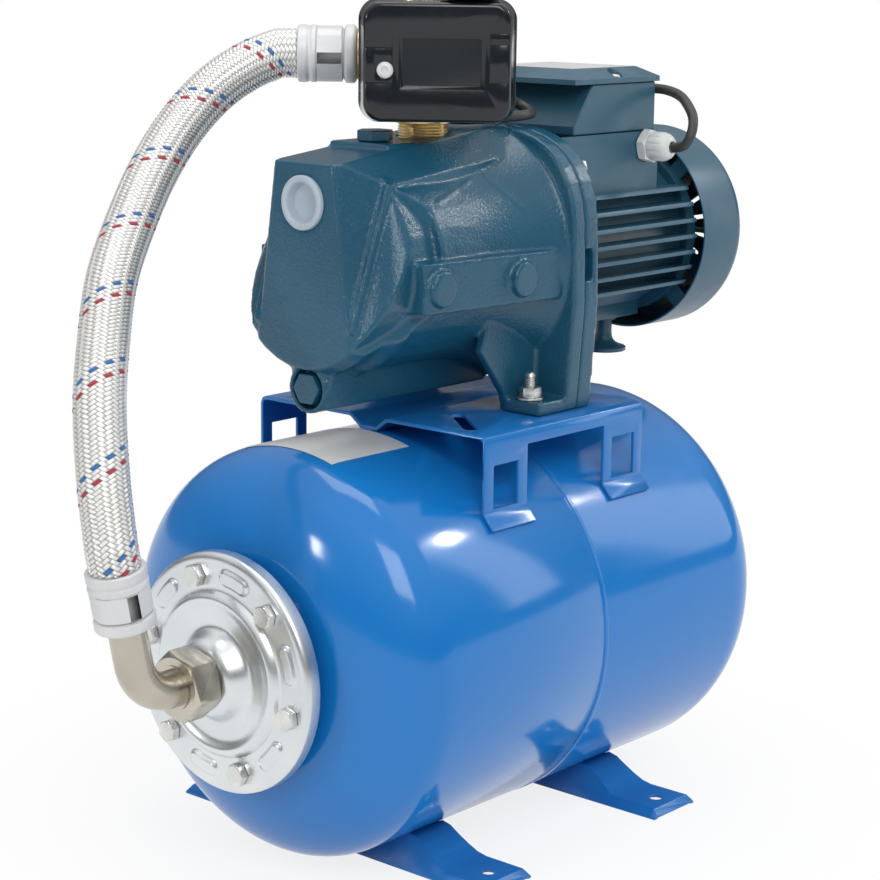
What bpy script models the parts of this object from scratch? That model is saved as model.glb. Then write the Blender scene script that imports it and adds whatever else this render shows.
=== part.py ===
"""Booster pump set: a self-priming jet pump and its motor on a horizontal pressure tank.

X runs along the tank and the shaft with the suction side at -X, Y runs across, Z is up.
The feet stand on z = 0, and x = y = 0 is the middle of the set's footprint box.
"""

import math

import bmesh
import bpy
from mathutils import Matrix, Vector

# Clearances, in metres
GAP = 0.0003
RUNNING_GAP = 0.0001
PROUD = 0.001

# Facets of round shapes
TANK_STEPS = 36
DOME_STEPS = 6
LARGE_STEPS = 32
ROUND_STEPS = 20
INNER_STEPS = 16
SMALL_STEPS = 10

# Pressure tank
SEAM_X = 0.041
TANK_RADIUS = 0.135
TANK_WALL = 0.0018
FLOOR_CLEARANCE = 0.005
FRONT_CYLINDER = 0.150
REAR_CYLINDER = 0.147
FRONT_DOME = 0.056
REAR_DOME = 0.070
DOME_POWER = 2.3
JOGGLE_LENGTH = 0.010
JOGGLE_GROOVE = 0.002
NECK_RADIUS = 0.0505
NECK_RING_PROUD = 0.0086
NECK_RING_THICK = 0.004
NECK_LENGTH = 0.0095
BLADDER_WALL = 0.0025
BLADDER_SIDE_GAP = 0.0212
BLADDER_END_GAP = 0.027
BLADDER_ROUND = 0.060
BLADDER_STEPS = 3
LIP_THICK = 0.002

# Cover flange, its bolts and the pipe elbow
FLANGE_PROUD = 0.0136
FLANGE_THICK = 0.003
FLANGE_RIM_DEPTH = 0.0115
FLANGE_BOLT_STEP = 0.0129
FLANGE_BOLT_COUNT = 6
FLANGE_BOLT_PHASE = math.radians(17)
BOLT_SHANK = 0.004
BOLT_FLATS = 0.013
BOLT_HEAD = 0.0055
BOLT_LENGTH = 0.0145
RIDGE_STEP = 0.002
RIDGE_HEIGHT = 0.005
DISH_STEP = 0.002
HUB_RADIUS = 0.028
HUB_HEIGHT = 0.0154
NOSE_RADIUS = 0.0165
NOSE_LENGTH = 0.0115
WATERWAY = 0.0105
EMBOSS_LENGTH = 0.024
EMBOSS_WIDTH = 0.009
EMBOSS_HEIGHT = 0.0018
ELBOW_NUT_FLATS = 0.040
ELBOW_NUT_LENGTH = 0.020
ELBOW_RADIUS = 0.0118
ELBOW_WALL = 0.0018
ELBOW_BEND = 0.028
ELBOW_ANGLE = math.radians(78)
ELBOW_STRAIGHT = 0.015
ELBOW_COLLAR = 0.004
ELBOW_NUT_REACH = 0.0105
ELBOW_RISE = 0.0256

# Feet
FOOT_XS = (-0.101, 0.0805)
FOOT_WIDTH = 0.0465
FOOT_TOP_WIDTH = 0.032
FOOT_TIP_Y = 0.1373
FOOT_PAD_Y = 0.1335
FOOT_SADDLE_Y = 0.068
FOOT_PAD_START_Y = 0.103
FOOT_PAD_HEIGHT = 0.0065
FOOT_SHEET = 0.002
FOOT_HOLE_Y = 0.121
FOOT_HOLE_RADIUS = 0.0045

# Pump platform
PLATFORM_RISE = 0.010
PLATFORM_SHEET = 0.0025
PLATFORM_FRONT = 0.0856
PLATFORM_REAR = 0.0804
PLATFORM_HALF = 0.100
LEG_WIDTH = 0.0427
SIDE_DEPTH = 0.011
LEG_FLAP = math.radians(5.5)
WINDOW_MARGIN = 0.009
WINDOW_TOP = 0.020
WINDOW_SILL = 0.0032
CHANNEL_HALF = 0.017
CHANNEL_FLOOR_HALF = 0.007
SLOT_START_INSET = (0.0436, 0.0614)
SLOT_END_INSET = (0.0101, 0.020)
SLOT_WIDTH = 0.0085

# Air valve at the tank's rear end
VALVE_RADIUS = 0.006
VALVE_LENGTH = 0.016
VALVE_CAP_RADIUS = 0.013
VALVE_CAP_LENGTH = 0.020

# Pump casing
BODY_RADIUS = 0.068
SHAFT_CLEAR = 0.015
FACE_X = -0.146
FACE_DROP = 0.001
FACE_HALF = 0.025
FACE_FLARE = 0.1376
WEDGE_SPREAD = 0.5023
DECK_RISE = 0.11
DECK_HALF = 0.027
DECK_SKIRT = 0.016
NOSE_STEP = 0.005
BAND_PROUD = 0.002
DRUM_FRONT_DEPTH = 0.030
BAND_WIDTH = 0.006
BELL_START_X = -0.045
BELL_FLARE = 0.018
RIM_FRONT_X = 0.014
CASING_RIM = 0.012
BRACKET_THICK = 0.0135
RIM_PROUD = 0.004
RIM_TOP_DROP = 0.002
RIM_POWER = 3.0
RIM_WAIST = 0.030
FOOT_ARCH = 0.016
CASTING_WALL = 0.012
CHAMBER_FRONT_X = -0.098
SPIGOT_STEP = 0.006
PORT_RISE = 0.042
PORT_RADIUS = 0.0152
PLUG_FLANGE = 0.002
PORT_SPOT = 0.0012
PORT_SPOT_DEPTH = 0.0008
PLUG_LENGTH = 0.014
KEEL_CLEAR = 0.012
KEEL_HALF = 0.016
KEEL_HEIGHT = 0.024
KEEL_FRONT_X = -0.143
KEEL_REAR_X = 0.016
DRAIN_RADIUS = 0.0065
DRAIN_POCKET_RADIUS = 0.0130
DRAIN_POCKET_DEPTH = 0.008
DRAIN_FLATS = 0.019
PANEL_FRONT_X = -0.112
PANEL_HALF_HEIGHT = 0.016
PANEL_DROP = 0.009
PANEL_FRONT_PROUD = 0.0045
PANEL_REAR_PROUD = 0.015
BOSS_XS = (-0.100, -0.028)
BOSS_RADIUS = 0.0115
BOSS_PROUD = 0.0055
PAD_FRONT_X = -0.096
PAD_REAR_X = -0.050
PAD_PROUD = 0.0025
PRIMING_X = -0.0805
PRIMING_FLATS = 0.021
PRIMING_HEAD = 0.007
PRIMING_SHANK = 0.0085
EAR_DEPTH = 0.028
EAR_INSET = 0.0045
EAR_WIDTH = 0.0335
EAR_THICK = 0.0085
GUSSET_THICK = 0.007
GUSSET_REACH = 0.056
RIM_BOLT_INSETS = ((0.022, 0.028), (0.016, 0.034))

# Anchor bolts
ANCHOR_SETBACK = 0.0185
ANCHOR_INSET = 0.018
ANCHOR_RADIUS = 0.004
ANCHOR_FLATS = 0.013
ANCHOR_NUT = 0.0068
ANCHOR_ABOVE = 0.027
WASHER_RADIUS = 0.009
WASHER_THICK = 0.0016

# Hydraulics
IMPELLER_TIP_GAP = 0.002
IMPELLER_WIDTH = 0.0185
IMPELLER_MOUTH = 0.003
IMPELLER_SHROUD = 0.002
IMPELLER_EYE = 0.0165
IMPELLER_HUB = 0.013
VANE_COUNT = 6
DIFFUSER_PLATE = 0.003
DIFFUSER_CLEAR = 0.0052
DIFFUSER_COLLAR = 0.019
DIFFUSER_COLLAR_LENGTH = 0.016
VENTURI_RADIUS = 0.0145
VENTURI_INSET = 0.030
NOZZLE_FLANGE = 0.020
NOZZLE_LENGTH = 0.0217
EJECTOR_RIBS = 3
SEAL_RADIUS = 0.0130
SEAL_LENGTH = 0.016

# Motor
HOUSING_LENGTH = 0.144
HOUSING_BORE = 0.050
HOUSING_WALL = 0.004
FIN_DEPTH = 0.014
FOOT_FIN_STEP = 0.004
FIN_PITCH = 0.0112
FIN_THICK = 0.0028
FIN_ROWS = 3
FOOT_FIN_PITCH = 0.011
COLLAR_LENGTH = 0.005
COLLAR_PROUD = 0.001
PEDESTAL_HALF = 0.050
PEDESTAL_RISE = 0.021
PEDESTAL_ROOT = 0.032
PEDESTAL_SETBACK = 0.026
PEDESTAL_WALL = 0.004
PEDESTAL_FLOOR_DROP = 0.0005
WIRING_SETBACK = 0.0445
WIRING_SIZE = (0.005, 0.020)
MOTOR_FOOT_SETBACK = 0.0171
MOTOR_FOOT_RADIUS = 0.0165
MOTOR_FOOT_POST = 0.006
MOTOR_FOOT_PLATE = 0.003
MOTOR_FOOT_LENGTH = 0.0225
MOTOR_FOOT_SINK = 0.0025
SHAFT_RADIUS = 0.0075
SHAFT_NOSE = 0.006
SHAFT_CORE = 0.0105
ROTOR_RADIUS = 0.027
AIR_GAP = 0.0006
CORE_FRONT_INSET = 0.0449
CORE_REAR_INSET = 0.0341
BEARING_RADIUS = 0.0175
BEARING_WIDTH = 0.011
WINDING_STEP = 0.0045
WINDING_REACH = 0.017
SHIELD_PROUD = 0.010
SHIELD_THICK = 0.009
SHIELD_SEAT = 0.004
SHIELD_HUB = 0.0225
SHIELD_HUB_WALL = 0.002
SHIELD_LUG_WIDTH = 0.012
COVER_PROUD = 0.005
COVER_SETBACK = 0.0056
COVER_WALL = 0.0015
COVER_ROUND = 0.013
COVER_SLOTS = 16
SLOT_REACH = (0.022, 0.046)
SLOT_THICK = 0.0042
FAN_TIP_GAP = 0.0125
FAN_BLADES = 8
FAN_SETBACK = 0.0056
FAN_LENGTH = 0.019
FAN_END_GAP = 0.014

# Terminal box
BOX_SETBACK = 0.002
BOX_LENGTH = 0.092
BOX_LEAN = 0.020
BOX_INSET = 0.002
BOX_BASE = 0.006
BOX_HEIGHT = 0.0335
BOX_WALL = 0.003
LID_LIP = 0.0035
LID_RISE = 0.0065
LID_INSET = 0.010
LID_OVERHANG = 0.002
LID_SCREW_SETBACK = 0.043
LID_SCREW_INSET = 0.004
LID_SCREW_RADIUS = 0.0045
LID_SCREW_SHANK = 0.002
CAPACITOR_RADIUS = 0.015
CAPACITOR_LENGTH = 0.080
CAPACITOR_INSET = 0.026
BOARD_INSET = 0.010
BOARD_SIZE = (0.030, 0.036, 0.010)
BOARD_RIB = (0.002, 0.006, 0.012)
GLAND_SETBACK = 0.0132
GLAND_DROP = 0.010
GLAND_FLATS = 0.021
GLAND_COLLAR = 0.010
GLAND_WALL = 0.003
GLAND_HEX_LENGTH = 0.007
GLAND_NUT_LENGTH = 0.016
GLAND_THREAD = 0.005
CABLE_LEAD = 0.002

# Five-way fitting, pressure switch and hose
FITTING_X = -0.0344
FITTING_NECK = 0.0166
FITTING_BODY = 0.0185
FITTING_BORE = 0.0125
FITTING_HEX = 0.038
FITTING_HEX_LOW = 0.007
FITTING_HEX_HIGH = 0.015
FITTING_HEAD = 0.0423
FITTING_CROWN = 0.020
FITTING_SEAT = 0.013
SIDE_PORT_RISE = 0.002
SIDE_PORT_RADIUS = 0.0168
SIDE_PORT_REACH = 0.043
SWITCH_TURN = math.radians(-49)
SWITCH_WIDTH = 0.104
SWITCH_TALL = 0.078
SWITCH_ROUND = 0.017
SWITCH_OFFSET = 0.011
SWITCH_LIFT = 0.0097
SWITCH_BASE_Y = (-0.024, -0.038)
SWITCH_FRONT_Y = -0.064
SWITCH_TAPER = 0.0065
SWITCH_WALL = 0.0025
NIPPLE_RADIUS = 0.0075
PANEL_RECESS = 0.0009
PANEL_SIZE = (0.0535, 0.0335)
SWITCH_SCREW_AT = (-0.0345, -0.005)
SLEEVE_AT = (0.036, -0.025)
SLEEVE_LENGTH = 0.012
KNOB_RADIUS = 0.0195
KNOB_AT = (0.0185, -0.048)
KNOB_DISC = 0.005
KNOB_GRIP = (0.034, 0.011, 0.013)
FERRULE_RADIUS = 0.0182
FERRULE_LENGTH = 0.038
FERRULE_FLATS = 0.0345
HOSE_RADIUS = 0.016
CABLE_RADIUS = 0.0035

# Places that follow from the sizes
TANK_Z = TANK_RADIUS + FLOOR_CLEARANCE
PLATFORM_Z = TANK_Z + TANK_RADIUS + PLATFORM_RISE
BELL_RADIUS = BODY_RADIUS + BELL_FLARE
RIM_HALF = BELL_RADIUS + RIM_PROUD
RIM_TOP = BELL_RADIUS - RIM_TOP_DROP
EAR_HALF = RIM_HALF - EAR_INSET
EAR_INNER = EAR_HALF - EAR_WIDTH
EAR_FRONT_X = RIM_FRONT_X - EAR_DEPTH
ANCHOR_X = RIM_FRONT_X - ANCHOR_SETBACK
ANCHOR_Y = EAR_INNER + ANCHOR_INSET
SHAFT_Z = PLATFORM_Z + BELL_RADIUS + SHAFT_CLEAR
FACE_TOP_Z = SHAFT_Z + BODY_RADIUS - FACE_DROP
PORT_Z = SHAFT_Z + PORT_RISE
KEEL_Z = PLATFORM_Z + KEEL_CLEAR
CHAMBER_RADIUS = BODY_RADIUS - CASTING_WALL
SPIGOT_RADIUS = CHAMBER_RADIUS + SPIGOT_STEP
RIM_REAR_X = RIM_FRONT_X + CASING_RIM
BRACKET_X = RIM_REAR_X + GAP
BRACKET_REAR_X = BRACKET_X + BRACKET_THICK
IMPELLER_RADIUS = CHAMBER_RADIUS - IMPELLER_TIP_GAP
IMPELLER_BACK_X = BRACKET_X - SEAL_LENGTH - GAP
IMPELLER_FRONT_X = IMPELLER_BACK_X - IMPELLER_WIDTH
DIFFUSER_X = IMPELLER_FRONT_X - IMPELLER_MOUTH - DIFFUSER_CLEAR - DIFFUSER_PLATE
SPIGOT_X = DIFFUSER_X - GAP
HOUSING_X = BRACKET_REAR_X + GAP
HOUSING_REAR_X = HOUSING_X + HOUSING_LENGTH
HOUSING_RADIUS = HOUSING_BORE + HOUSING_WALL
FIN_RADIUS = HOUSING_RADIUS + FIN_DEPTH
CORE_X = (HOUSING_X + CORE_FRONT_INSET, HOUSING_REAR_X - CORE_REAR_INSET)
SHIELD_X = HOUSING_REAR_X + GAP
SHIELD_END_X = SHIELD_X + SHIELD_SEAT + BEARING_WIDTH + SHIELD_HUB_WALL
COVER_RADIUS = FIN_RADIUS + COVER_PROUD
COVER_FRONT_X = SHIELD_X + COVER_SETBACK
FAN_RADIUS = COVER_RADIUS - COVER_WALL - FAN_TIP_GAP
FAN_X = (SHIELD_END_X + FAN_SETBACK, SHIELD_END_X + FAN_SETBACK + FAN_LENGTH)
COVER_REAR_X = FAN_X[1] + FAN_END_GAP
PEDESTAL_Z = SHAFT_Z + HOUSING_RADIUS + PEDESTAL_RISE
PEDESTAL_FLOOR_Z = SHAFT_Z + HOUSING_RADIUS - PEDESTAL_FLOOR_DROP
PEDESTAL_REAR_X = HOUSING_REAR_X - PEDESTAL_SETBACK
BOX_REAR_X = PEDESTAL_REAR_X - BOX_SETBACK
BOX_FRONT_X = BOX_REAR_X - BOX_LENGTH
BOX_HALF = PEDESTAL_HALF - BOX_INSET
LID_SCREW_X = BOX_REAR_X - LID_SCREW_SETBACK
GLAND_X = BOX_REAR_X - GLAND_SETBACK
GLAND_Z = PEDESTAL_Z - GLAND_DROP
GLAND_STUB = GLAND_COLLAR - GLAND_WALL
MOTOR_FOOT_X = HOUSING_REAR_X - MOTOR_FOOT_SETBACK
FLANGE_BOLT_CIRCLE = NECK_RADIUS + FLANGE_BOLT_STEP
NECK_RING_RADIUS = FLANGE_BOLT_CIRCLE + NECK_RING_PROUD
FLANGE_RADIUS = FLANGE_BOLT_CIRCLE + FLANGE_PROUD
RIDGE_RADIUS = NECK_RADIUS - RIDGE_STEP
NECK_RING_X = -(FRONT_CYLINDER + FRONT_DOME + NECK_LENGTH)
LIP_X = NECK_RING_X - GAP
FLANGE_BACK_X = LIP_X - LIP_THICK - GAP
FLANGE_FACE_X = FLANGE_BACK_X - FLANGE_THICK
NOSE_X = FLANGE_FACE_X - HUB_HEIGHT - NOSE_LENGTH

HOSE_ROUTE = (
    (-0.111, 0.083, 0.368),
    (-0.134, 0.092, 0.353),
    (-0.162, 0.094, 0.330),
    (-0.194, 0.087, 0.301),
    (-0.227, 0.074, 0.267),
    (-0.250, 0.061, 0.243),
    (-0.268, 0.047, 0.217),
    (-0.291, 0.026, 0.179),
    (-0.303, 0.010, 0.136),
)
CABLE_ROUTE = (
    (0.1432, -0.0838, 0.3132),
    (0.1460, -0.0868, 0.3215),
    (0.1520, -0.0835, 0.3310),
    (0.1575, -0.0755, 0.3385),
    (0.1635, -0.0640, 0.3450),
    (0.1675, -0.0480, 0.3485),
    (0.1700, -0.0280, 0.3485),
    (0.1735, 0.0020, 0.3465),
    (0.1700, 0.0340, 0.3450),
    (0.155, 0.058, 0.345),
    (0.110, 0.064, 0.345),
    (0.070, 0.063, 0.345),
    (0.035, 0.056, 0.344),
    (0.005, 0.042, 0.339),
    (-0.006, 0.018, 0.334),
    (-0.004, -0.008, 0.3335),
    (0.010, -0.028, 0.335),
    (0.032, -0.032, 0.336),
    (0.050, -0.022, 0.337),
    (0.050, -0.010, 0.342),
    (0.032, -0.012, 0.346),
    (0.008, -0.026, 0.348),
)
HOSE_STEP = 0.022
CABLE_STEP = 0.011


def clear_scene():
    for obj in list(bpy.data.objects):
        bpy.data.objects.remove(obj)


def look(name, colour, roughness, metallic=0.0):
    """A plain material of one colour."""
    material = bpy.data.materials.new(name)
    material.use_nodes = True
    shader = material.node_tree.nodes["Principled BSDF"]
    shader.inputs["Base Color"].default_value = (*colour, 1.0)
    shader.inputs["Roughness"].default_value = roughness
    shader.inputs["Metallic"].default_value = metallic
    material.diffuse_color = (*colour, 1.0)
    return material


def solid(name, bm, material, place=None):
    """Closes a bmesh into an object whose faces point out, moved by an optional matrix."""
    bmesh.ops.remove_doubles(bm, verts=bm.verts, dist=1e-6)
    if place is not None:
        bmesh.ops.transform(bm, matrix=place, verts=bm.verts)
    bmesh.ops.recalc_face_normals(bm, faces=bm.faces)
    mesh = bpy.data.meshes.new(name)
    bm.to_mesh(mesh)
    bm.free()
    mesh.materials.append(material)
    mesh.shade_smooth()
    mesh.set_sharp_from_angle(angle=math.radians(32))
    obj = bpy.data.objects.new(name, mesh)
    bpy.context.collection.objects.link(obj)
    return obj


def along(axis, origin=(0, 0, 0)):
    """A matrix that turns local Z to the given axis and moves to the origin."""
    turn = Vector((0, 0, 1)).rotation_difference(Vector(axis)).to_matrix().to_4x4()
    return Matrix.Translation(Vector(origin)) @ turn


def ring_faces(bm, first, second):
    """Joins two rings of equal length, or a ring and a single point, with faces."""
    if len(first) == 1 and len(second) == 1:
        return
    count = max(len(first), len(second))
    for i in range(count):
        j = (i + 1) % count
        corners = [first[i % len(first)], first[j % len(first)]]
        corners += [second[j % len(second)], second[i % len(second)]]
        unique = list(dict.fromkeys(corners))
        bm.faces.new(unique)


def turned(name, outline, origin, axis, material, steps=ROUND_STEPS):
    """A solid of revolution: a closed outline of (along the axis, radius) points."""
    bm = bmesh.new()
    rings = []
    for height, radius in outline:
        if radius < 1e-7:
            rings.append([bm.verts.new((0, 0, height))])
            continue
        angles = [2 * math.pi * i / steps for i in range(steps)]
        rings.append([bm.verts.new((radius * math.cos(a), radius * math.sin(a), height)) for a in angles])
    for first, second in zip(rings, rings[1:] + rings[:1]):
        ring_faces(bm, first, second)
    return solid(name, bm, material, along(axis, origin))


def lofted(name, sections, material):
    """A solid through loops of equal length, with its two ends closed."""
    bm = bmesh.new()
    rings = [[bm.verts.new(point) for point in section] for section in sections]
    for first, second in zip(rings, rings[1:]):
        ring_faces(bm, first, second)
    bm.faces.new(rings[0])
    bm.faces.new(rings[-1])
    return solid(name, bm, material)


def extruded(name, outline, low, high, plane, material, place=None):
    """A prism of a flat outline: plane names the outline's two axes, as in YZ."""
    order = {"YZ": (2, 0, 1), "XZ": (0, 2, 1), "XY": (0, 1, 2)}[plane]
    bm = bmesh.new()
    rings = []
    for level in (low, high):
        points = [(a, b, level) for a, b in outline]
        rings.append([bm.verts.new([point[i] for i in order]) for point in points])
    ring_faces(bm, rings[0], rings[1])
    for ring in rings:
        bm.faces.new(ring)
    return solid(name, bm, material, place)


def block(name, low, high, material, place=None):
    outline = [(low[0], low[1]), (high[0], low[1]), (high[0], high[1]), (low[0], high[1])]
    return extruded(name, outline, low[2], high[2], "XY", material, place)


def rod(name, start, axis, radius, length, material, steps=ROUND_STEPS):
    outline = [(0, 0), (0, radius), (length, radius), (length, 0)]
    return turned(name, outline, start, axis, material, steps)


def helper(obj):
    """Hides a shape that only cuts or joins another."""
    obj.hide_render = True
    obj.display_type = "WIRE"
    return obj


def change(target, operation, *tools):
    """Live Booleans that cut from, or join to, the target."""
    for tool in tools:
        modifier = target.modifiers.new(tool.name, "BOOLEAN")
        modifier.operation = operation
        modifier.solver = "EXACT"
        modifier.object = helper(tool)
    return target


def cut(target, *tools):
    return change(target, "DIFFERENCE", *tools)


def join(target, *tools):
    return change(target, "UNION", *tools)


def circle(radius, steps, centre=(0, 0), start=0.0, sweep=2 * math.pi, closed=True):
    """Points of a circle, or of an arc with both of its ends."""
    count = steps if closed else steps + 1
    points = []
    for i in range(count):
        angle = start + sweep * i / steps
        points.append((centre[0] + radius * math.cos(angle), centre[1] + radius * math.sin(angle)))
    return points


def hexagon(flats):
    return circle(flats / math.sqrt(3), 6, start=math.pi / 6)


def rounded_box(width, height, radius, corner_steps=4):
    """A rectangle with round corners, centred on the origin."""
    outline = []
    corners = ((1, 1, 0), (-1, 1, 1), (-1, -1, 2), (1, -1, 3))
    for side, level, quarter in corners:
        centre = (side * (width / 2 - radius), level * (height / 2 - radius))
        outline += circle(radius, corner_steps, centre, quarter * math.pi / 2, math.pi / 2, closed=False)
    return outline


def thickened(points, thickness):
    """The closed outline of a bent sheet: an open line and its copy moved to the left."""
    line = [Vector(point) for point in points]
    other = []
    for i, point in enumerate(line):
        before = (point - line[i - 1]).normalized() if i else None
        after = (line[i + 1] - point).normalized() if i + 1 < len(line) else None
        before, after = before or after, after or before
        bisector = (before + after).normalized()
        normal = Vector((-bisector.y, bisector.x))
        other.append(point + normal * thickness / max(0.3, bisector.dot(before)))
    return [tuple(p) for p in line] + [tuple(p) for p in reversed(other)]


def tank_x(x):
    return SEAM_X + x


def dome(end_x, depth, radius, from_radius, steps, outward):
    """Points of a domed end from its rim down to from_radius, in tank coordinates."""
    points = []
    for i in range(steps + 1):
        r = radius - (radius - from_radius) * (1 - math.cos(math.pi / 2 * i / steps))
        rise = depth * (1 - (r / radius) ** DOME_POWER) ** (1 / DOME_POWER)
        points.append((end_x + outward * rise, r))
    return points


def tank_shells(paint):
    """Two deep-drawn halves: the front one has the mouth and slips into the rear one."""
    origin = (SEAM_X, 0, TANK_Z)
    inner = TANK_RADIUS - TANK_WALL
    tongue = inner - GAP
    outer = [(JOGGLE_LENGTH, tongue), (-JOGGLE_GROOVE, tongue), (-2 * JOGGLE_GROOVE, TANK_RADIUS)]
    outer += dome(-FRONT_CYLINDER, FRONT_DOME, TANK_RADIUS, NECK_RADIUS + TANK_WALL, DOME_STEPS, -1)
    ring_back = NECK_RING_X + NECK_RING_THICK
    outer += [(ring_back, NECK_RADIUS + TANK_WALL), (ring_back, NECK_RING_RADIUS)]
    outer += [(NECK_RING_X, NECK_RING_RADIUS), (NECK_RING_X, NECK_RADIUS)]
    inside = dome(-FRONT_CYLINDER, FRONT_DOME - TANK_WALL, inner, NECK_RADIUS, DOME_STEPS, -1)[::-1]
    inside += [(-2 * JOGGLE_GROOVE, inner), (-JOGGLE_GROOVE, tongue - TANK_WALL)]
    inside += [(JOGGLE_LENGTH, tongue - TANK_WALL)]
    front = turned("tank_front_shell", outer + inside, origin, (1, 0, 0), paint, TANK_STEPS)
    hole = VALVE_RADIUS + GAP
    rear = [(0, TANK_RADIUS)] + dome(REAR_CYLINDER, REAR_DOME, TANK_RADIUS, hole, DOME_STEPS, 1)
    rear += dome(REAR_CYLINDER, REAR_DOME - TANK_WALL, inner, hole, DOME_STEPS, 1)[::-1] + [(0, inner)]
    turned("tank_rear_shell", rear, origin, (1, 0, 0), paint, TANK_STEPS)
    pegs = [
        rod(f"ring_hole_{i}", bolt_start(i, NECK_RING_X - PROUD), (1, 0, 0), BOLT_SHANK + GAP,
            NECK_RING_THICK + 2 * PROUD, paint, SMALL_STEPS)
        for i in range(FLANGE_BOLT_COUNT)
    ]
    cut(front, *pegs)


def bladder(rubber):
    """The rubber bag that holds the water, with its lip clamped in the mouth."""
    reach = TANK_RADIUS - TANK_WALL - BLADDER_SIDE_GAP
    neck = NECK_RADIUS - GAP
    front = -(FRONT_CYLINDER + FRONT_DOME - BLADDER_END_GAP - BLADDER_ROUND)
    rear = REAR_CYLINDER + REAR_DOME - BLADDER_END_GAP - BLADDER_ROUND
    outer = [(LIP_X - LIP_THICK, NECK_RING_RADIUS), (LIP_X, NECK_RING_RADIUS), (LIP_X, neck)]
    outer += dome(front, BLADDER_ROUND, reach, neck, BLADDER_STEPS, -1)[::-1]
    outer += dome(rear, BLADDER_ROUND, reach, 0, BLADDER_STEPS, 1)
    thin, depth = reach - BLADDER_WALL, BLADDER_ROUND - BLADDER_WALL
    inside = dome(rear, depth, thin, 0, BLADDER_STEPS, 1)[::-1]
    inside += dome(front, depth, thin, neck - BLADDER_WALL, BLADDER_STEPS, -1)
    inside += [(LIP_X - LIP_THICK, neck - BLADDER_WALL)]
    bag = turned("bladder", outer + inside, (SEAM_X, 0, TANK_Z), (1, 0, 0), rubber, INNER_STEPS)
    pegs = [
        rod(f"lip_hole_{i}", bolt_start(i, LIP_X - LIP_THICK - PROUD), (1, 0, 0), BOLT_SHANK + GAP,
            LIP_THICK + 2 * PROUD, rubber, SMALL_STEPS)
        for i in range(FLANGE_BOLT_COUNT)
    ]
    cut(bag, *pegs)


def bolt_start(index, x):
    """Where flange bolt number index meets the plane x, in world coordinates."""
    angle = FLANGE_BOLT_PHASE + 2 * math.pi * index / FLANGE_BOLT_COUNT
    y = FLANGE_BOLT_CIRCLE * math.sin(angle)
    return (tank_x(x), y, TANK_Z + FLANGE_BOLT_CIRCLE * math.cos(angle))


def cover_flange(zinc):
    """The pressed cover plate: rolled rim, ridge, dished middle and a threaded hub."""
    face, back = FLANGE_FACE_X, FLANGE_BACK_X
    rim_inner = FLANGE_RADIUS - FLANGE_THICK + PROUD
    dish = face - DISH_STEP
    hub = face - HUB_HEIGHT
    outline = [
        (NOSE_X, WATERWAY), (NOSE_X, NOSE_RADIUS), (hub, NOSE_RADIUS), (hub + 0.001, 0.021),
        (hub + 0.004, HUB_RADIUS - 0.0025), (dish - 0.0025, HUB_RADIUS), (dish, HUB_RADIUS + 0.003),
        (dish, RIDGE_RADIUS - 0.006), (face - RIDGE_HEIGHT + 0.001, RIDGE_RADIUS - 0.003),
        (face - RIDGE_HEIGHT, RIDGE_RADIUS), (face - RIDGE_HEIGHT + 0.001, RIDGE_RADIUS + 0.002),
        (face, RIDGE_RADIUS + 0.005), (face, FLANGE_RADIUS - 0.004), (face + 0.001, FLANGE_RADIUS - 0.001),
        (face + 0.003, FLANGE_RADIUS), (face + FLANGE_RIM_DEPTH, FLANGE_RADIUS),
        (face + FLANGE_RIM_DEPTH, rim_inner), (back, rim_inner), (back, RIDGE_RADIUS + 0.004),
        (back - 0.003, RIDGE_RADIUS), (back - 0.003, WATERWAY),
    ]
    flange = turned("tank_flange", outline, (SEAM_X, 0, TANK_Z), (1, 0, 0), zinc, LARGE_STEPS)
    for i in range(FLANGE_BOLT_COUNT):
        start = bolt_start(i, face - PROUD)
        hole = rod(f"flange_hole_{i}", start, (1, 0, 0), BOLT_SHANK + GAP, FLANGE_THICK + 2 * PROUD, zinc,
                   SMALL_STEPS)
        cut(flange, hole)
        angle = FLANGE_BOLT_PHASE + 2 * math.pi * (i + 0.5) / FLANGE_BOLT_COUNT
        half, radius = (EMBOSS_LENGTH - EMBOSS_WIDTH) / 2, EMBOSS_WIDTH / 2
        slot = circle(radius, 4, (half, 0), -math.pi / 2, math.pi, closed=False)
        slot += circle(radius, 4, (-half, 0), math.pi / 2, math.pi, closed=False)
        inset = [(x * 0.8, y * 0.6) for x, y in slot]
        centre = Vector((tank_x(face), FLANGE_BOLT_CIRCLE * math.sin(angle),
                         TANK_Z + FLANGE_BOLT_CIRCLE * math.cos(angle)))
        side = Vector((0, math.cos(angle), -math.sin(angle)))
        out = Vector((0, math.sin(angle), math.cos(angle)))
        sections = [
            [centre + side * a + out * b + Vector((level, 0, 0)) for a, b in shape]
            for shape, level in ((slot, PROUD), (slot, -0.0002), (inset, -EMBOSS_HEIGHT))
        ]
        join(flange, lofted(f"emboss_{i}", sections, zinc))


def flange_bolts(steel):
    for i in range(FLANGE_BOLT_COUNT):
        start = bolt_start(i, FLANGE_FACE_X - GAP)
        outline = hexagon(BOLT_FLATS)
        bolt = extruded(f"flange_bolt_{i + 1}", outline, 0, BOLT_HEAD, "XY", steel, along((-1, 0, 0), start))
        shank_start = bolt_start(i, FLANGE_FACE_X - GAP - PROUD)
        join(bolt, rod(f"bolt_shank_{i + 1}", shank_start, (1, 0, 0), BOLT_SHANK, BOLT_LENGTH + PROUD, steel,
                       SMALL_STEPS))


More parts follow.
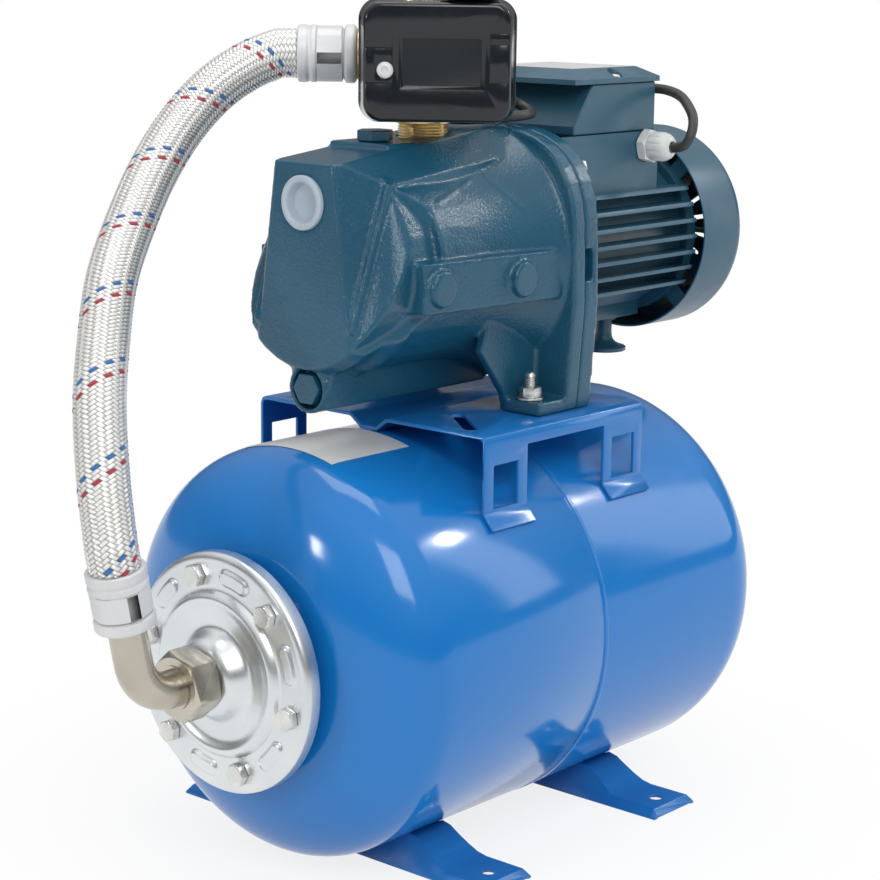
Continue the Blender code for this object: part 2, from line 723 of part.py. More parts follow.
def air_valve(brass, plastic):
    apex = REAR_CYLINDER + REAR_DOME
    origin = (SEAM_X, 0, TANK_Z)
    start = apex - 0.008
    stem = [(start, 0), (start, VALVE_RADIUS + 0.003), (start + 0.004, VALVE_RADIUS + 0.003)]
    stem += [(start + 0.0045, VALVE_RADIUS), (apex + VALVE_LENGTH, VALVE_RADIUS - 0.001)]
    stem += [(apex + VALVE_LENGTH, 0.0015), (apex + VALVE_LENGTH - 0.006, 0.0015)]
    stem += [(apex + VALVE_LENGTH - 0.006, 0)]
    turned("air_valve", stem, origin, (1, 0, 0), brass, SMALL_STEPS)
    low, high = apex + 2 * GAP, apex + VALVE_CAP_LENGTH
    bore = VALVE_RADIUS + GAP
    cap = [(low, bore), (low, VALVE_CAP_RADIUS), (high - 0.002, VALVE_CAP_RADIUS - 0.001)]
    cap += [(high, VALVE_CAP_RADIUS - 0.003), (high, 0), (high - 0.002, 0), (high - 0.002, bore)]
    turned("valve_cap", cap, origin, (1, 0, 0), plastic, ROUND_STEPS)


def foot_top(y):
    """Height of the foot's upper face: it hugs the tank, then runs out to the flat pad."""
    saddle_radius = TANK_RADIUS + GAP
    reach = abs(y)
    if reach <= FOOT_SADDLE_Y:
        return TANK_Z - math.sqrt(saddle_radius**2 - reach**2)
    top = TANK_Z - math.sqrt(saddle_radius**2 - FOOT_SADDLE_Y**2)
    if reach <= FOOT_PAD_START_Y:
        share = (reach - FOOT_SADDLE_Y) / (FOOT_PAD_START_Y - FOOT_SADDLE_Y)
        return FOOT_PAD_HEIGHT + (top - FOOT_PAD_HEIGHT) * (0.5 + 0.5 * math.cos(math.pi * share))
    if reach <= FOOT_PAD_Y:
        return FOOT_PAD_HEIGHT
    share = (reach - FOOT_PAD_Y) / (FOOT_TIP_Y - FOOT_PAD_Y)
    return FOOT_PAD_HEIGHT + (FOOT_SHEET - FOOT_PAD_HEIGHT) * share


def foot(name, x, paint):
    """A pressed channel: a saddle under the tank, flared skirts and a drilled pad each side."""
    saddle = [FOOT_SADDLE_Y * i / 5 for i in range(6)]
    slope = [FOOT_SADDLE_Y + (FOOT_PAD_START_Y - FOOT_SADDLE_Y) * i / 5 for i in range(1, 6)]
    half = saddle + slope + [FOOT_PAD_Y, FOOT_TIP_Y]
    stations = [-y for y in reversed(half[1:])] + half
    sections = []
    for y in stations:
        top = foot_top(y)
        wide, narrow = FOOT_WIDTH / 2, FOOT_TOP_WIDTH / 2
        skirt = wide - (wide - narrow) * min(1, top / foot_top(FOOT_SADDLE_Y) + 0.25)
        under = top - FOOT_SHEET
        inner_wide = wide - FOOT_SHEET - PROUD
        inner = skirt - FOOT_SHEET
        ring = [(wide, 0), (wide, 0.0012), (skirt, top), (-skirt, top), (-wide, 0.0012), (-wide, 0)]
        ring += [(-inner_wide, 0), (-inner, max(under, 0.0006)), (inner, max(under, 0.0006)), (inner_wide, 0)]
        sections.append([(tank_x(x) + a, y, z) for a, z in ring])
    body = lofted(name, sections, paint)
    for side in (-1, 1):
        cut(body, rod(f"{name}_hole_{side}", (tank_x(x), side * FOOT_HOLE_Y, -PROUD), (0, 0, 1),
                      FOOT_HOLE_RADIUS, FOOT_PAD_HEIGHT + 2 * PROUD, paint, SMALL_STEPS))


def platform_section():
    """The platform's bent sheet in the YZ plane, legs and channel included."""
    seat = TANK_RADIUS + GAP
    inner_y = PLATFORM_HALF - PLATFORM_SHEET
    start = math.asin(inner_y / seat)
    flap = []
    for share in (1.0, 0.5, 0.0):
        angle = start + LEG_FLAP * share
        flap.append((seat * math.sin(angle), TANK_Z + seat * math.cos(angle)))
    under = PLATFORM_Z - PLATFORM_SHEET
    floor = TANK_Z + seat
    half = [(CHANNEL_FLOOR_HALF, floor), (CHANNEL_HALF - 0.001, under - 0.0005), (CHANNEL_HALF + 0.001, under)]
    half += [(inner_y - 0.003, under), (inner_y - 0.0009, under - 0.0009), (inner_y, under - 0.003)]
    half += reversed(flap)
    left = [(-y, z) for y, z in reversed(half)]
    return thickened(left + half, PLATFORM_SHEET)


def leg_foot_z():
    """Where a platform leg's inner face meets the tank."""
    seat, inner_y = TANK_RADIUS + GAP, PLATFORM_HALF - PLATFORM_SHEET
    return TANK_Z + math.sqrt(seat**2 - inner_y**2)


def pump_platform(paint):
    front, rear = tank_x(-PLATFORM_FRONT), tank_x(PLATFORM_REAR)
    plate = extruded("pump_platform", platform_section(), front, rear, "YZ", paint)
    low = TANK_Z + PLATFORM_HALF * 0.5
    reach = PLATFORM_HALF + 0.03
    between = ((front + LEG_WIDTH, low, -reach), (rear - LEG_WIDTH, PLATFORM_Z - SIDE_DEPTH, reach))
    swap = Matrix(((1, 0, 0, 0), (0, 0, 1, 0), (0, 1, 0, 0), (0, 0, 0, 1)))
    sides = (-1, 1)
    for side in sides:
        edge_low, edge_high = sorted((side * (PLATFORM_HALF - 0.010), side * reach))
        opening = block(f"side_opening_{side}", (between[0][0], between[0][1], edge_low),
                        (between[1][0], between[1][1], edge_high), paint, swap)
        cut(plate, opening)
        for start in (front, rear - LEG_WIDTH):
            window_low = (start + WINDOW_MARGIN, leg_foot_z() + WINDOW_SILL, edge_low)
            window_high = (start + LEG_WIDTH - WINDOW_MARGIN, PLATFORM_Z - WINDOW_TOP, edge_high)
            cut(plate, block(f"leg_window_{side}_{start:.3f}", window_low, window_high, paint, swap))
        corner = Vector((-PLATFORM_FRONT, PLATFORM_HALF))
        begin = corner + Vector((SLOT_START_INSET[0], -SLOT_START_INSET[1]))
        end = corner + Vector((SLOT_END_INSET[0], -SLOT_END_INSET[1]))
        middle, run = (begin + end) / 2, end - begin
        turn = math.atan2(run.y * side, run.x)
        half = run.length / 2 - SLOT_WIDTH / 2
        slot = circle(SLOT_WIDTH / 2, 4, (half, 0), -math.pi / 2, math.pi, closed=False)
        slot += circle(SLOT_WIDTH / 2, 4, (-half, 0), math.pi / 2, math.pi, closed=False)
        place = Matrix.Translation((tank_x(middle.x), side * middle.y, PLATFORM_Z - 0.005))
        cut(plate, extruded(f"platform_slot_{side}", slot, 0, 0.01, "XY", paint,
                            place @ Matrix.Rotation(turn, 4, "Z")))
        hole = (tank_x(ANCHOR_X), side * ANCHOR_Y, PLATFORM_Z - 0.005)
        cut(plate, rod(f"anchor_hole_{side}", hole, (0, 0, 1), ANCHOR_RADIUS + GAP, 0.01, paint, SMALL_STEPS))


def rim_outline():
    """Outline shared by the casing's rear rim and the motor bracket, with feet below."""
    points = []
    steps = 20
    for i in range(steps + 1):
        angle = math.pi * i / steps
        y = math.copysign(abs(math.cos(angle)) ** (2 / RIM_POWER), math.cos(angle)) * RIM_HALF
        z = abs(math.sin(angle)) ** (2 / RIM_POWER) * RIM_TOP
        points.append((y, SHAFT_Z + z))
    waist = SHAFT_Z - RIM_WAIST
    arch = PLATFORM_Z + FOOT_ARCH
    foot_side = [(-RIM_HALF - 0.001, waist), (-EAR_HALF, PLATFORM_Z + GAP), (-EAR_INNER, PLATFORM_Z + GAP)]
    foot_side += [(-EAR_INNER + 0.010, arch), (EAR_INNER - 0.010, arch), (EAR_INNER, PLATFORM_Z + GAP)]
    foot_side += [(EAR_HALF, PLATFORM_Z + GAP), (RIM_HALF + 0.001, waist)]
    return points + foot_side


def rim_bolt_places():
    """Centres of the bolts that hold the casing, as (y, z): two above and two below."""
    (upper_y, upper_z), (lower_y, lower_z) = RIM_BOLT_INSETS
    upper, lower = (RIM_HALF - upper_y, RIM_TOP - upper_z), (RIM_HALF - lower_y, lower_z - RIM_HALF)
    return [(side * y, SHAFT_Z + z) for y, z in (upper, lower) for side in (-1, 1)]


def deck_z(x):
    """Height of the casing's sloping top at tank coordinate x."""
    return FACE_TOP_Z + DECK_RISE * (x - FACE_X)


def wedge_y(x, z):
    """Half width of the tapered suction block at a point of its slanting side."""
    return FACE_HALF + WEDGE_SPREAD * (x - FACE_X) - FACE_FLARE * (z - FACE_TOP_Z)


def casing_body(iron):
    """The drum with its band and bell, as one turned shape."""
    band, drum = FACE_X + DRUM_FRONT_DEPTH, BODY_RADIUS + BAND_PROUD
    nose = BODY_RADIUS - NOSE_STEP
    outline = [
        (FACE_X - PROUD, 0), (FACE_X - PROUD, nose - 0.0004), (FACE_X + 0.008, nose + 0.0045),
        (FACE_X + 0.020, drum - 0.0035), (band, drum), (band + BAND_WIDTH, drum),
        (band + BAND_WIDTH + 0.001, BODY_RADIUS), (BELL_START_X, BODY_RADIUS + 0.001),
        (RIM_FRONT_X - 0.032, BODY_RADIUS + 0.005), (RIM_FRONT_X - 0.012, BELL_RADIUS - 0.007),
        (RIM_FRONT_X - 0.004, BELL_RADIUS - 0.002), (RIM_FRONT_X + PROUD, BELL_RADIUS),
        (RIM_FRONT_X + PROUD, 0),
    ]
    return turned("pump_casing", outline, (SEAM_X, 0, SHAFT_Z), (1, 0, 0), iron, LARGE_STEPS)


def casing_spine(iron):
    """The sloping top deck with skirts that run down into the drum."""
    sections = []
    for x in (FACE_X - 2 * PROUD, RIM_FRONT_X + 2 * PROUD):
        top = deck_z(x)
        outer = DECK_HALF + DECK_SKIRT
        half = [(DECK_HALF, top), (outer, top - DECK_SKIRT * 1.1), (outer, SHAFT_Z + 0.01)]
        loop = half + [(-y, z) for y, z in reversed(half)]
        sections.append([(tank_x(x), y, z) for y, z in loop])
    return lofted("casing_spine", sections, iron)


def casing_wedge_cutter(side, iron):
    """The space beside the suction block, bounded by the block's slanting side."""
    low, high = PLATFORM_Z, FACE_TOP_Z + 0.043
    front, rear = FACE_X - 0.02, FACE_X + 0.045 + (BODY_RADIUS - FACE_HALF) / WEDGE_SPREAD / 2
    inner = [(front, low), (rear, low), (rear, high), (front, high)]
    sections = []
    for extra in (0, 0.08):
        sections.append([(tank_x(x), side * (wedge_y(x, z) + extra), z) for x, z in inner])
    return lofted(f"block_side_{side}", sections, iron)


def drain_z():
    """Height of the drain plug's centre."""
    return KEEL_Z + KEEL_HALF - 0.003


def panel_y(x):
    """How far out the flat side panel stands at tank coordinate x."""
    share = (x - PANEL_FRONT_X) / (RIM_FRONT_X - PANEL_FRONT_X)
    return BODY_RADIUS + PANEL_FRONT_PROUD + (PANEL_REAR_PROUD - PANEL_FRONT_PROUD) * share


def casing_keel(iron):
    """The beam under the drum that carries the drain boss."""
    low, high = KEEL_Z, KEEL_Z + KEEL_HEIGHT
    outline = [(-KEEL_HALF + 0.002, low), (KEEL_HALF - 0.002, low), (KEEL_HALF + 0.002, high)]
    outline += [(-KEEL_HALF - 0.002, high)]
    keel = extruded("casing_keel", outline, tank_x(KEEL_FRONT_X + 0.004), tank_x(KEEL_REAR_X), "YZ", iron)
    boss = rod("drain_boss", (tank_x(KEEL_FRONT_X), 0, drain_z()), (1, 0, 0), KEEL_HALF, 0.05, iron)
    return keel, boss


def casing_panel(side, iron):
    """The flat panel on the casing's side."""
    sections = []
    middle = SHAFT_Z - PANEL_DROP
    for x, y in ((PANEL_FRONT_X, panel_y(PANEL_FRONT_X)), (RIM_FRONT_X - 0.004, panel_y(RIM_FRONT_X))):
        loop = [(y - 0.04, -1), (y, -1), (y, 1), (y - 0.04, 1)]
        sections.append([(tank_x(x), side * a, middle + level * PANEL_HALF_HEIGHT) for a, level in loop])
    return lofted(f"casing_panel_{side}", sections, iron)


def casing_ears(side, iron):
    """The foot plate that the anchor bolt clamps, with the web that stiffens it."""
    inner, outer = sorted((side * EAR_INNER, side * EAR_HALF))
    foot_low = PLATFORM_Z + GAP
    ear = block(f"casing_ear_{side}", (tank_x(EAR_FRONT_X), inner, foot_low),
                (tank_x(RIM_FRONT_X + 0.002), outer, foot_low + EAR_THICK), iron)
    web_low, web_high = sorted((side * (EAR_INNER + 0.0005), side * (EAR_INNER + GUSSET_THICK)))
    web = [(RIM_FRONT_X + 0.002, foot_low + 0.0005), (EAR_FRONT_X + 0.0005, foot_low + 0.0005)]
    tip = RIM_FRONT_X - GUSSET_REACH
    web += [(EAR_FRONT_X - 0.004, foot_low + EAR_THICK + 0.004), (tip, SHAFT_Z - BODY_RADIUS + 0.010)]
    web += [(tip + 0.01, SHAFT_Z - BODY_RADIUS + 0.038), (RIM_FRONT_X + 0.002, SHAFT_Z - BODY_RADIUS + 0.038)]
    outline = [(tank_x(x), z) for x, z in web]
    return ear, extruded(f"casing_web_{side}", outline, web_low, web_high, "XZ", iron)


def pump_casing(iron):
    """The cast casing: outer forms are joined first, then its chamber and ports are cut."""
    casing = casing_body(iron)
    join(casing, casing_spine(iron))
    for side in (-1, 1):
        cut(casing, casing_wedge_cutter(side, iron))
    join(casing, *casing_keel(iron))
    for side in (-1, 1):
        join(casing, casing_panel(side, iron))
        join(casing, *casing_ears(side, iron))
    for i, x in enumerate(BOSS_XS):
        start = (tank_x(x), 0.02 - panel_y(x) - BOSS_PROUD, SHAFT_Z - PANEL_DROP)
        join(casing, rod(f"side_boss_{i}", start, (0, -1, 0), BOSS_RADIUS, 0.02, iron))
    rim = extruded("casing_rim", rim_outline(), tank_x(RIM_FRONT_X), tank_x(RIM_REAR_X), "YZ", iron)
    pad = block("casing_pad", (tank_x(PAD_FRONT_X), -DECK_HALF + 0.002, pad_z() - 0.012),
                (tank_x(PAD_REAR_X), DECK_HALF - 0.002, pad_z()), iron)
    join(casing, rim, pad)
    reach = RIM_HALF + 0.01
    face = block("face_trim", (tank_x(FACE_X - 0.02), -reach, PLATFORM_Z),
                 (tank_x(FACE_X), reach, FACE_TOP_Z + 0.033), iron)
    cut(casing, face)
    cut(casing, *casing_spaces(iron))


def pad_z():
    """Height of the machined pad that carries the priming plug."""
    return deck_z(PRIMING_X) + PAD_PROUD


def plug_rim():
    return PORT_RADIUS + PLUG_FLANGE


def casing_spaces(iron):
    """The water spaces, ports, bolt holes and the drain pocket."""
    axis = (SEAM_X, 0, SHAFT_Z)
    chamber = [(CHAMBER_FRONT_X, 0), (CHAMBER_FRONT_X, CHAMBER_RADIUS), (SPIGOT_X, CHAMBER_RADIUS)]
    chamber += [(SPIGOT_X, SPIGOT_RADIUS), (RIM_REAR_X + PROUD, SPIGOT_RADIUS), (RIM_REAR_X + PROUD, 0)]
    spaces = [turned("chamber", chamber, axis, (1, 0, 0), iron, LARGE_STEPS)]
    spot, depth = plug_rim() + PORT_SPOT, CHAMBER_FRONT_X - FACE_X + 0.011
    port = [(-PROUD, 0), (-PROUD, spot), (PORT_SPOT_DEPTH, spot), (PORT_SPOT_DEPTH, PORT_RADIUS)]
    port += [(depth, PORT_RADIUS), (depth, 0)]
    spaces.append(turned("suction_bore", port, (tank_x(FACE_X), 0, PORT_Z), (1, 0, 0), iron))
    fitting_floor = deck_z(FITTING_X) - FITTING_SEAT
    spaces.append(rod("outlet_seat", (tank_x(FITTING_X), 0, fitting_floor), (0, 0, 1), FITTING_NECK + GAP,
                      FITTING_SEAT + 0.02, iron))
    inside = SHAFT_Z + CHAMBER_RADIUS / 2
    spaces.append(rod("outlet_bore", (tank_x(FITTING_X), 0, inside), (0, 0, 1), FITTING_BORE,
                      fitting_floor + PROUD - inside, iron))
    spaces.append(rod("priming_bore", (tank_x(PRIMING_X), 0, inside), (0, 0, 1), PRIMING_SHANK + GAP,
                      pad_z() + 0.03 - inside, iron))
    drain = [(-PROUD, 0), (-PROUD, DRAIN_POCKET_RADIUS), (DRAIN_POCKET_DEPTH, DRAIN_POCKET_RADIUS)]
    drain += [(DRAIN_POCKET_DEPTH, DRAIN_RADIUS + GAP), (0.071, DRAIN_RADIUS + GAP), (0.071, 0)]
    front = tank_x(KEEL_FRONT_X)
    spaces.append(turned("drain_bore", drain, (front, 0, drain_z()), (1, 0, 0), iron, ROUND_STEPS))
    spaces.append(block("drain_well", (front + 0.050, -0.006, drain_z() - 0.005),
                        (front + 0.072, 0.006, SHAFT_Z - CHAMBER_RADIUS / 2), iron))
    for side in (-1, 1):
        hole = (tank_x(ANCHOR_X), side * ANCHOR_Y, PLATFORM_Z - PROUD)
        spaces.append(rod(f"ear_hole_{side}", hole, (0, 0, 1), ANCHOR_RADIUS + GAP, EAR_THICK + 2 * PROUD, iron,
                          SMALL_STEPS))
    for i, (y, z) in enumerate(rim_bolt_places()):
        spaces.append(rod(f"rim_hole_{i}", (tank_x(RIM_FRONT_X + 0.002), y, z), (1, 0, 0), BOLT_SHANK + GAP,
                          CASING_RIM, iron, SMALL_STEPS))
    return spaces


def casing_plugs(iron, plastic):
    """The priming and drain plugs, and the plastic plug that closes the suction port."""
    place = along((0, 0, 1), (tank_x(PRIMING_X), 0, pad_z() + GAP))
    priming = extruded("priming_plug", hexagon(PRIMING_FLATS), 0, PRIMING_HEAD, "XY", iron, place)
    shank = (tank_x(PRIMING_X), 0, pad_z() - 0.010)
    join(priming, rod("priming_shank", shank, (0, 0, 1), PRIMING_SHANK, 0.012, iron))
    seat = KEEL_FRONT_X + DRAIN_POCKET_DEPTH - GAP
    place = along((-1, 0, 0), (tank_x(seat), 0, drain_z()))
    drain = extruded("drain_plug", hexagon(DRAIN_FLATS), 0, DRAIN_POCKET_DEPTH + PROUD, "XY", iron, place)
    join(drain, rod("drain_shank", (tank_x(seat) - PROUD, 0, drain_z()), (1, 0, 0), DRAIN_RADIUS, 0.012, iron,
                    SMALL_STEPS))
    shank, rim, seat = PORT_RADIUS - GAP, plug_rim(), PORT_SPOT_DEPTH - GAP
    cup = [(-0.0022, shank - 0.0024), (-0.0028, shank), (-0.0022, rim), (seat, rim), (seat, shank)]
    cup += [(PLUG_LENGTH, shank), (PLUG_LENGTH, 0), (0.004, 0), (0.0035, shank - 0.0034)]
    turned("suction_plug", cup, (tank_x(FACE_X), 0, PORT_Z), (1, 0, 0), plastic, ROUND_STEPS)


def anchor_bolts(steel):
    under = PLATFORM_Z - PLATFORM_SHEET - GAP
    seat = PLATFORM_Z + 2 * GAP + EAR_THICK
    for side, word in ((-1, "near"), (1, "far")):
        x, y = tank_x(ANCHOR_X), side * ANCHOR_Y
        place = along((0, 0, -1), (x, y, under))
        bolt = extruded(f"anchor_bolt_{word}", hexagon(ANCHOR_FLATS), 0, BOLT_HEAD, "XY", steel, place)
        length = PLATFORM_Z + ANCHOR_ABOVE - under + PROUD
        join(bolt, rod(f"anchor_shank_{word}", (x, y, under - PROUD), (0, 0, 1), ANCHOR_RADIUS, length, steel,
                       SMALL_STEPS))
        nut = extruded(f"anchor_nut_{word}", hexagon(ANCHOR_FLATS), WASHER_THICK - PROUD / 2,
                       WASHER_THICK + ANCHOR_NUT, "XY", steel, along((0, 0, 1), (x, y, seat)))
        join(nut, rod(f"nut_collar_{word}", (x, y, seat), (0, 0, 1), WASHER_RADIUS, WASHER_THICK, steel))
        cut(nut, rod(f"nut_bore_{word}", (x, y, seat - PROUD), (0, 0, 1), ANCHOR_RADIUS + GAP,
                     ANCHOR_NUT + WASHER_THICK + 2 * PROUD, steel, SMALL_STEPS))


def motor_bracket(iron):
    """The plate between casing and motor: seal chamber in front, bearing seat behind."""
    bracket = extruded("motor_bracket", rim_outline(), tank_x(BRACKET_X), tank_x(BRACKET_REAR_X), "YZ", iron)
    axis = (SEAM_X, 0, SHAFT_Z)
    spigot_end = BRACKET_REAR_X + 0.006
    spigot = [(BRACKET_REAR_X - PROUD, 0), (BRACKET_REAR_X - PROUD, HOUSING_BORE - GAP)]
    spigot += [(spigot_end, HOUSING_BORE - GAP), (spigot_end, 0)]
    join(bracket, turned("bracket_spigot", spigot, axis, (1, 0, 0), iron, LARGE_STEPS))
    seat = spigot_end - BEARING_WIDTH - 0.002
    seal_end = BRACKET_X + 0.003
    bore = [(BRACKET_X - PROUD, 0), (BRACKET_X - PROUD, SEAL_RADIUS + 0.002), (seal_end, SEAL_RADIUS + 0.002)]
    bore += [(seal_end, SHAFT_RADIUS + 0.001), (seat, SHAFT_RADIUS + 0.001), (seat, BEARING_RADIUS + GAP)]
    bore += [(spigot_end + PROUD, BEARING_RADIUS + GAP), (spigot_end + PROUD, 0)]
    cut(bracket, turned("bracket_bore", bore, axis, (1, 0, 0), iron, ROUND_STEPS))
    for side in (-1, 1):
        low, high = sorted((side * (RIM_HALF - 0.008), side * (RIM_HALF + 0.01)))
        cut(bracket, block(f"bracket_notch_{side}", (tank_x(BRACKET_X - PROUD), low, SHAFT_Z - 0.015),
                           (tank_x(BRACKET_X + 0.008), high, SHAFT_Z + 0.006), iron))
    for i, (y, z) in enumerate(rim_bolt_places()):
        cut(bracket, rod(f"bracket_hole_{i}", (tank_x(BRACKET_X - PROUD), y, z), (1, 0, 0), BOLT_SHANK + GAP,
                         BRACKET_THICK + 2 * PROUD, iron, SMALL_STEPS))
    return seat


def casing_bolts(steel):
    for i, (y, z) in enumerate(rim_bolt_places()):
        head = BRACKET_REAR_X + GAP
        bolt = extruded(f"casing_bolt_{i + 1}", hexagon(BOLT_FLATS), 0, BOLT_HEAD, "XY", steel,
                        along((1, 0, 0), (tank_x(head), y, z)))
        length = BRACKET_THICK + CASING_RIM - 0.004
        start = (tank_x(head) + PROUD, y, z)
        join(bolt, rod(f"casing_shank_{i + 1}", start, (-1, 0, 0), BOLT_SHANK, length, steel, SMALL_STEPS))


def impeller(brass):
    """Closed impeller: two shrouds with curved vanes between, keyed on the shaft's nose."""
    axis = (SEAM_X, 0, SHAFT_Z)
    front, back = IMPELLER_FRONT_X, IMPELLER_BACK_X
    bore = SHAFT_NOSE + GAP
    plate = back - IMPELLER_SHROUD - 0.002
    hub = [(front + 0.006, bore), (front + 0.006, IMPELLER_HUB - 0.004), (plate, IMPELLER_HUB)]
    hub += [(plate, IMPELLER_RADIUS), (plate + IMPELLER_SHROUD, IMPELLER_RADIUS)]
    hub += [(plate + IMPELLER_SHROUD, IMPELLER_HUB), (back, IMPELLER_HUB), (back, bore)]
    wheel = turned("impeller", hub, axis, (1, 0, 0), brass, INNER_STEPS)
    ring = front + IMPELLER_SHROUD
    mouth = front - IMPELLER_MOUTH
    shroud = [(mouth, IMPELLER_EYE), (mouth, IMPELLER_EYE + 0.002), (front, IMPELLER_EYE + 0.003)]
    shroud += [(front, IMPELLER_RADIUS - 0.0005), (ring, IMPELLER_RADIUS - 0.0005), (ring, IMPELLER_EYE)]
    cover = turned("impeller_shroud", shroud, axis, (1, 0, 0), brass, INNER_STEPS)
    for i in range(VANE_COUNT):
        line = []
        for step in range(5):
            share = step / 4
            radius = IMPELLER_EYE + 0.001 + (IMPELLER_RADIUS - IMPELLER_EYE - 0.003) * share
            angle = 2 * math.pi * i / VANE_COUNT + 1.1 * share
            line.append((radius * math.cos(angle), radius * math.sin(angle)))
        outline = [(y, SHAFT_Z + z) for y, z in thickened(line, 0.0022)]
        vane = extruded(f"vane_{i}", outline, tank_x(front + 0.0005), tank_x(plate + 0.0005), "YZ", brass)
        join(wheel, vane)
    join(wheel, cover)


def running_bore(radius):
    """Radius of a bore of INNER_STEPS facets that a shaft turns in without touching."""
    return (radius + RUNNING_GAP) / math.cos(math.pi / INNER_STEPS)


def hydraulics(plastic, steel):
    """Diffuser, venturi and nozzle of the ejector, and the shaft seal."""
    axis = (SEAM_X, 0, SHAFT_Z)
    plate_front = DIFFUSER_X
    plate = plate_front + DIFFUSER_PLATE
    throat = VENTURI_RADIUS + GAP
    collar = plate_front - DIFFUSER_COLLAR_LENGTH
    outline = [(collar, throat), (collar, DIFFUSER_COLLAR), (plate_front, DIFFUSER_COLLAR)]
    outline += [(plate_front, SPIGOT_RADIUS - GAP), (BRACKET_X - 0.001, SPIGOT_RADIUS - GAP)]
    outline += [(BRACKET_X - 0.001, SPIGOT_RADIUS - 0.003), (plate, SPIGOT_RADIUS - 0.003), (plate, throat)]
    turned("diffuser", outline, axis, (1, 0, 0), plastic, INNER_STEPS)
    end = plate - 0.001
    venturi = CHAMBER_FRONT_X + VENTURI_INSET
    tube = [(venturi, 0.009), (venturi, 0.0125), (collar - 0.004, VENTURI_RADIUS)]
    tube += [(end, VENTURI_RADIUS), (end, 0.011), (venturi + 0.018, 0.0065)]
    ejector = turned("ejector", tube, axis, (1, 0, 0), plastic, INNER_STEPS)
    front = CHAMBER_FRONT_X + GAP
    tip = front + NOZZLE_LENGTH
    nozzle = [(front, 0.008), (front, NOZZLE_FLANGE), (front + 0.004, NOZZLE_FLANGE), (front + 0.005, 0.0125)]
    nozzle += [(tip, 0.007), (tip, 0.0042)]
    join(ejector, turned("nozzle", nozzle, axis, (1, 0, 0), plastic, INNER_STEPS))
    for i in range(EJECTOR_RIBS):
        turn = Matrix.Translation((0, 0, SHAFT_Z)) @ Matrix.Rotation(2 * math.pi * i / EJECTOR_RIBS, 4, "X")
        rib = block(f"ejector_rib_{i}", (tank_x(front + 0.002), -0.0015, 0.0105),
                    (tank_x(venturi + 0.004), 0.0015, 0.0140), plastic, turn)
        join(ejector, rib)
    start = IMPELLER_BACK_X + GAP
    bore = running_bore(SHAFT_RADIUS)
    seal = [(start, bore), (start, SEAL_RADIUS - 0.001), (start + SEAL_LENGTH * 0.6, SEAL_RADIUS)]
    seal += [(start + SEAL_LENGTH, SEAL_RADIUS), (start + SEAL_LENGTH, bore)]
    turned("shaft_seal", seal, axis, (1, 0, 0), steel, INNER_STEPS)


def housing_outline():
    """Finned cross-section of the motor: level fins on the sides, upright fins below."""
    def at(radius, level):
        return math.sqrt(radius**2 - level**2)

    right = []
    for row in range(-FIN_ROWS, FIN_ROWS + 1):
        for level, radius in ((-1, HOUSING_RADIUS), (-1, FIN_RADIUS), (1, FIN_RADIUS), (1, HOUSING_RADIUS)):
            z = row * FIN_PITCH + level * FIN_THICK / 2
            right.append((at(radius, z), z))
    bottom = []
    for row in (-1.5, -0.5, 0.5, 1.5):
        tip = FIN_RADIUS - FOOT_FIN_STEP
        for level, radius in ((-1, HOUSING_RADIUS), (-1, tip), (1, tip), (1, HOUSING_RADIUS)):
            y = row * FOOT_FIN_PITCH + level * FIN_THICK / 2
            bottom.append((y, -at(radius, y)))
    top_angle = math.asin(right[-1][1] / HOUSING_RADIUS)
    top = circle(HOUSING_RADIUS, 8, (0, 0), top_angle, math.pi - 2 * top_angle, closed=False)[1:-1]
    left = [(-y, z) for y, z in reversed(right)]
    return [(y, SHAFT_Z + z) for y, z in bottom + right + top + left]


def motor_housing(paint):
    start, end = tank_x(HOUSING_X), tank_x(HOUSING_REAR_X)
    pedestal_end = tank_x(PEDESTAL_REAR_X)
    housing = extruded("motor_housing", housing_outline(), start, end, "YZ", paint)
    pedestal = block("pedestal", (start + 0.0005, -PEDESTAL_HALF, SHAFT_Z + PEDESTAL_ROOT),
                     (pedestal_end, PEDESTAL_HALF, PEDESTAL_Z), paint)
    collar = rod("housing_collar", (start + 0.001, 0, SHAFT_Z), (1, 0, 0), FIN_RADIUS + COLLAR_PROUD,
                 COLLAR_LENGTH - 0.001, paint, LARGE_STEPS)
    boss = rod("foot_boss", (tank_x(MOTOR_FOOT_X), 0, motor_foot_top() + GAP), (0, 0, 1),
               MOTOR_FOOT_POST + 0.003, 0.014, paint)
    join(housing, pedestal, collar, boss)
    bore = rod("housing_bore", (start - PROUD, 0, SHAFT_Z), (1, 0, 0), HOUSING_BORE, HOUSING_LENGTH + 2 * PROUD,
               paint, LARGE_STEPS)
    wiring_x, (wiring_length, wiring_width) = pedestal_end - WIRING_SETBACK, WIRING_SIZE
    wiring = block("wiring_hole", (wiring_x - wiring_length, -wiring_width / 2, SHAFT_Z + HOUSING_BORE - 0.010),
                   (wiring_x, wiring_width / 2, PEDESTAL_Z), paint)
    inner = PEDESTAL_HALF - PEDESTAL_WALL
    pocket = block("pedestal_pocket", (start + PEDESTAL_WALL, -inner, PEDESTAL_FLOOR_Z),
                   (pedestal_end - PEDESTAL_WALL, inner, PEDESTAL_Z + PROUD), paint)
    gland = rod("gland_bore", (tank_x(GLAND_X), -PEDESTAL_HALF - PROUD, GLAND_Z), (0, 1, 0), GLAND_STUB + GAP,
                PEDESTAL_WALL + 0.010, paint)
    cut(housing, bore, pocket, wiring, gland)
    for i, (y, z) in enumerate(rim_bolt_places()):
        cut(housing, rod(f"bolt_relief_{i}", (start - PROUD, y, z), (1, 0, 0), BOLT_FLATS * 0.66, 0.012, paint,
                         SMALL_STEPS))


def motor_foot_top():
    return SHAFT_Z - FIN_RADIUS + MOTOR_FOOT_SINK


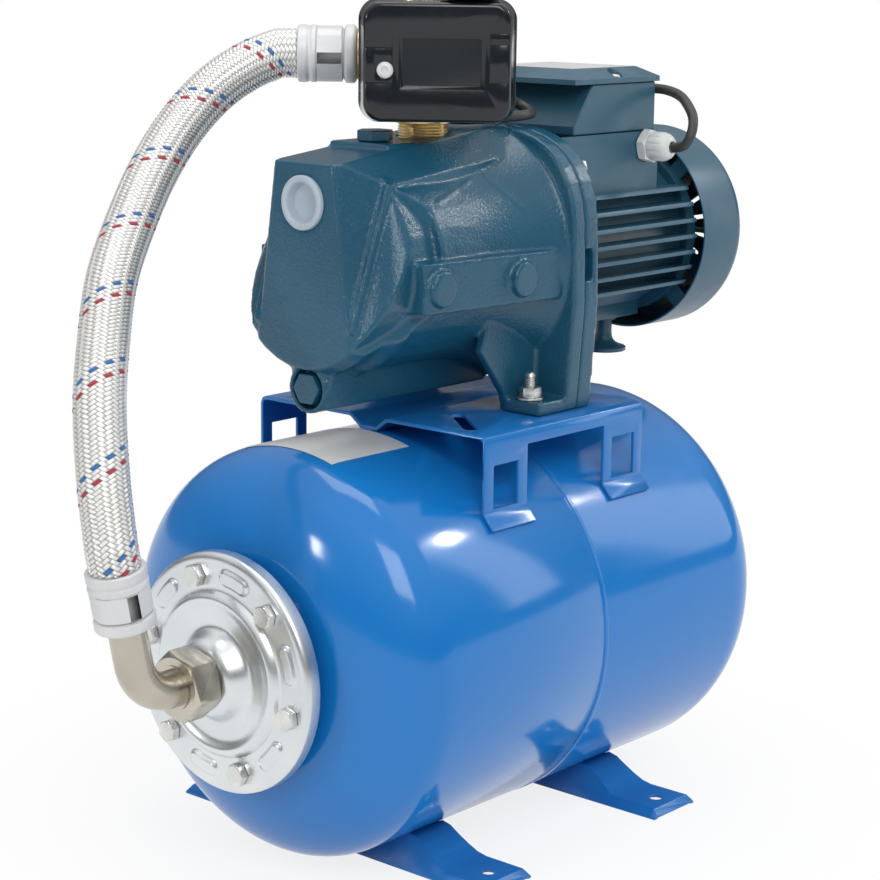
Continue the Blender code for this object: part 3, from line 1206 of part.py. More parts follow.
def motor_foot(paint):
    """The turned foot that hangs under the motor's rear end."""
    plate, length = MOTOR_FOOT_PLATE, MOTOR_FOOT_LENGTH
    outline = [(0, 0), (0, MOTOR_FOOT_RADIUS), (plate, MOTOR_FOOT_RADIUS)]
    outline += [(2 * plate, MOTOR_FOOT_RADIUS * 0.55), (3 * plate + 0.001, MOTOR_FOOT_POST)]
    outline += [(length, MOTOR_FOOT_POST), (length, 0)]
    start = (tank_x(MOTOR_FOOT_X), 0, motor_foot_top() - length)
    turned("motor_foot", outline, start, (0, 0, 1), paint, ROUND_STEPS)


def motor_inside(steel, copper, bearing_seat):
    """Stator, rotor and bearings."""
    axis = (SEAM_X, 0, SHAFT_Z)
    start, end = CORE_X
    bore = ROTOR_RADIUS + AIR_GAP
    outer = HOUSING_BORE - GAP
    winding = HOUSING_BORE - WINDING_STEP
    stator = [(start - WINDING_REACH, bore + 0.004), (start - WINDING_REACH, winding), (start, winding)]
    stator += [(start, outer), (end, outer), (end, winding), (end + WINDING_REACH, winding)]
    stator += [(end + WINDING_REACH, bore + 0.004), (end, bore), (start, bore)]
    turned("stator", stator, axis, (1, 0, 0), copper, ROUND_STEPS)
    nose_x, step_x = IMPELLER_FRONT_X - 0.002, IMPELLER_BACK_X + RUNNING_GAP
    rear_seat = SHIELD_X + SHIELD_SEAT
    front_end = bearing_seat + BEARING_WIDTH
    shaft = [(nose_x, 0), (nose_x, SHAFT_NOSE), (step_x, SHAFT_NOSE)]
    shaft += [(step_x + RUNNING_GAP, SHAFT_RADIUS), (front_end + 0.001, SHAFT_RADIUS)]
    shaft += [(front_end + 0.002, SHAFT_CORE), (start, SHAFT_CORE), (start, ROTOR_RADIUS), (end, ROTOR_RADIUS)]
    shaft += [(end, SHAFT_CORE), (rear_seat - 0.004, SHAFT_CORE), (rear_seat - 0.003, SHAFT_RADIUS)]
    shaft += [(FAN_X[1] + 0.001, SHAFT_RADIUS), (FAN_X[1] + 0.001, 0)]
    turned("rotor", shaft, axis, (1, 0, 0), steel, INNER_STEPS)
    for name, seat in (("front_bearing", bearing_seat + GAP), ("rear_bearing", rear_seat)):
        inner, stop = running_bore(SHAFT_RADIUS), seat + BEARING_WIDTH - 2 * GAP
        ring = [(seat, inner), (seat, BEARING_RADIUS), (stop, BEARING_RADIUS), (stop, inner)]
        turned(name, ring, axis, (1, 0, 0), steel, INNER_STEPS)


def end_shield(paint):
    """Rear end shield with the bearing seat and four lugs that carry the fan cover."""
    axis = (SEAM_X, 0, SHAFT_Z)
    start, end = SHIELD_X, SHIELD_END_X
    seat_end, plate = end - SHIELD_HUB_WALL, start + SHIELD_THICK
    edge, way, seat = HOUSING_BORE + SHIELD_PROUD, SHAFT_RADIUS + 0.001, BEARING_RADIUS + GAP
    outline = [(start, seat), (start, edge), (plate, edge), (plate, SHIELD_HUB + 0.006), (end, SHIELD_HUB)]
    outline += [(end, way), (seat_end, way), (seat_end, seat)]
    shield = turned("end_shield", outline, axis, (1, 0, 0), paint, LARGE_STEPS)
    for i in range(4):
        turn = Matrix.Rotation(math.pi / 4 + i * math.pi / 2, 4, "X")
        lug = block(f"shield_lug_{i}", (tank_x(COVER_FRONT_X + 0.0005), edge - 0.004, -SHIELD_LUG_WIDTH / 2),
                    (tank_x(plate - 0.0005), COVER_RADIUS - COVER_WALL - 2 * GAP, SHIELD_LUG_WIDTH / 2), paint,
                    Matrix.Translation((0, 0, SHAFT_Z)) @ turn)
        join(shield, lug)


def cooling_fan(plastic):
    axis = (SEAM_X, 0, SHAFT_Z)
    low, high = FAN_X
    bore = SHAFT_RADIUS + GAP
    disc, hub = FAN_RADIUS - 0.014, bore + 0.0052
    outline = [(low, bore), (low, disc), (low + 0.002, disc), (low + 0.004, hub + 0.001)]
    outline += [(high, hub), (high, bore)]
    fan = turned("cooling_fan", outline, axis, (1, 0, 0), plastic, ROUND_STEPS)
    for i in range(FAN_BLADES):
        place = Matrix.Translation((0, 0, SHAFT_Z)) @ Matrix.Rotation(2 * math.pi * i / FAN_BLADES, 4, "X")
        blade = block(f"blade_{i}", (tank_x(low + 0.0005), hub - 0.0012, -0.001),
                      (tank_x(high - 0.002), FAN_RADIUS, 0.001), plastic, place)
        join(fan, blade)


def fan_cover(paint):
    """Pressed cup over the fan, with a ring of slots in its rear face."""
    front, rear = COVER_FRONT_X, COVER_REAR_X
    thin, centre = COVER_RADIUS - COVER_WALL, (rear - COVER_ROUND, COVER_RADIUS - COVER_ROUND)
    corner = circle(COVER_ROUND, 5, centre, math.pi / 2, -math.pi / 2, closed=False)
    inner = circle(COVER_ROUND - COVER_WALL, 5, centre, 0, math.pi / 2, closed=False)
    outline = [(front, COVER_RADIUS)] + corner + [(rear, 0), (rear - COVER_WALL, 0)]
    outline += inner + [(front, thin)]
    cover = turned("fan_cover", outline, (SEAM_X, 0, SHAFT_Z), (1, 0, 0), paint, LARGE_STEPS)
    cutters = bmesh.new()
    for i in range(COVER_SLOTS):
        turn = Matrix.Rotation(2 * math.pi * (i + 0.5) / COVER_SLOTS, 4, "X")
        place = Matrix.Translation((tank_x(rear), 0, SHAFT_Z)) @ turn
        low, high = SLOT_REACH
        made = bmesh.ops.create_cube(cutters, size=1)["verts"]
        size = Matrix.Diagonal((4 * COVER_WALL, high - low, SLOT_THICK, 1))
        middle = Matrix.Translation((0, (low + high) / 2, 0))
        bmesh.ops.transform(cutters, matrix=place @ middle @ size, verts=made)
    cut(cover, solid("cover_slots", cutters, paint))


def terminal_box(paint, steel, plastic):
    """Box, lid and two lid screws on the motor's pedestal, with board and capacitor."""
    base = PEDESTAL_Z + GAP
    low_x, high_x = BOX_FRONT_X, BOX_REAR_X
    top = base + BOX_HEIGHT

    def ring(level, lean, inset, start=low_x):
        x0, x1 = tank_x(start + lean + inset), tank_x(high_x - inset)
        half = BOX_HALF - inset
        return [(x0, -half, level), (x1, -half, level), (x1, half, level), (x0, half, level)]

    shoulder = base + BOX_BASE
    box = lofted("terminal_box", [ring(base, 0, 0), ring(shoulder, 0, 0), ring(top, BOX_LEAN, 0)], paint)
    hollow = [ring(base - PROUD, 0, BOX_WALL), ring(shoulder, 0, BOX_WALL)]
    hollow.append(ring(top + PROUD, BOX_LEAN, BOX_WALL))
    cut(box, lofted("box_hollow", hollow, paint))
    shelf = top + GAP
    rim = shelf + LID_LIP
    rings = [ring(shelf, 0, -LID_OVERHANG), ring(rim, 0, -LID_OVERHANG), ring(rim + LID_RISE, 0, LID_INSET)]
    lid = lofted("terminal_lid", rings, paint)
    x, shank, head = tank_x(LID_SCREW_X), LID_SCREW_SHANK, LID_SCREW_RADIUS
    for side, word in ((-1, "near"), (1, "far")):
        y = side * (BOX_HALF - LID_SCREW_INSET)
        for part, start, radius in (("rest", rim, head + 0.001), ("bore", shelf - PROUD, shank + GAP)):
            cut(lid, rod(f"screw_{part}_{word}", (x, y, start), (0, 0, 1), radius, 2 * LID_RISE, steel,
                         SMALL_STEPS))
        low = -LID_LIP - 0.0005
        screw = [(low, 0), (low, shank), (0, shank), (0, head), (0.0022, head - 0.001), (0.0022, 0)]
        turned(f"lid_screw_{word}", screw, (x, y, rim + GAP), (0, 0, 1), steel, SMALL_STEPS)
    terminal_block(plastic)


def terminal_block(plastic):
    """What lies in the pedestal's pocket: the ribbed terminal board and the capacitor."""
    floor = PEDESTAL_FLOOR_Z + GAP
    length, width, height = BOARD_SIZE
    end = tank_x(BOX_REAR_X - BOARD_INSET)
    board = block("terminal_board", (end - length, -width / 2, floor), (end, width / 2, floor + height),
                  plastic)
    thick, rise, pitch = BOARD_RIB
    for i in range(2):
        y = (i - 0.5) * pitch
        join(board, block(f"board_rib_{i}", (end - length + 0.0005, y - thick / 2, floor + height / 2),
                          (end - 0.0005, y + thick / 2, floor + height + rise), plastic))
    start = (tank_x(BOX_FRONT_X + CAPACITOR_INSET), -CAPACITOR_LENGTH / 2, floor + CAPACITOR_RADIUS)
    rod("capacitor", start, (0, 1, 0), CAPACITOR_RADIUS, CAPACITOR_LENGTH, plastic)


def cable_gland(plastic):
    """Hexagon body screwed into the pedestal, and the dome nut that grips the cable."""
    wall, thread, way = -PEDESTAL_HALF - GAP, wall_thread(), CABLE_RADIUS + GAP
    x, z = tank_x(GLAND_X), GLAND_Z
    body = extruded("cable_gland", hexagon(GLAND_FLATS), 0, GLAND_HEX_LENGTH, "XY", plastic,
                    along((0, -1, 0), (x, wall, z)))
    stub = rod("gland_thread", (x, wall - GLAND_HEX_LENGTH / 2, z), (0, 1, 0), GLAND_STUB, thread, plastic)
    neck = rod("gland_neck", (x, wall - GLAND_HEX_LENGTH / 2, z), (0, -1, 0), GLAND_STUB, thread, plastic)
    join(body, stub, neck)
    cut(body, rod("gland_way", (x, wall - 0.03, z), (0, 1, 0), way, 0.05, plastic, SMALL_STEPS))
    grip, reach = GLAND_STUB + GAP, GLAND_NUT_LENGTH
    inside = thread - GLAND_HEX_LENGTH / 2 + 0.0025
    nut = [(0, grip), (0, GLAND_COLLAR), (0.55 * reach, GLAND_COLLAR), (reach - 0.006, GLAND_COLLAR - 0.002)]
    nut += [(reach, way + 0.0024), (reach, way), (inside, way), (inside, grip)]
    turned("gland_nut", nut, (x, wall - GLAND_HEX_LENGTH - GAP, z), (0, -1, 0), plastic, ROUND_STEPS)


def wall_thread():
    """Length of the gland's thread, from the middle of its hexagon through the wall."""
    return GLAND_HEX_LENGTH / 2 + PEDESTAL_WALL + GAP + GLAND_THREAD


def hose_direction():
    return Matrix.Rotation(SWITCH_TURN, 3, "Z") @ Vector((-1, 0, 0))


def switch_direction():
    return Matrix.Rotation(SWITCH_TURN, 3, "Z") @ Vector((0, -1, 0))


def switch_z():
    """Height of the switch's middle: its lower edge clears the casing's deck."""
    return deck_z(FITTING_X) + SWITCH_LIFT + SWITCH_TALL / 2


def side_port_z():
    return switch_z() + SIDE_PORT_RISE


def five_way_fitting(brass):
    """Brass fitting: threaded neck, hexagon, body with side, switch and gauge ports."""
    deck, port_z = deck_z(FITTING_X), side_port_z()
    base, top = deck - FITTING_SEAT + GAP, port_z + FITTING_HEAD
    x, crown = tank_x(FITTING_X), top - FITTING_CROWN
    middle = deck + (FITTING_HEX_LOW + FITTING_HEX_HIGH) / 2
    outline = [
        (base, 0), (base, FITTING_NECK), (middle, FITTING_NECK), (middle + 0.001, FITTING_BODY),
        (crown, FITTING_BODY), (crown + 0.002, FITTING_BODY + 0.002), (top, FITTING_BODY + 0.002), (top, 0),
    ]
    body = turned("five_way_fitting", outline, (x, 0, 0), (0, 0, 1), brass, ROUND_STEPS)
    place = Matrix.Translation((x, 0, deck)) @ Matrix.Rotation(SWITCH_TURN / 2, 4, "Z")
    flats = extruded("fitting_flats", hexagon(FITTING_HEX), FITTING_HEX_LOW, FITTING_HEX_HIGH, "XY", brass,
                     place)
    join(body, flats)
    side, front = hose_direction(), switch_direction()
    inside = FITTING_BORE * 0.8
    for name, way, z, radius, reach, steps in (
        ("side_port", side, port_z, SIDE_PORT_RADIUS, SIDE_PORT_REACH, ROUND_STEPS),
        ("switch_port", front, switch_z(), NIPPLE_RADIUS, -SWITCH_BASE_Y[0] - GAP, SMALL_STEPS),
        ("gauge_port", -front, port_z, NIPPLE_RADIUS, FITTING_BODY + 0.010, SMALL_STEPS),
    ):
        start = Vector((x, 0, z)) + way * inside
        join(body, rod(name, start, way, radius, reach - inside, brass, steps))
    ways = rod("fitting_way", (x, 0, base - PROUD), (0, 0, 1), FITTING_BORE, top - base + 2 * PROUD, brass)
    join(ways, rod("side_way", Vector((x, 0, port_z)), side, FITTING_BORE * 0.7, SIDE_PORT_REACH + PROUD, brass))
    cut(body, ways)


def ferrule(name, start, axis, steel):
    """Crimped hose end: end ring, hexagon and sleeve, with a waterway through it."""
    quarter = FERRULE_LENGTH / 4
    outline = [
        (0, WATERWAY - 0.001), (0, FERRULE_RADIUS - 0.001), (0.001, FERRULE_RADIUS + 0.0006),
        (quarter - 0.002, FERRULE_RADIUS + 0.0006), (quarter, FERRULE_RADIUS - 0.0012),
        (3 * quarter - 0.001, FERRULE_RADIUS - 0.0008), (3 * quarter, FERRULE_RADIUS + 0.0004),
        (FERRULE_LENGTH - 0.001, FERRULE_RADIUS + 0.0004), (FERRULE_LENGTH, FERRULE_RADIUS - 0.0006),
        (FERRULE_LENGTH, WATERWAY - 0.001),
    ]
    return turned(name, outline, start, axis, steel, ROUND_STEPS)


def elbow_path():
    """Centreline of the elbow from the union nut to its upper end, in tank coordinates."""
    start = NOSE_X - GAP
    centre = Vector((start - ELBOW_STRAIGHT, 0, ELBOW_BEND))
    points = [Vector((start, 0, 0))]
    for i in range(8):
        angle = ELBOW_ANGLE * i / 7
        points.append(centre + ELBOW_BEND * Vector((-math.sin(angle), 0, -math.cos(angle))))
    way = Vector((-math.cos(ELBOW_ANGLE), 0, math.sin(ELBOW_ANGLE)))
    points.append(points[-1] + way * ELBOW_RISE)
    return points, way


def elbow(nickel):
    """Bent pipe with a collar, and the union nut that draws it onto the hub."""
    points, way = elbow_path()
    base = Vector((SEAM_X, 0, TANK_Z))

    def rings(radius, stretch):
        found = []
        for i, point in enumerate(points):
            ahead = points[min(i + 1, len(points) - 1)] - points[max(i - 1, 0)]
            turn = Vector((0, 1, 0)).cross(ahead.normalized())
            shift = ahead.normalized() * (stretch if i == len(points) - 1 else -stretch if i == 0 else 0)
            loop = circle(radius, ROUND_STEPS)
            found.append([base + point + shift + Vector((0, a, 0)) + turn * b for a, b in loop])
        return found

    pipe = lofted("elbow_pipe", rings(ELBOW_RADIUS, 0), nickel)
    collar_radius = NOSE_RADIUS - GAP
    collar = [(-ELBOW_COLLAR, 0), (-ELBOW_COLLAR, collar_radius), (0, collar_radius), (0, 0)]
    join(pipe, turned("elbow_collar", collar, base + points[0], (1, 0, 0), nickel, ROUND_STEPS))
    cut(pipe, lofted("elbow_way", rings(ELBOW_RADIUS - ELBOW_WALL, PROUD), nickel))
    nut_end = NOSE_X - ELBOW_NUT_REACH
    place = along((1, 0, 0), (tank_x(nut_end), 0, TANK_Z))
    nut = extruded("elbow_nut", hexagon(ELBOW_NUT_FLATS), 0, ELBOW_NUT_LENGTH, "XY", nickel, place)
    shoulder = ELBOW_NUT_REACH - ELBOW_COLLAR - 2 * GAP
    inner = [(-PROUD, 0), (-PROUD, ELBOW_RADIUS + GAP), (shoulder, ELBOW_RADIUS + GAP)]
    inner += [(shoulder, NOSE_RADIUS + GAP), (ELBOW_NUT_LENGTH + PROUD, NOSE_RADIUS + GAP)]
    inner += [(ELBOW_NUT_LENGTH + PROUD, 0)]
    cut(nut, turned("nut_way", inner, (tank_x(nut_end), 0, TANK_Z), (1, 0, 0), nickel, ROUND_STEPS))
    return base + points[-1], way


def smooth_route(points, step):
    """Points at an even spacing on a Catmull-Rom curve through the route."""
    line = [Vector(point) for point in points]
    padded = [2 * line[0] - line[1]] + line + [2 * line[-1] - line[-2]]
    dense = []
    for i in range(1, len(padded) - 2):
        p0, p1, p2, p3 = padded[i - 1:i + 3]
        for k in range(24):
            t = k / 24
            a = 2 * p1 + (p2 - p0) * t + (2 * p0 - 5 * p1 + 4 * p2 - p3) * t**2
            dense.append((a + (3 * p1 - p0 - 3 * p2 + p3) * t**3) / 2)
    dense.append(line[-1])
    total = sum((b - a).length for a, b in zip(dense, dense[1:]))
    count = max(2, round(total / step))
    result, travelled, target = [dense[0]], 0.0, total / count
    for a, b in zip(dense, dense[1:]):
        span = (b - a).length
        while travelled + span >= target - 1e-9 and len(result) < count:
            result.append(a + (b - a) * ((target - travelled) / span))
            target += total / count
        travelled += span
    return result + [dense[-1]]


def cord(name, route, radius, step, sides, material):
    """A round cord along a smooth route, with closed ends."""
    points = [Vector(route[0])] + smooth_route(route[1:-1], step) + [Vector(route[-1])]
    curve = bpy.data.curves.new(name, "CURVE")
    curve.dimensions = "3D"
    curve.bevel_depth = radius
    curve.bevel_resolution = sides
    curve.use_fill_caps = True
    spline = curve.splines.new("POLY")
    spline.points.add(len(points) - 1)
    for target, point in zip(spline.points, points):
        target.co = (*point, 1.0)
    curve.materials.append(material)
    obj = bpy.data.objects.new(name, curve)
    bpy.context.collection.objects.link(obj)
    return obj


def hose(braid, zinc, elbow_end, elbow_way):
    """The braided hose between the side port and the elbow, with its two ferrules."""
    side, length = hose_direction(), FERRULE_LENGTH + 2 * GAP
    port_end = Vector((tank_x(FITTING_X), 0, side_port_z())) + side * SIDE_PORT_REACH
    ferrule("ferrule_upper", port_end + side * GAP, side, zinc)
    ferrule("ferrule_lower", elbow_end + elbow_way * GAP, elbow_way, zinc)
    upper_end, lower_end = port_end + side * length, elbow_end + elbow_way * length
    shift = Vector((SEAM_X, 0, TANK_Z))
    route = [upper_end, upper_end + side * 0.012]
    route += [shift + Vector(point) for point in HOSE_ROUTE]
    route += [lower_end + elbow_way * 0.012, lower_end]
    cord("hose", route, HOSE_RADIUS, HOSE_STEP, 4, braid)


def pressure_switch(plastic, steel):
    """Switch base and cover turned to face the user, with a rotary on/off knob on top."""
    frame = Matrix.Translation((tank_x(FITTING_X), 0, switch_z())) @ Matrix.Rotation(SWITCH_TURN, 4, "Z")

    def loop(width, tall, radius, y):
        return [frame @ Vector((SWITCH_OFFSET + a, y, b)) for a, b in rounded_box(width, tall, radius)]

    back, split = SWITCH_BASE_Y
    rings = [loop(SWITCH_WIDTH - 0.004, SWITCH_TALL - 0.004, SWITCH_ROUND, back),
             loop(SWITCH_WIDTH, SWITCH_TALL, SWITCH_ROUND, back - 0.004),
             loop(SWITCH_WIDTH, SWITCH_TALL, SWITCH_ROUND, split)]
    base = lofted("switch_base", rings, plastic)
    seam = split - GAP
    narrow, short = SWITCH_WIDTH - 2 * SWITCH_TAPER, SWITCH_TALL - SWITCH_TAPER
    rings = [loop(SWITCH_WIDTH - 0.001, SWITCH_TALL - 0.001, SWITCH_ROUND, seam),
             loop(narrow + 0.002, short + 0.002, SWITCH_ROUND, SWITCH_FRONT_Y + 0.004),
             loop(narrow - 0.005, short - 0.005, SWITCH_ROUND - 0.003, SWITCH_FRONT_Y)]
    cover = lofted("switch_cover", rings, plastic)
    wall = 2 * SWITCH_WALL
    hollow = [loop(SWITCH_WIDTH - wall, SWITCH_TALL - wall, SWITCH_ROUND - SWITCH_WALL, seam + PROUD),
              loop(narrow - wall, short - wall, SWITCH_ROUND - SWITCH_WALL, SWITCH_FRONT_Y + SWITCH_WALL)]
    cut(cover, lofted("cover_hollow", hollow, plastic))
    panel = rounded_box(*PANEL_SIZE, 0.001, 1)
    panel_loops = [[frame @ Vector((SWITCH_OFFSET + a + 0.001, y, b)) for a, b in panel]
                   for y in (SWITCH_FRONT_Y - PROUD, SWITCH_FRONT_Y + PANEL_RECESS)]
    cut(cover, lofted("panel_recess", panel_loops, plastic))
    screw_at = frame @ Vector((SWITCH_OFFSET + SWITCH_SCREW_AT[0], SWITCH_FRONT_Y, SWITCH_SCREW_AT[1]))
    way = switch_direction()
    cut(cover, rod("screw_bore", screw_at + way * PROUD, -way, 0.002 + GAP, 0.008, plastic, SMALL_STEPS))
    screw = [(0.0003, 0.002), (0.0003, 0.0052), (0.0012, 0.0048), (0.0022, 0.003), (0.0022, 0)]
    screw += [(-0.006, 0), (-0.006, 0.002)]
    turned("cover_screw", screw, screw_at, way, steel, ROUND_STEPS)
    return frame, switch_sleeve(base, plastic, frame)


def selector_knob(plastic, frame):
    """Rotary selector: a round disc with a bar grip, turning on its own stem."""
    centre = frame @ Vector((SWITCH_OFFSET + KNOB_AT[0], KNOB_AT[1], 0))
    outline = [(0, 0), (0, KNOB_RADIUS), (KNOB_DISC - 0.001, KNOB_RADIUS)]
    outline += [(KNOB_DISC, KNOB_RADIUS - 0.0015), (KNOB_DISC, 0)]
    base = switch_z() + SWITCH_TALL / 2 + GAP
    knob = turned("selector_knob", outline, (0, 0, 0), (0, 0, 1), plastic, ROUND_STEPS)
    long, wide, tall = KNOB_GRIP
    grip = rounded_box(long, wide, 0.003, 2)
    narrow = rounded_box(long - 0.002, wide - 0.004, 0.0025, 2)
    turn = Matrix.Rotation(SWITCH_TURN + math.pi / 2, 4, "Z")
    sections = [[turn @ Vector((a, b, level)) for a, b in shape]
                for shape, level in ((grip, KNOB_DISC - 0.001), (narrow, KNOB_DISC + tall))]
    bar = lofted("knob_bar", sections, plastic)
    bar.location = (centre.x, centre.y, base)
    knob.location = (centre.x, centre.y, base)
    join(knob, bar)
    return knob


def switch_sleeve(base, plastic, frame):
    """Entry sleeve at the back of the switch base for the link cable."""
    place = frame @ Vector((SWITCH_OFFSET + SLEEVE_AT[0], SWITCH_BASE_Y[0], SLEEVE_AT[1]))
    way = -switch_direction()
    end = SLEEVE_LENGTH
    outline = [(-0.003, 0), (-0.003, 0.0062), (end - 0.003, 0.0062), (end, 0.0054), (end, 0)]
    join(base, turned("switch_sleeve", outline, place, way, plastic, SMALL_STEPS))
    cut(base, rod("sleeve_way", place, way, CABLE_RADIUS + GAP, end + PROUD, plastic, SMALL_STEPS))
    return place + way * (end + GAP), way


def link_cable(rubber, switch_end, switch_way):
    reach = PEDESTAL_HALF + GLAND_HEX_LENGTH + GLAND_NUT_LENGTH + 3 * GAP
    start = Vector((tank_x(GLAND_X), -reach, GLAND_Z))
    shift = Vector((SEAM_X, 0, TANK_Z))
    route = [start, start + Vector((0, -CABLE_LEAD, 0))]
    route += [shift + Vector(point) for point in CABLE_ROUTE]
    route += [switch_end + switch_way * 0.006, switch_end]
    cord("link_cable", route, CABLE_RADIUS, CABLE_STEP, 2, rubber)


def main():
    clear_scene()
    tank_blue = look("tank_blue", (0.02, 0.19, 0.55), 0.22)
    pump_paint = look("pump_paint", (0.045, 0.105, 0.155), 0.35)
    zinc = look("flange_zinc", (0.72, 0.75, 0.77), 0.3, 1.0)
    ferrule_zinc = look("ferrule_zinc", (0.82, 0.83, 0.84), 0.28, 1.0)
    nickel = look("nickel", (0.62, 0.57, 0.49), 0.25, 1.0)
    brass = look("brass", (0.74, 0.54, 0.22), 0.3, 1.0)
    steel = look("steel", (0.6, 0.61, 0.62), 0.32, 1.0)
    copper = look("windings", (0.45, 0.2, 0.09), 0.5, 0.4)
    black = look("switch_black", (0.018, 0.019, 0.022), 0.2)
    white = look("gland_white", (0.62, 0.64, 0.62), 0.45)
    plug_grey = look("plug_grey", (0.40, 0.47, 0.55), 0.5)
    noryl = look("inner_plastic", (0.12, 0.12, 0.13), 0.5)
    rubber = look("rubber", (0.03, 0.03, 0.032), 0.7)
    braid = look("braid", (0.52, 0.51, 0.5), 0.4, 0.8)

    tank_shells(tank_blue)
    bladder(rubber)
    cover_flange(zinc)
    flange_bolts(steel)
    air_valve(brass, black)
    for name, x in zip(("front_foot", "rear_foot"), FOOT_XS):
        foot(name, x, tank_blue)
    pump_platform(tank_blue)
    pump_casing(pump_paint)
    casing_plugs(pump_paint, plug_grey)
    anchor_bolts(steel)
    bearing_seat = motor_bracket(pump_paint)
    casing_bolts(steel)
    impeller(brass)
    hydraulics(noryl, steel)
    motor_housing(pump_paint)
    motor_foot(pump_paint)
    motor_inside(steel, copper, bearing_seat)
    end_shield(pump_paint)
    cooling_fan(noryl)
    fan_cover(pump_paint)
    terminal_box(pump_paint, steel, noryl)
    cable_gland(white)
    five_way_fitting(brass)
    hose(braid, ferrule_zinc, *elbow(nickel))
    frame, sleeve = pressure_switch(black, steel)
    selector_knob(black, frame)
    link_cable(rubber, *sleeve)


main()
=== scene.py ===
# %% [markdown]
# # A booster pump set
# This lesson dresses a finished CAD model: a jet pump with its motor stands on
# a blue pressure tank, and a braided hose joins the two. The CAD nodes already
# have the right sizes and places. What is missing is what the eye judges by:
# round shapes that are really round, soft cast edges, a woven hose, and paint,
# zinc and brass that catch the light as they should.

# %% Load the CAD frame
import math

import bmesh
import bpy
from mathutils import Matrix, Vector


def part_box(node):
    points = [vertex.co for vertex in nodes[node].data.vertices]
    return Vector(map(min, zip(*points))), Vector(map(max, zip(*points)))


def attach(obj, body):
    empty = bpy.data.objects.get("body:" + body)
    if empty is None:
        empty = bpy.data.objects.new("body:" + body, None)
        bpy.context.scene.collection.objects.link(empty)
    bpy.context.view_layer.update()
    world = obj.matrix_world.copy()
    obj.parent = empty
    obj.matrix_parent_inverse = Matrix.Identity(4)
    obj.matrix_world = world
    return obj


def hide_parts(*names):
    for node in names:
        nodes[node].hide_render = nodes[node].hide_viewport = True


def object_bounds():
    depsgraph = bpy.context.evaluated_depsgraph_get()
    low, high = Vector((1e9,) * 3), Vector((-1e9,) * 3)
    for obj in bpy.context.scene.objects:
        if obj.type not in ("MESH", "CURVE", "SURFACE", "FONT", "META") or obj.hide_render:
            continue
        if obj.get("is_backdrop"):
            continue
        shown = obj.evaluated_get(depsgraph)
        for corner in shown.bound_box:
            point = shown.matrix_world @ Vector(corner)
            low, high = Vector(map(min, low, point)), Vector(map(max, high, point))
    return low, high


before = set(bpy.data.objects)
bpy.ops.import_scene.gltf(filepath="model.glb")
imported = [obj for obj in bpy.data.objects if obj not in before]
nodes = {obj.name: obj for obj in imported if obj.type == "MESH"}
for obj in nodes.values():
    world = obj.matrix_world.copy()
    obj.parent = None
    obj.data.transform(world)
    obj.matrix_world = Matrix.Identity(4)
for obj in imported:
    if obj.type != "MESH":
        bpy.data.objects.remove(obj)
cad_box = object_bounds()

# %% [markdown]
# ## The camera
# The photograph was taken with a long lens, a little above the tank and off its
# front corner. A long lens keeps parallel lines nearly parallel, which is why
# the camera stands 1.6 m away. It is given by a turn about the object, a tilt
# down, a small roll and a distance, because these are what a photographer sets.

# %% Place the camera
TANK_AT = (0.041, 0.0, 0.140)
CAMERA_TURN = -0.8556762514
CAMERA_TILT = 0.2084568308
CAMERA_ROLL = 0.0116558767
CAMERA_DISTANCE = 1.592679671
CAMERA_ASIDE = -0.007768263
CAMERA_RAISED = 0.112845931
LENS = 93.9857
SENSOR_WIDTH = 36


def new_object(name, data):
    """A new object in the scene that shows this data."""
    obj = bpy.data.objects.new(name, data)
    bpy.context.scene.collection.objects.link(obj)
    return obj


sine, cosine = math.sin(CAMERA_TURN), math.cos(CAMERA_TURN)
back = Vector((sine * math.cos(CAMERA_TILT), -cosine * math.cos(CAMERA_TILT), math.sin(CAMERA_TILT)))
level = Vector((cosine, sine, 0))
upright = back.cross(level)
right = level * math.cos(CAMERA_ROLL) + upright * math.sin(CAMERA_ROLL)
up = upright * math.cos(CAMERA_ROLL) - level * math.sin(CAMERA_ROLL)
eye = Vector(TANK_AT) + back * CAMERA_DISTANCE + right * CAMERA_ASIDE + up * CAMERA_RAISED

lens_data = bpy.data.cameras.new("photo_camera")
lens_data.lens = LENS
lens_data.sensor_width = SENSOR_WIDTH
lens_data.dof.use_dof = False
camera = new_object("photo_camera", lens_data)
camera.matrix_world = Matrix((
    (right.x, up.x, back.x, eye.x), (right.y, up.y, back.y, eye.y),
    (right.z, up.z, back.z, eye.z), (0, 0, 0, 1)))
bpy.context.scene.camera = camera
print("camera stands at", [round(value, 3) for value in eye])

# %% [markdown]
# ## Drawing a cord's route
# Both the hose and the cable follow a route of a few points. A Catmull-Rom
# curve passes smoothly through all of them, and walking along it in equal steps
# gives points close enough together for a tube. The routes are the same as the
# CAD solids have, so the dressed cords lie exactly where the solids do.

# %% Routes of the hose and the cable
CURVE_STEPS = 24


def smooth_route(points, step):
    """Evenly spaced points on a smooth curve through the route's points."""
    line = [Vector(point) for point in points]
    padded = [2 * line[0] - line[1]] + line + [2 * line[-1] - line[-2]]
    dense = []
    for i in range(1, len(padded) - 2):
        before, start, end, after = padded[i - 1:i + 3]
        for k in range(CURVE_STEPS):
            t = k / CURVE_STEPS
            bend = 2 * start + (end - before) * t + (2 * before - 5 * start + 4 * end - after) * t**2
            dense.append((bend + (3 * start - before - 3 * end + after) * t**3) / 2)
    dense.append(line[-1])
    total = sum((b - a).length for a, b in zip(dense, dense[1:]))
    count = max(2, round(total / step))
    result, travelled, target = [dense[0]], 0.0, total / count
    for a, b in zip(dense, dense[1:]):
        span = (b - a).length
        while travelled + span >= target - 1e-9 and len(result) < count:
            result.append(a + (b - a) * ((target - travelled) / span))
            target += total / count
        travelled += span
    return result + [dense[-1]]


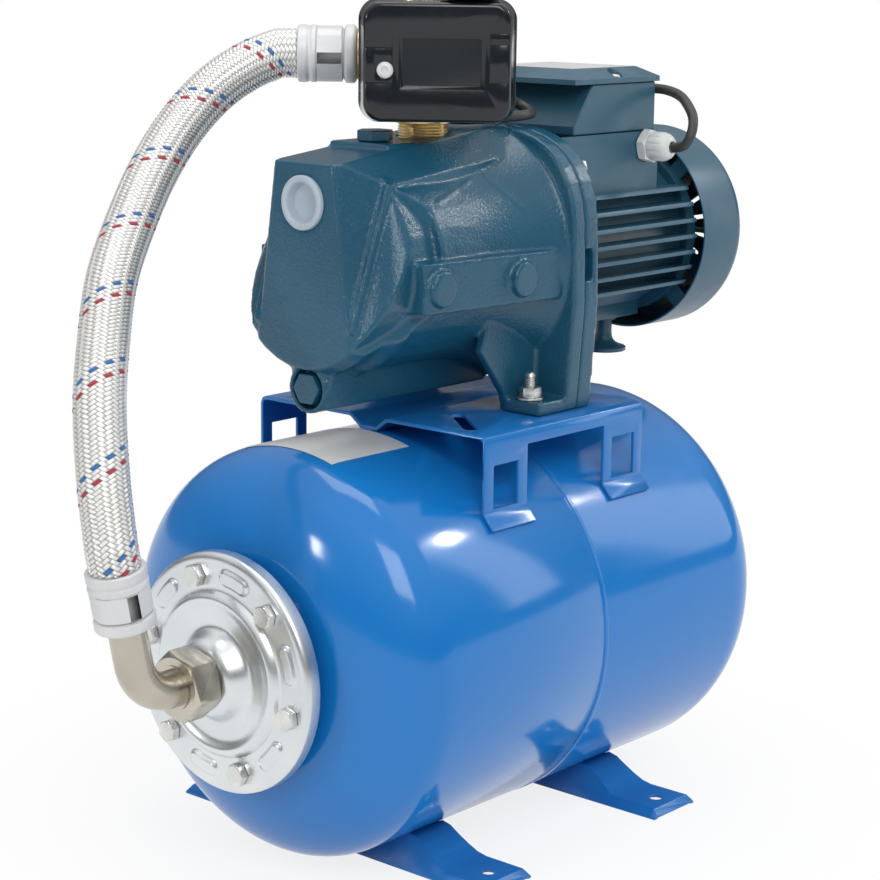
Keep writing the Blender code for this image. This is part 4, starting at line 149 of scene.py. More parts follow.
def route_length(points):
    """The length of a line through points."""
    return sum((b - a).length for a, b in zip(points, points[1:]))


HOSE_START = Vector((-0.046934, 0.061584, 0.515976))
HOSE_START_WAY = Vector((-0.656059, 0.754710, 0.0))
HOSE_END = Vector((-0.263036, 0.0, 0.224976))
HOSE_END_WAY = Vector((-0.207912, 0.0, 0.978148))
HOSE_LEAD = 0.012
HOSE_POINTS = (
    (-0.070, 0.083, 0.508), (-0.093, 0.092, 0.493), (-0.121, 0.094, 0.470), (-0.153, 0.087, 0.441),
    (-0.186, 0.074, 0.407), (-0.209, 0.061, 0.383), (-0.227, 0.047, 0.357), (-0.250, 0.026, 0.319),
    (-0.262, 0.010, 0.276),
)
HOSE_RADIUS = 0.016
HOSE_STEP = 0.004

hose_route = [HOSE_START + HOSE_START_WAY * HOSE_LEAD, *map(Vector, HOSE_POINTS)]
hose_route.append(HOSE_END + HOSE_END_WAY * HOSE_LEAD)
hose_path = [HOSE_START] + smooth_route(hose_route, HOSE_STEP) + [HOSE_END]
hose_length = route_length(hose_path)

CABLE_START = Vector((0.1839, -0.0739, 0.451))
CABLE_START_WAY = Vector((0.0, -1.0, 0.0))
CABLE_LEAD = 0.002
CABLE_END = Vector((0.028605, -0.043147, 0.488976))
CABLE_END_WAY = Vector((0.754710, 0.656059, 0.0))
CABLE_END_LEAD = 0.006
CABLE_POINTS = (
    (0.1842, -0.0838, 0.4532), (0.1870, -0.0868, 0.4615), (0.1930, -0.0835, 0.4710),
    (0.1985, -0.0755, 0.4785), (0.2045, -0.0640, 0.4850), (0.2085, -0.0480, 0.4885),
    (0.2110, -0.0280, 0.4885), (0.2145, 0.0020, 0.4865), (0.2110, 0.0340, 0.4850),
    (0.196, 0.058, 0.485), (0.151, 0.064, 0.485),
    (0.111, 0.063, 0.485), (0.076, 0.056, 0.484), (0.046, 0.042, 0.479), (0.035, 0.018, 0.474),
    (0.037, -0.008, 0.4735), (0.051, -0.028, 0.475), (0.073, -0.032, 0.476), (0.091, -0.022, 0.477),
    (0.091, -0.010, 0.482), (0.073, -0.012, 0.486), (0.049, -0.026, 0.488),
)
CABLE_RADIUS = 0.0035
CABLE_STEP = 0.004

cable_route = [CABLE_START + CABLE_START_WAY * CABLE_LEAD, *map(Vector, CABLE_POINTS)]
cable_route.append(CABLE_END + CABLE_END_WAY * CABLE_END_LEAD)
cable_path = [CABLE_START] + smooth_route(cable_route, CABLE_STEP) + [CABLE_END]

# %% [markdown]
# ## The braided hose
# The hose is a rubber tube under a braid of bright steel wire. Twenty flat
# strands wind one way and as many the other, each passing over two and under
# two. That is why the surface shows columns of small leaves that lean one way
# and then the other. A bump texture would leave the outline smooth, so the
# strands are built in the mesh: a fine grid on the tube whose points rise to a
# crown along each strand that lies on top, and sink where two strands meet.

# %% Count the strands and lay the grid
STRANDS = 20
BRAID_PITCH = 0.055
BRAID_SHARE = 2
STRAND_CROWN = 0.00070
STRAND_ARCH = 0.00035
CROWN_FALL = 0.92
CROWN_AT_ENDS = 0.55

around = 2 * STRANDS * BRAID_SHARE
rows = round(hose_length / (BRAID_PITCH / around))
print("braid grid:", around, "x", rows)


def strand_on_top(i, j):
    """True where the right-hand strand i lies over the left-hand strand j."""
    return (i + j) % 4 < 2


def strand_height(m, n):
    """Height of the braid above the tube at grid point (m around, n along)."""
    span = 2 * BRAID_SHARE
    p, q = (m - n) / span, (m + n) / span
    i, j = math.floor(p), math.floor(q)
    on_p, on_q = (m - n) % span == 0, (m + n) % span == 0
    if on_p and on_q:
        return 0.0
    top = strand_on_top(i, j)
    if on_p and (top or strand_on_top(i - 1, j)):
        return 0.0
    if on_q and not (top and strand_on_top(i, j - 1)):
        return 0.0
    across = p - i if top else q - j
    along = q if top else p
    start = i % 4 if top else (j + 2) % 4
    travelled = ((along + start) % 4) / 2
    travelled = travelled if travelled <= 1 else 0.5
    crown = math.sqrt(max(0.0, 1 - (2 * across - 1) ** 2 * CROWN_FALL))
    arch = 1 - abs(2 * travelled - 1) ** 3
    return STRAND_CROWN * crown * (CROWN_AT_ENDS + (1 - CROWN_AT_ENDS) * arch) + STRAND_ARCH * arch


# %% [markdown]
# A frame that travels along the path without twisting carries the rings. Each
# ring's points are pushed out by the strand height. Every small square of the
# grid is cut along the edge of its strand, so that edges stay crisp, and each
# face is given the place on its own leaf, across and along, for the wires later.

# %% Weave the hose
BEND_REACH = 14
TRACERS = {3: 2, 6: 1}


def travelling_frames(points):
    """Each point with two cross directions that don't twist; a corner is spread over several rings."""
    frames, side_way = [], None
    for i, point in enumerate(points):
        ahead = points[min(i + BEND_REACH, len(points) - 1)] - points[max(i - BEND_REACH, 0)]
        ahead = ahead.normalized()
        if side_way is None:
            side_way = ahead.orthogonal().normalized()
        side_way = (side_way - ahead * side_way.dot(ahead)).normalized()
        frames.append((point, side_way.copy(), ahead.cross(side_way)))
    return frames


def point_at(points, lengths, distance):
    """The point at a distance along a path, between its own points."""
    while lengths["at"] < len(points) - 2 and lengths["to"][lengths["at"] + 1] < distance:
        lengths["at"] += 1
    i = lengths["at"]
    low, high = lengths["to"][i], lengths["to"][i + 1]
    share = 0 if high == low else (distance - low) / (high - low)
    return points[i].lerp(points[i + 1], min(1, max(0, share)))


def evenly(points, count):
    """The path's points again, count + 1 of them at equal distances."""
    to = [0.0]
    for a, b in zip(points, points[1:]):
        to.append(to[-1] + (b - a).length)
    state = {"at": 0, "to": to}
    return [point_at(points, state, to[-1] * i / count) for i in range(count + 1)]


def mesh_object(name, bm):
    """A new object from a bmesh, whose faces are turned to point outwards first."""
    bmesh.ops.recalc_face_normals(bm, faces=bm.faces)
    mesh = bpy.data.meshes.new(name)
    bm.to_mesh(mesh)
    bm.free()
    return new_object(name, mesh)


def weave_triangle(face, picked, uv):
    """Tells a face its strand's material, and each of its corners its place on the leaf."""
    span = 2 * BRAID_SHARE
    middle_m = sum(m for m, n in picked) / 3
    middle_n = sum(n for m, n in picked) / 3
    i = math.floor((middle_m - middle_n) / span)
    j = math.floor((middle_m + middle_n) / span)
    top = strand_on_top(i, j)
    if top:
        started = (middle_m + middle_n) / span + i % 4
    else:
        started = (middle_m - middle_n) / span + (j + 2) % 4
    for loop, (m, n) in zip(face.loops, picked):
        if top:
            across, moved = (m - n) / span - i, n + m - middle_m - middle_n
        else:
            across, moved = (m + n) / span - j, m - n - middle_m + middle_n
        loop[uv].uv = (across, (started % 4 + moved / span) / 2)
    face.material_index = TRACERS.get(i % STRANDS, 0) if top else 0
    face.smooth = True


def woven_tube(name, path, radius):
    """A tube with its braid in the mesh; material 0 is plain, 1 and 2 are tracers."""
    bm = bmesh.new()
    uv = bm.loops.layers.uv.new("strand")
    core = radius - STRAND_CROWN - STRAND_ARCH
    rings = []
    for n, (centre, a, b) in enumerate(travelling_frames(evenly(path, rows))):
        ring = []
        for m in range(around):
            turn = 2 * math.pi * m / around
            out = a * math.cos(turn) + b * math.sin(turn)
            ring.append(bm.verts.new(centre + out * (core + strand_height(m, n))))
        rings.append(ring)
    for n in range(rows):
        for m in range(around):
            corners = [(m, n), (m + 1, n), (m + 1, n + 1), (m, n + 1)]
            on_edge = (m - n) % (2 * BRAID_SHARE) == 0
            for three in ((0, 1, 2), (0, 2, 3)) if on_edge else ((0, 1, 3), (1, 2, 3)):
                picked = [corners[k] for k in three]
                face = bm.faces.new([rings[y][x % around] for x, y in picked])
                weave_triangle(face, picked, uv)
    bm.faces.new(rings[0][::-1])
    bm.faces.new(rings[-1])
    return mesh_object(name, bm)


hose = woven_tube("braided_hose", hose_path, HOSE_RADIUS)
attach(hose, "set")
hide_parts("hose")
print("hose faces:", len(hose.data.polygons))

# %% [markdown]
# ## The link cable
# A round rubber cable leads from the motor's terminal box to the switch. The
# length that is left over lies in a loop behind the switch. A curve with a
# round bevel is all that it needs, and it becomes a mesh once it is laid. Its
# ends go into the gland and into the sleeve at the back of the switch.

# %% Lay the cable
CABLE_ROUNDNESS = 4
cable_data = bpy.data.curves.new("link_lead", "CURVE")
cable_data.dimensions = "3D"
cable_data.bevel_depth = CABLE_RADIUS
cable_data.bevel_resolution = CABLE_ROUNDNESS
cable_data.use_fill_caps = True
spline = cable_data.splines.new("POLY")
spline.points.add(len(cable_path) - 1)
for target, point in zip(spline.points, cable_path):
    target.co = (*point, 1.0)
spline.use_smooth = True
cable = new_object("link_lead", cable_data)
bpy.ops.object.select_all(action="DESELECT")
cable.select_set(True)
bpy.context.view_layer.objects.active = cable
bpy.ops.object.convert(target="MESH")
cable = bpy.context.object
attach(cable, "set")
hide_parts("link_cable")
print("cable faces:", len(cable.data.polygons))

# %% [markdown]
# ## Finishes
# Every finish starts from one recipe: noise on the object's own coordinates
# drifts the colour and the roughness a little, and a finer noise raises small
# bumps. Paint, zinc and plastic differ in the numbers and not in the recipe, so
# one function builds them all. Coordinates are in metres, so a noise of scale
# 400 has grains of about 2.5 mm.

# %% A recipe for painted, plated and moulded surfaces
SPECKS_PER_CLOUD = 9


def shader_of(material):
    """The node that holds a material's finish."""
    return material.node_tree.nodes["Principled BSDF"]


def noise_node(tree, scale, detail=3.0, stretch=(1, 1, 1)):
    """Noise on the object's coordinates, stretched along its axes if asked."""
    coords = tree.nodes.new("ShaderNodeTexCoord")
    mapping = tree.nodes.new("ShaderNodeMapping")
    mapping.inputs["Scale"].default_value = stretch
    noise = tree.nodes.new("ShaderNodeTexNoise")
    noise.inputs["Scale"].default_value = scale
    noise.inputs["Detail"].default_value = detail
    tree.links.new(coords.outputs["Object"], mapping.inputs["Vector"])
    tree.links.new(mapping.outputs["Vector"], noise.inputs["Vector"])
    return noise


def blend_colours(tree, factor, low, high, start=0.3, end=0.7):
    """A colour that goes from low to high as the factor goes from start to end."""
    ramp = tree.nodes.new("ShaderNodeValToRGB")
    ramp.color_ramp.elements[0].position = start
    ramp.color_ramp.elements[0].color = (*low, 1)
    ramp.color_ramp.elements[1].position = end
    ramp.color_ramp.elements[1].color = (*high, 1)
    tree.links.new(factor, ramp.inputs["Fac"])
    return ramp.outputs["Color"]


def remap(tree, value, low, high, start=0.3, end=0.7):
    """A number that goes from low to high as the value goes from start to end."""
    change = tree.nodes.new("ShaderNodeMapRange")
    change.inputs["From Min"].default_value = start
    change.inputs["From Max"].default_value = end
    change.inputs["To Min"].default_value = low
    change.inputs["To Max"].default_value = high
    tree.links.new(value, change.inputs["Value"])
    return change.outputs["Result"]


def raise_bumps(tree, heights, strength, distance, below=None):
    """A bump from a height; several are stacked by passing the last one as below."""
    bump = tree.nodes.new("ShaderNodeBump")
    bump.inputs["Strength"].default_value = strength
    bump.inputs["Distance"].default_value = distance
    tree.links.new(heights, bump.inputs["Height"])
    if below is not None:
        tree.links.new(below, bump.inputs["Normal"])
    return bump.outputs["Normal"]


def finish(name, dark, light, roughness, drift, grain, swell=None, metallic=0.0, stretch=(1, 1, 1)):
    """A surface whose colour and roughness drift, with grain and, if given, a coarser swell."""
    material = bpy.data.materials.new(name)
    material.use_nodes = True
    tree, shader = material.node_tree, shader_of(material)
    cloud = noise_node(tree, drift, 4.0, stretch).outputs["Fac"]
    tree.links.new(blend_colours(tree, cloud, dark, light), shader.inputs["Base Color"])
    speck = noise_node(tree, drift * SPECKS_PER_CLOUD, 3.0, stretch).outputs["Fac"]
    tree.links.new(remap(tree, speck, *roughness), shader.inputs["Roughness"])
    scale, strength, distance = grain
    normal = raise_bumps(tree, noise_node(tree, scale, 2.0, stretch).outputs["Fac"], strength, distance)
    if swell is not None:
        scale, strength, distance = swell
        normal = raise_bumps(tree, noise_node(tree, scale, 2.0).outputs["Fac"], strength, distance, normal)
    tree.links.new(normal, shader.inputs["Normal"])
    shader.inputs["Metallic"].default_value = metallic
    return material


print("each finish has", SPECKS_PER_CLOUD, "specks of roughness across a cloud of colour")

# %% [markdown]
# The tank is sprayed with a glossy blue enamel over smooth deep-drawn steel, so
# its grain is almost nothing. The pump is sand-cast iron under thick petrol
# paint: the sand leaves a pebbled skin, which breaks the highlights into
# sparks. Die-cast aluminium on the motor is smoother than the iron. Zinc shows
# as a pale metal with faint yellow and blue clouds.

# %% Mix the finishes
tank_enamel = finish("tank_enamel", (0.006, 0.165, 0.50), (0.010, 0.185, 0.55), (0.10, 0.16), 4.0,
                     (900, 0.06, 0.0001), (60, 0.05, 0.0005))
sheet_enamel = finish("sheet_enamel", (0.012, 0.155, 0.46), (0.018, 0.180, 0.52), (0.14, 0.24), 9.0,
                      (900, 0.10, 0.0001), (120, 0.08, 0.0005))
cast_paint = finish("cast_paint", (0.007, 0.069, 0.124), (0.013, 0.091, 0.156), (0.12, 0.18), 12.0,
                    (1150, 0.50, 0.0004), (520, 0.50, 0.0006))
smooth_paint = finish("smooth_paint", (0.018, 0.082, 0.132), (0.024, 0.098, 0.156), (0.30, 0.38), 10.0,
                      (1100, 0.12, 0.0001), (400, 0.08, 0.0002))
plated_zinc = finish("plated_zinc", (0.66, 0.70, 0.73), (0.80, 0.82, 0.82), (0.27, 0.31), 14.0,
                     (900, 0.01, 0.0001), (30, 0.03, 0.0006), metallic=1.0)
bolt_zinc = finish("bolt_zinc", (0.62, 0.63, 0.62), (0.80, 0.79, 0.76), (0.24, 0.36), 90.0,
                   (1400, 0.20, 0.0001), metallic=1.0)
ferrule_steel = finish("ferrule_steel", (0.62, 0.63, 0.64), (0.70, 0.70, 0.71), (0.50, 0.58), 40.0,
                       (1200, 0.10, 0.0001), (160, 0.10, 0.0005), metallic=0.3)
pipe_nickel = finish("pipe_nickel", (0.46, 0.42, 0.36), (0.54, 0.50, 0.43), (0.20, 0.24), 30.0,
                     (900, 0.05, 0.0001), metallic=1.0)
nut_nickel = finish("nut_nickel", (0.52, 0.49, 0.42), (0.62, 0.58, 0.51), (0.22, 0.27), 45.0,
                    (900, 0.08, 0.0001), metallic=1.0)
turned_brass = finish("turned_brass", (0.86, 0.69, 0.38), (0.95, 0.80, 0.50), (0.20, 0.28), 60.0,
                      (700, 0.08, 0.0001), metallic=0.75, stretch=(1, 1, 14))
switch_black = finish("switch_black", (0.006, 0.008, 0.011), (0.009, 0.012, 0.016), (0.09, 0.16), 25.0,
                      (1500, 0.08, 0.0001))
dull_black = finish("dull_black", (0.014, 0.015, 0.018), (0.026, 0.027, 0.030), (0.38, 0.52), 60.0,
                    (1600, 0.25, 0.0001))
cable_rubber = finish("cable_rubber", (0.030, 0.028, 0.028), (0.050, 0.047, 0.046), (0.42, 0.58), 80.0,
                      (1500, 0.20, 0.0001))
gland_grey = finish("gland_grey", (0.60, 0.62, 0.60), (0.68, 0.70, 0.68), (0.32, 0.44), 60.0,
                    (1400, 0.12, 0.0001))
plug_plastic = finish("plug_plastic", (0.36, 0.43, 0.50), (0.44, 0.51, 0.58), (0.30, 0.42), 60.0,
                      (1200, 0.12, 0.0001))
bag_rubber = finish("bag_rubber", (0.020, 0.020, 0.020), (0.035, 0.034, 0.034), (0.55, 0.70), 20.0,
                    (900, 0.30, 0.0003))
inner_plastic = finish("inner_plastic", (0.05, 0.05, 0.055), (0.08, 0.08, 0.085), (0.38, 0.5), 40.0,
                       (1200, 0.2, 0.0001))
ground_steel = finish("ground_steel", (0.50, 0.50, 0.50), (0.64, 0.64, 0.63), (0.20, 0.32), 50.0,
                      (900, 0.15, 0.0001), metallic=1.0, stretch=(1, 12, 12))
print("finishes:", len(bpy.data.materials))


# %% [markdown]
# ### Wire for the braid
# Each strand is a band of seven fine wires that lie side by side. The hose mesh
# carries strand coordinates: across the strand from 0 to 1, and along it. A
# sine across the strand draws the wires as bumps, and the same sine paints a
# highlight on each wire's crest and painted shade in the lines between them.
# Each strand shows as leaves, the stretches where it lies on top, and every leaf
# gets painted shade towards its edges, where it dives under its neighbours.
# The blue and the red tracer yarns use the same pattern in their own colours.

# %% Spin the wire finishes
WIRES = 7
# WIRE_LIGHT is the painted highlight on the wires' crests; SHADE_FROM is where the painted shade towards a
# leaf's edge begins.
WIRE_LIGHT = 0.25
SHADE_FROM = 0.40


def calculate(tree, operation, *values):
    """A sum on the shader's values: each value is a number or another node's output."""
    node = tree.nodes.new("ShaderNodeMath")
    node.operation = operation
    for socket, value in zip(node.inputs, values):
        if isinstance(value, (int, float)):
            socket.default_value = value
        else:
            tree.links.new(value, socket)
    return node.outputs["Value"]


def leaf_end(tree, share):
    """How near a point is to the edge of its leaf: 0 in the middle and 1 at the edge."""
    doubled = calculate(tree, "MULTIPLY_ADD", share, 2, -1)
    return calculate(tree, "MULTIPLY", doubled, doubled)


def wire_with_painted_shade(name, dark, light, metallic, roughness):
    """Fine wires side by side, with a painted highlight on their crests and painted shade between them and
    towards the leaf's edges, from the strand coordinates.
    """
    material = bpy.data.materials.new(name)
    material.use_nodes = True
    tree, shader = material.node_tree, shader_of(material)
    strand = tree.nodes.new("ShaderNodeUVMap")
    strand.uv_map = "strand"
    parts = tree.nodes.new("ShaderNodeSeparateXYZ")
    tree.links.new(strand.outputs["UV"], parts.inputs["Vector"])
    across, along = parts.outputs["X"], parts.outputs["Y"]
    wave = calculate(tree, "SINE", calculate(tree, "MULTIPLY", across, WIRES * math.pi))
    crest = calculate(tree, "ABSOLUTE", wave)
    # Painted shade: each leaf darkens towards its edges, where it dives under its neighbours.
    edge = calculate(tree, "MAXIMUM", leaf_end(tree, across), leaf_end(tree, along))
    unshaded_share = remap(tree, edge, 1.0, 0.0, SHADE_FROM, 1.0)
    # The crests get a painted highlight, the lines between the wires painted shade.
    lit = calculate(tree, "MULTIPLY_ADD", crest, WIRE_LIGHT, unshaded_share)
    tree.links.new(blend_colours(tree, lit, dark, light, 0.15, 1.0), shader.inputs["Base Color"])
    speck = noise_node(tree, 300, 2.0).outputs["Fac"]
    tree.links.new(remap(tree, speck, *roughness), shader.inputs["Roughness"])
    tree.links.new(raise_bumps(tree, crest, 0.5, 0.0002), shader.inputs["Normal"])
    shader.inputs["Metallic"].default_value = metallic
    return material


# The dark colours are painted shade and the light ones painted highlight, laid over each yarn's own colour.
braid_wire = wire_with_painted_shade("braid_wire", (0.27, 0.27, 0.265), (0.92, 0.91, 0.89), 0.80, (0.28, 0.38))
blue_tracer = wire_with_painted_shade("blue_tracer", (0.01, 0.06, 0.20), (0.03, 0.17, 0.46), 0.0, (0.40, 0.55))
red_tracer = wire_with_painted_shade("red_tracer", (0.20, 0.010, 0.020), (0.46, 0.035, 0.06), 0.0, (0.40, 0.55))
for material in (braid_wire, blue_tracer, red_tracer):
    hose.data.materials.append(material)
cable.data.materials.append(cable_rubber)
print("braid shows", sum(face.material_index > 0 for face in hose.data.polygons), "tracer faces")

# %% [markdown]
# ## Working by hand, in code
# The next helpers do what a modeller does with the mouse. A turned piece starts
# as one vertex that is extruded along half of its cross-section, and the line
# is then spun round the axis. A bent sheet or a machined block is a copy of its
# CAD node: the copy's loose triangles are merged, flat areas are cleared of
# inner edges, and a bevel rounds what would be a razor edge. No real edge is
# perfectly sharp, and the thin highlight on a bevel is what makes it look real.

# %% Helpers for turning, copying and rounding
SMOOTH_ANGLE = math.radians(38)
EDGE_ANGLE = math.radians(42)
FLAT_ANGLE = math.radians(0.6)
SPIN_MERGE, COPY_MERGE = 2e-6, 5e-6
AXES = {"X": Vector((1, 0, 0)), "Y": Vector((0, 1, 0)), "Z": Vector((0, 0, 1))}


def only(*objects):
    """Selects just these objects; the last becomes the active one."""
    bpy.ops.object.select_all(action="DESELECT")
    for obj in objects:
        obj.select_set(True)
    bpy.context.view_layer.objects.active = objects[-1]


def in_edit_mode(obj):
    """Opens a mesh for editing, with all its points selected."""
    only(obj)
    bpy.ops.object.mode_set(mode="EDIT")
    bpy.ops.mesh.select_mode(type="VERT")
    bpy.ops.mesh.select_all(action="SELECT")


def to_object_mode():
    """Closes the mesh that is being edited."""
    bpy.ops.object.mode_set(mode="OBJECT")


def face_outwards(obj):
    """Turns all faces of a closed mesh to point out."""
    in_edit_mode(obj)
    bpy.ops.mesh.normals_make_consistent(inside=False)
    to_object_mode()


def apply_modifier(obj, kind, **settings):
    """Adds a modifier with these settings and makes its result the mesh."""
    only(obj)
    modifier = obj.modifiers.new(kind.lower(), kind)
    for key, value in settings.items():
        setattr(modifier, key, value)
    bpy.ops.object.modifier_apply(modifier=modifier.name)


def smooth(obj, angle=SMOOTH_ANGLE):
    """Shades a mesh round, apart from edges that turn by more than the angle."""
    only(obj)
    bpy.ops.object.shade_smooth_by_angle(angle=angle)


def spun(name, profile, centre, axis, steps=96):
    """Extrudes a closed profile of (along, radius) points, then spins it round the axis."""
    side, way = AXES["X" if axis == "Z" else "Z"], AXES[axis]
    points = [Vector(centre) + way * along + side * radius for along, radius in profile]
    bpy.ops.object.select_all(action="DESELECT")
    bpy.ops.mesh.primitive_plane_add(size=0.01, location=(0, 0, 0))
    obj = bpy.context.object
    obj.name = name
    in_edit_mode(obj)
    bpy.ops.mesh.merge(type="CENTER")
    bpy.ops.transform.translate(value=points[0])
    for before, after in zip(points, points[1:]):
        bpy.ops.mesh.extrude_vertices_move(TRANSFORM_OT_translate={"value": after - before})
    to_object_mode()
    if profile[0][1] > 0 or profile[-1][1] > 0:
        for vertex in obj.data.vertices:
            vertex.select = vertex.index in (0, len(points) - 1)
        bpy.ops.object.mode_set(mode="EDIT")
        bpy.ops.mesh.edge_face_add()
        to_object_mode()
    in_edit_mode(obj)
    bpy.ops.mesh.spin(steps=steps, angle=2 * math.pi, center=centre, axis=way)
    bpy.ops.mesh.select_all(action="SELECT")
    bpy.ops.mesh.remove_doubles(threshold=SPIN_MERGE)
    bpy.ops.mesh.normals_make_consistent(inside=False)
    to_object_mode()
    return obj


def cad_copy(name, node, clean=FLAT_ANGLE):
    """A copy of a CAD node with its triangles merged and, if asked, its flat areas cleared."""
    mesh = nodes[node].data.copy()
    mesh.materials.clear()
    obj = new_object(name, mesh)
    in_edit_mode(obj)
    bpy.ops.mesh.remove_doubles(threshold=COPY_MERGE)
    if clean:
        bpy.ops.mesh.dissolve_limited(angle_limit=clean)
    bpy.ops.mesh.normals_make_consistent(inside=False)
    to_object_mode()
    return obj


def put_on(obj, node, material, body="set"):
    """Gives a finished piece its material and its body, and lets it stand for its CAD node."""
    obj.data.materials.clear()
    obj.data.materials.append(material)
    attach(obj, body)
    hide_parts(node)


def round_edges(obj, width, segments, angle, **settings):
    """A bevel on the edges that turn by more than an angle."""
    apply_modifier(obj, "BEVEL", width=width, segments=segments, limit_method="ANGLE", angle_limit=angle,
                   **settings)


def rounded_copy(name, node, material, width, segments, body="set", clean=FLAT_ANGLE):
    """A CAD node with rounded edges and flat faces that stay flat, dressed in a finish."""
    obj = cad_copy(name, node, clean)
    smooth(obj, EDGE_ANGLE)
    round_edges(obj, width, segments, EDGE_ANGLE, use_clamp_overlap=bool(clean), miter_outer="MITER_ARC",
                harden_normals=True)
    put_on(obj, node, material, body)
    print(name, len(obj.data.polygons), "faces")


def arc(centre, radius, start, sweep, steps):
    """Points of an arc in the plane of a profile, angles in degrees."""
    return [(centre[0] + radius * math.cos(math.radians(start + sweep * i / steps)),
             centre[1] + radius * math.sin(math.radians(start + sweep * i / steps)))
            for i in range(steps + 1)]


print("edges that turn by less than", round(math.degrees(EDGE_ANGLE)), "degrees keep no bevel")


# %% [markdown]
# ## The pressure tank
# Two deep-drawn steel halves meet in one weld round the middle. Each half is a
# spin: a straight wall that runs into a dome. The dome isn't half a sphere but
# fuller at its edge, so its curve is a superellipse. The CAD has 36 facets
# round the tank; the spin has 160, because the long highlights on gloss paint
# show every facet.

# %% Spin the two halves
TANK_RADIUS = 0.135
TANK_WALL = 0.0018
TANK_STEPS = 160
DOME_POWER = 2.3
REAR_WALL_END, REAR_DOME = 0.147, 0.070
VALVE_HOLE = 0.0063
FRONT_WALL_END, FRONT_DOME = -0.150, 0.056
MOUTH_OUTER, MOUTH_INNER, MOUTH_RIM = 0.0523, 0.0505, 0.072
MOUTH_BACK, MOUTH_FRONT = -0.2115, -0.2155
SEAM_GAP, SEAM_EDGE = 0.0008, 0.0003


def dome(end, depth, radius, from_radius, steps, outward):
    """Points of a domed end, from its rim towards the axis."""
    points = []
    for i in range(steps + 1):
        r = radius - (radius - from_radius) * (1 - math.cos(math.pi / 2 * i / steps))
        rise = depth * max(0.0, 1 - (r / radius) ** DOME_POWER) ** (1 / DOME_POWER)
        points.append((end + outward * rise, r))
    return points


inner_radius = TANK_RADIUS - TANK_WALL
rear_profile = [(0.0, inner_radius), (0.0, TANK_RADIUS)]
rear_profile += dome(REAR_WALL_END, REAR_DOME, TANK_RADIUS, VALVE_HOLE, 26, 1)
rear_profile += dome(REAR_WALL_END, REAR_DOME - TANK_WALL, inner_radius, VALVE_HOLE, 12, 1)[::-1]
rear_shell = spun("rear_tank_half", rear_profile, TANK_AT, "X", TANK_STEPS)
smooth(rear_shell)
put_on(rear_shell, "tank_rear_shell", tank_enamel)

front_profile = [(-SEAM_GAP, inner_radius), (-SEAM_GAP, TANK_RADIUS - SEAM_EDGE), (-0.0014, TANK_RADIUS)]
front_profile += dome(FRONT_WALL_END, FRONT_DOME, TANK_RADIUS, MOUTH_OUTER, 24, -1)
front_profile += [(MOUTH_BACK, MOUTH_OUTER), (MOUTH_BACK, MOUTH_RIM), (MOUTH_FRONT, MOUTH_RIM),
                  (MOUTH_FRONT, MOUTH_INNER)]
front_profile += dome(FRONT_WALL_END, FRONT_DOME - TANK_WALL, inner_radius, MOUTH_INNER, 12, -1)[::-1]
front_shell = spun("front_tank_half", front_profile, TANK_AT, "X", TANK_STEPS)
smooth(front_shell)
put_on(front_shell, "tank_front_shell", tank_enamel)
print("tank faces:", len(rear_shell.data.polygons) + len(front_shell.data.polygons))

# %% [markdown]
# The weld stands out as a low bead over the seam. It is a ring of its own, whose
# section is an arc that is pressed flat, and it covers the gap between the halves.

# %% Lay the weld bead
WELD_HALF = 0.0022
WELD_SINK, WELD_FLATNESS = 0.0006, 0.35
WELD_FOOT = 0.0012

weld = arc((0, TANK_RADIUS - WELD_SINK), WELD_HALF, 158, -136, 8)
bead_profile = [(x, TANK_RADIUS + (r - TANK_RADIUS) * WELD_FLATNESS) for x, r in weld]
bead_profile += [(WELD_HALF, TANK_RADIUS - WELD_FOOT), (-WELD_HALF, TANK_RADIUS - WELD_FOOT)]
bead = spun("weld_bead", bead_profile, TANK_AT, "X", TANK_STEPS)
smooth(bead)
bead.data.materials.append(tank_enamel)
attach(bead, "set")
print("weld bead:", round(2000 * WELD_HALF, 1), "mm wide")

# %% [markdown]
# ## The cover flange
# The round plate that closes the tank's mouth is pressed from thick sheet and
# zinc plated. Its cross-section has a rolled rim, a ring ridge, a dished middle
# and a threaded hub, so it is a spin too. Six bolts hold it, and between them
# the press has raised six short pads that stiffen the plate. The pads aren't
# round about the axis. They are made after the spin: the plate's flat ring has
# fine divisions, and the points under each pad are lifted by a smooth hump.

# %% Spin the flange and raise its pads
FLANGE_FACE = -0.2211
FLANGE_RADIUS = 0.077
FLANGE_STEPS = 480
BOLT_CIRCLE = 0.0634
BOLT_PHASE = math.radians(17)
BOLT_COUNT = 6
PAD_RING_FROM, PAD_RING_WIDTH, PAD_RING_STEPS = 0.0550, 0.0175, 28
PAD_LENGTH = 0.024
PAD_WIDTH = 0.0095
PAD_HEIGHT = 0.0019
PAD_EDGE, PAD_SLOPE = 1.25, 0.55


def stepped(along, pairs):
    """Profile points, each given by its distance beyond a level and its radius."""
    return [(along + beyond, radius) for beyond, radius in pairs]


dish, hub = FLANGE_FACE - 0.002, FLANGE_FACE - 0.0154
flange_profile = [(-0.248, 0.0105), (-0.248, 0.0158), (-0.2475, 0.0163)]
flange_profile += stepped(hub, ((0, 0.0165), (0.0004, 0.0195), (0.0012, 0.0215), (0.003, 0.0235),
                                (0.006, 0.0252), (0.009, 0.0268)))
flange_profile += stepped(dish, ((-0.0022, 0.0283), (-0.0008, 0.0295), (0, 0.0315), (0, 0.0340),
                                 (-0.0001, 0.0405), (-0.0006, 0.0430), (-0.0018, 0.0452), (-0.0026, 0.0468),
                                 (-0.0030, 0.0485), (-0.0024, 0.0503), (-0.0002, 0.0522)))
flange_profile += stepped(FLANGE_FACE, ((-0.0004, 0.0535), (0, PAD_RING_FROM)))
flange_profile += [(FLANGE_FACE, PAD_RING_FROM + PAD_RING_WIDTH * i / PAD_RING_STEPS)
                   for i in range(1, PAD_RING_STEPS + 1)]
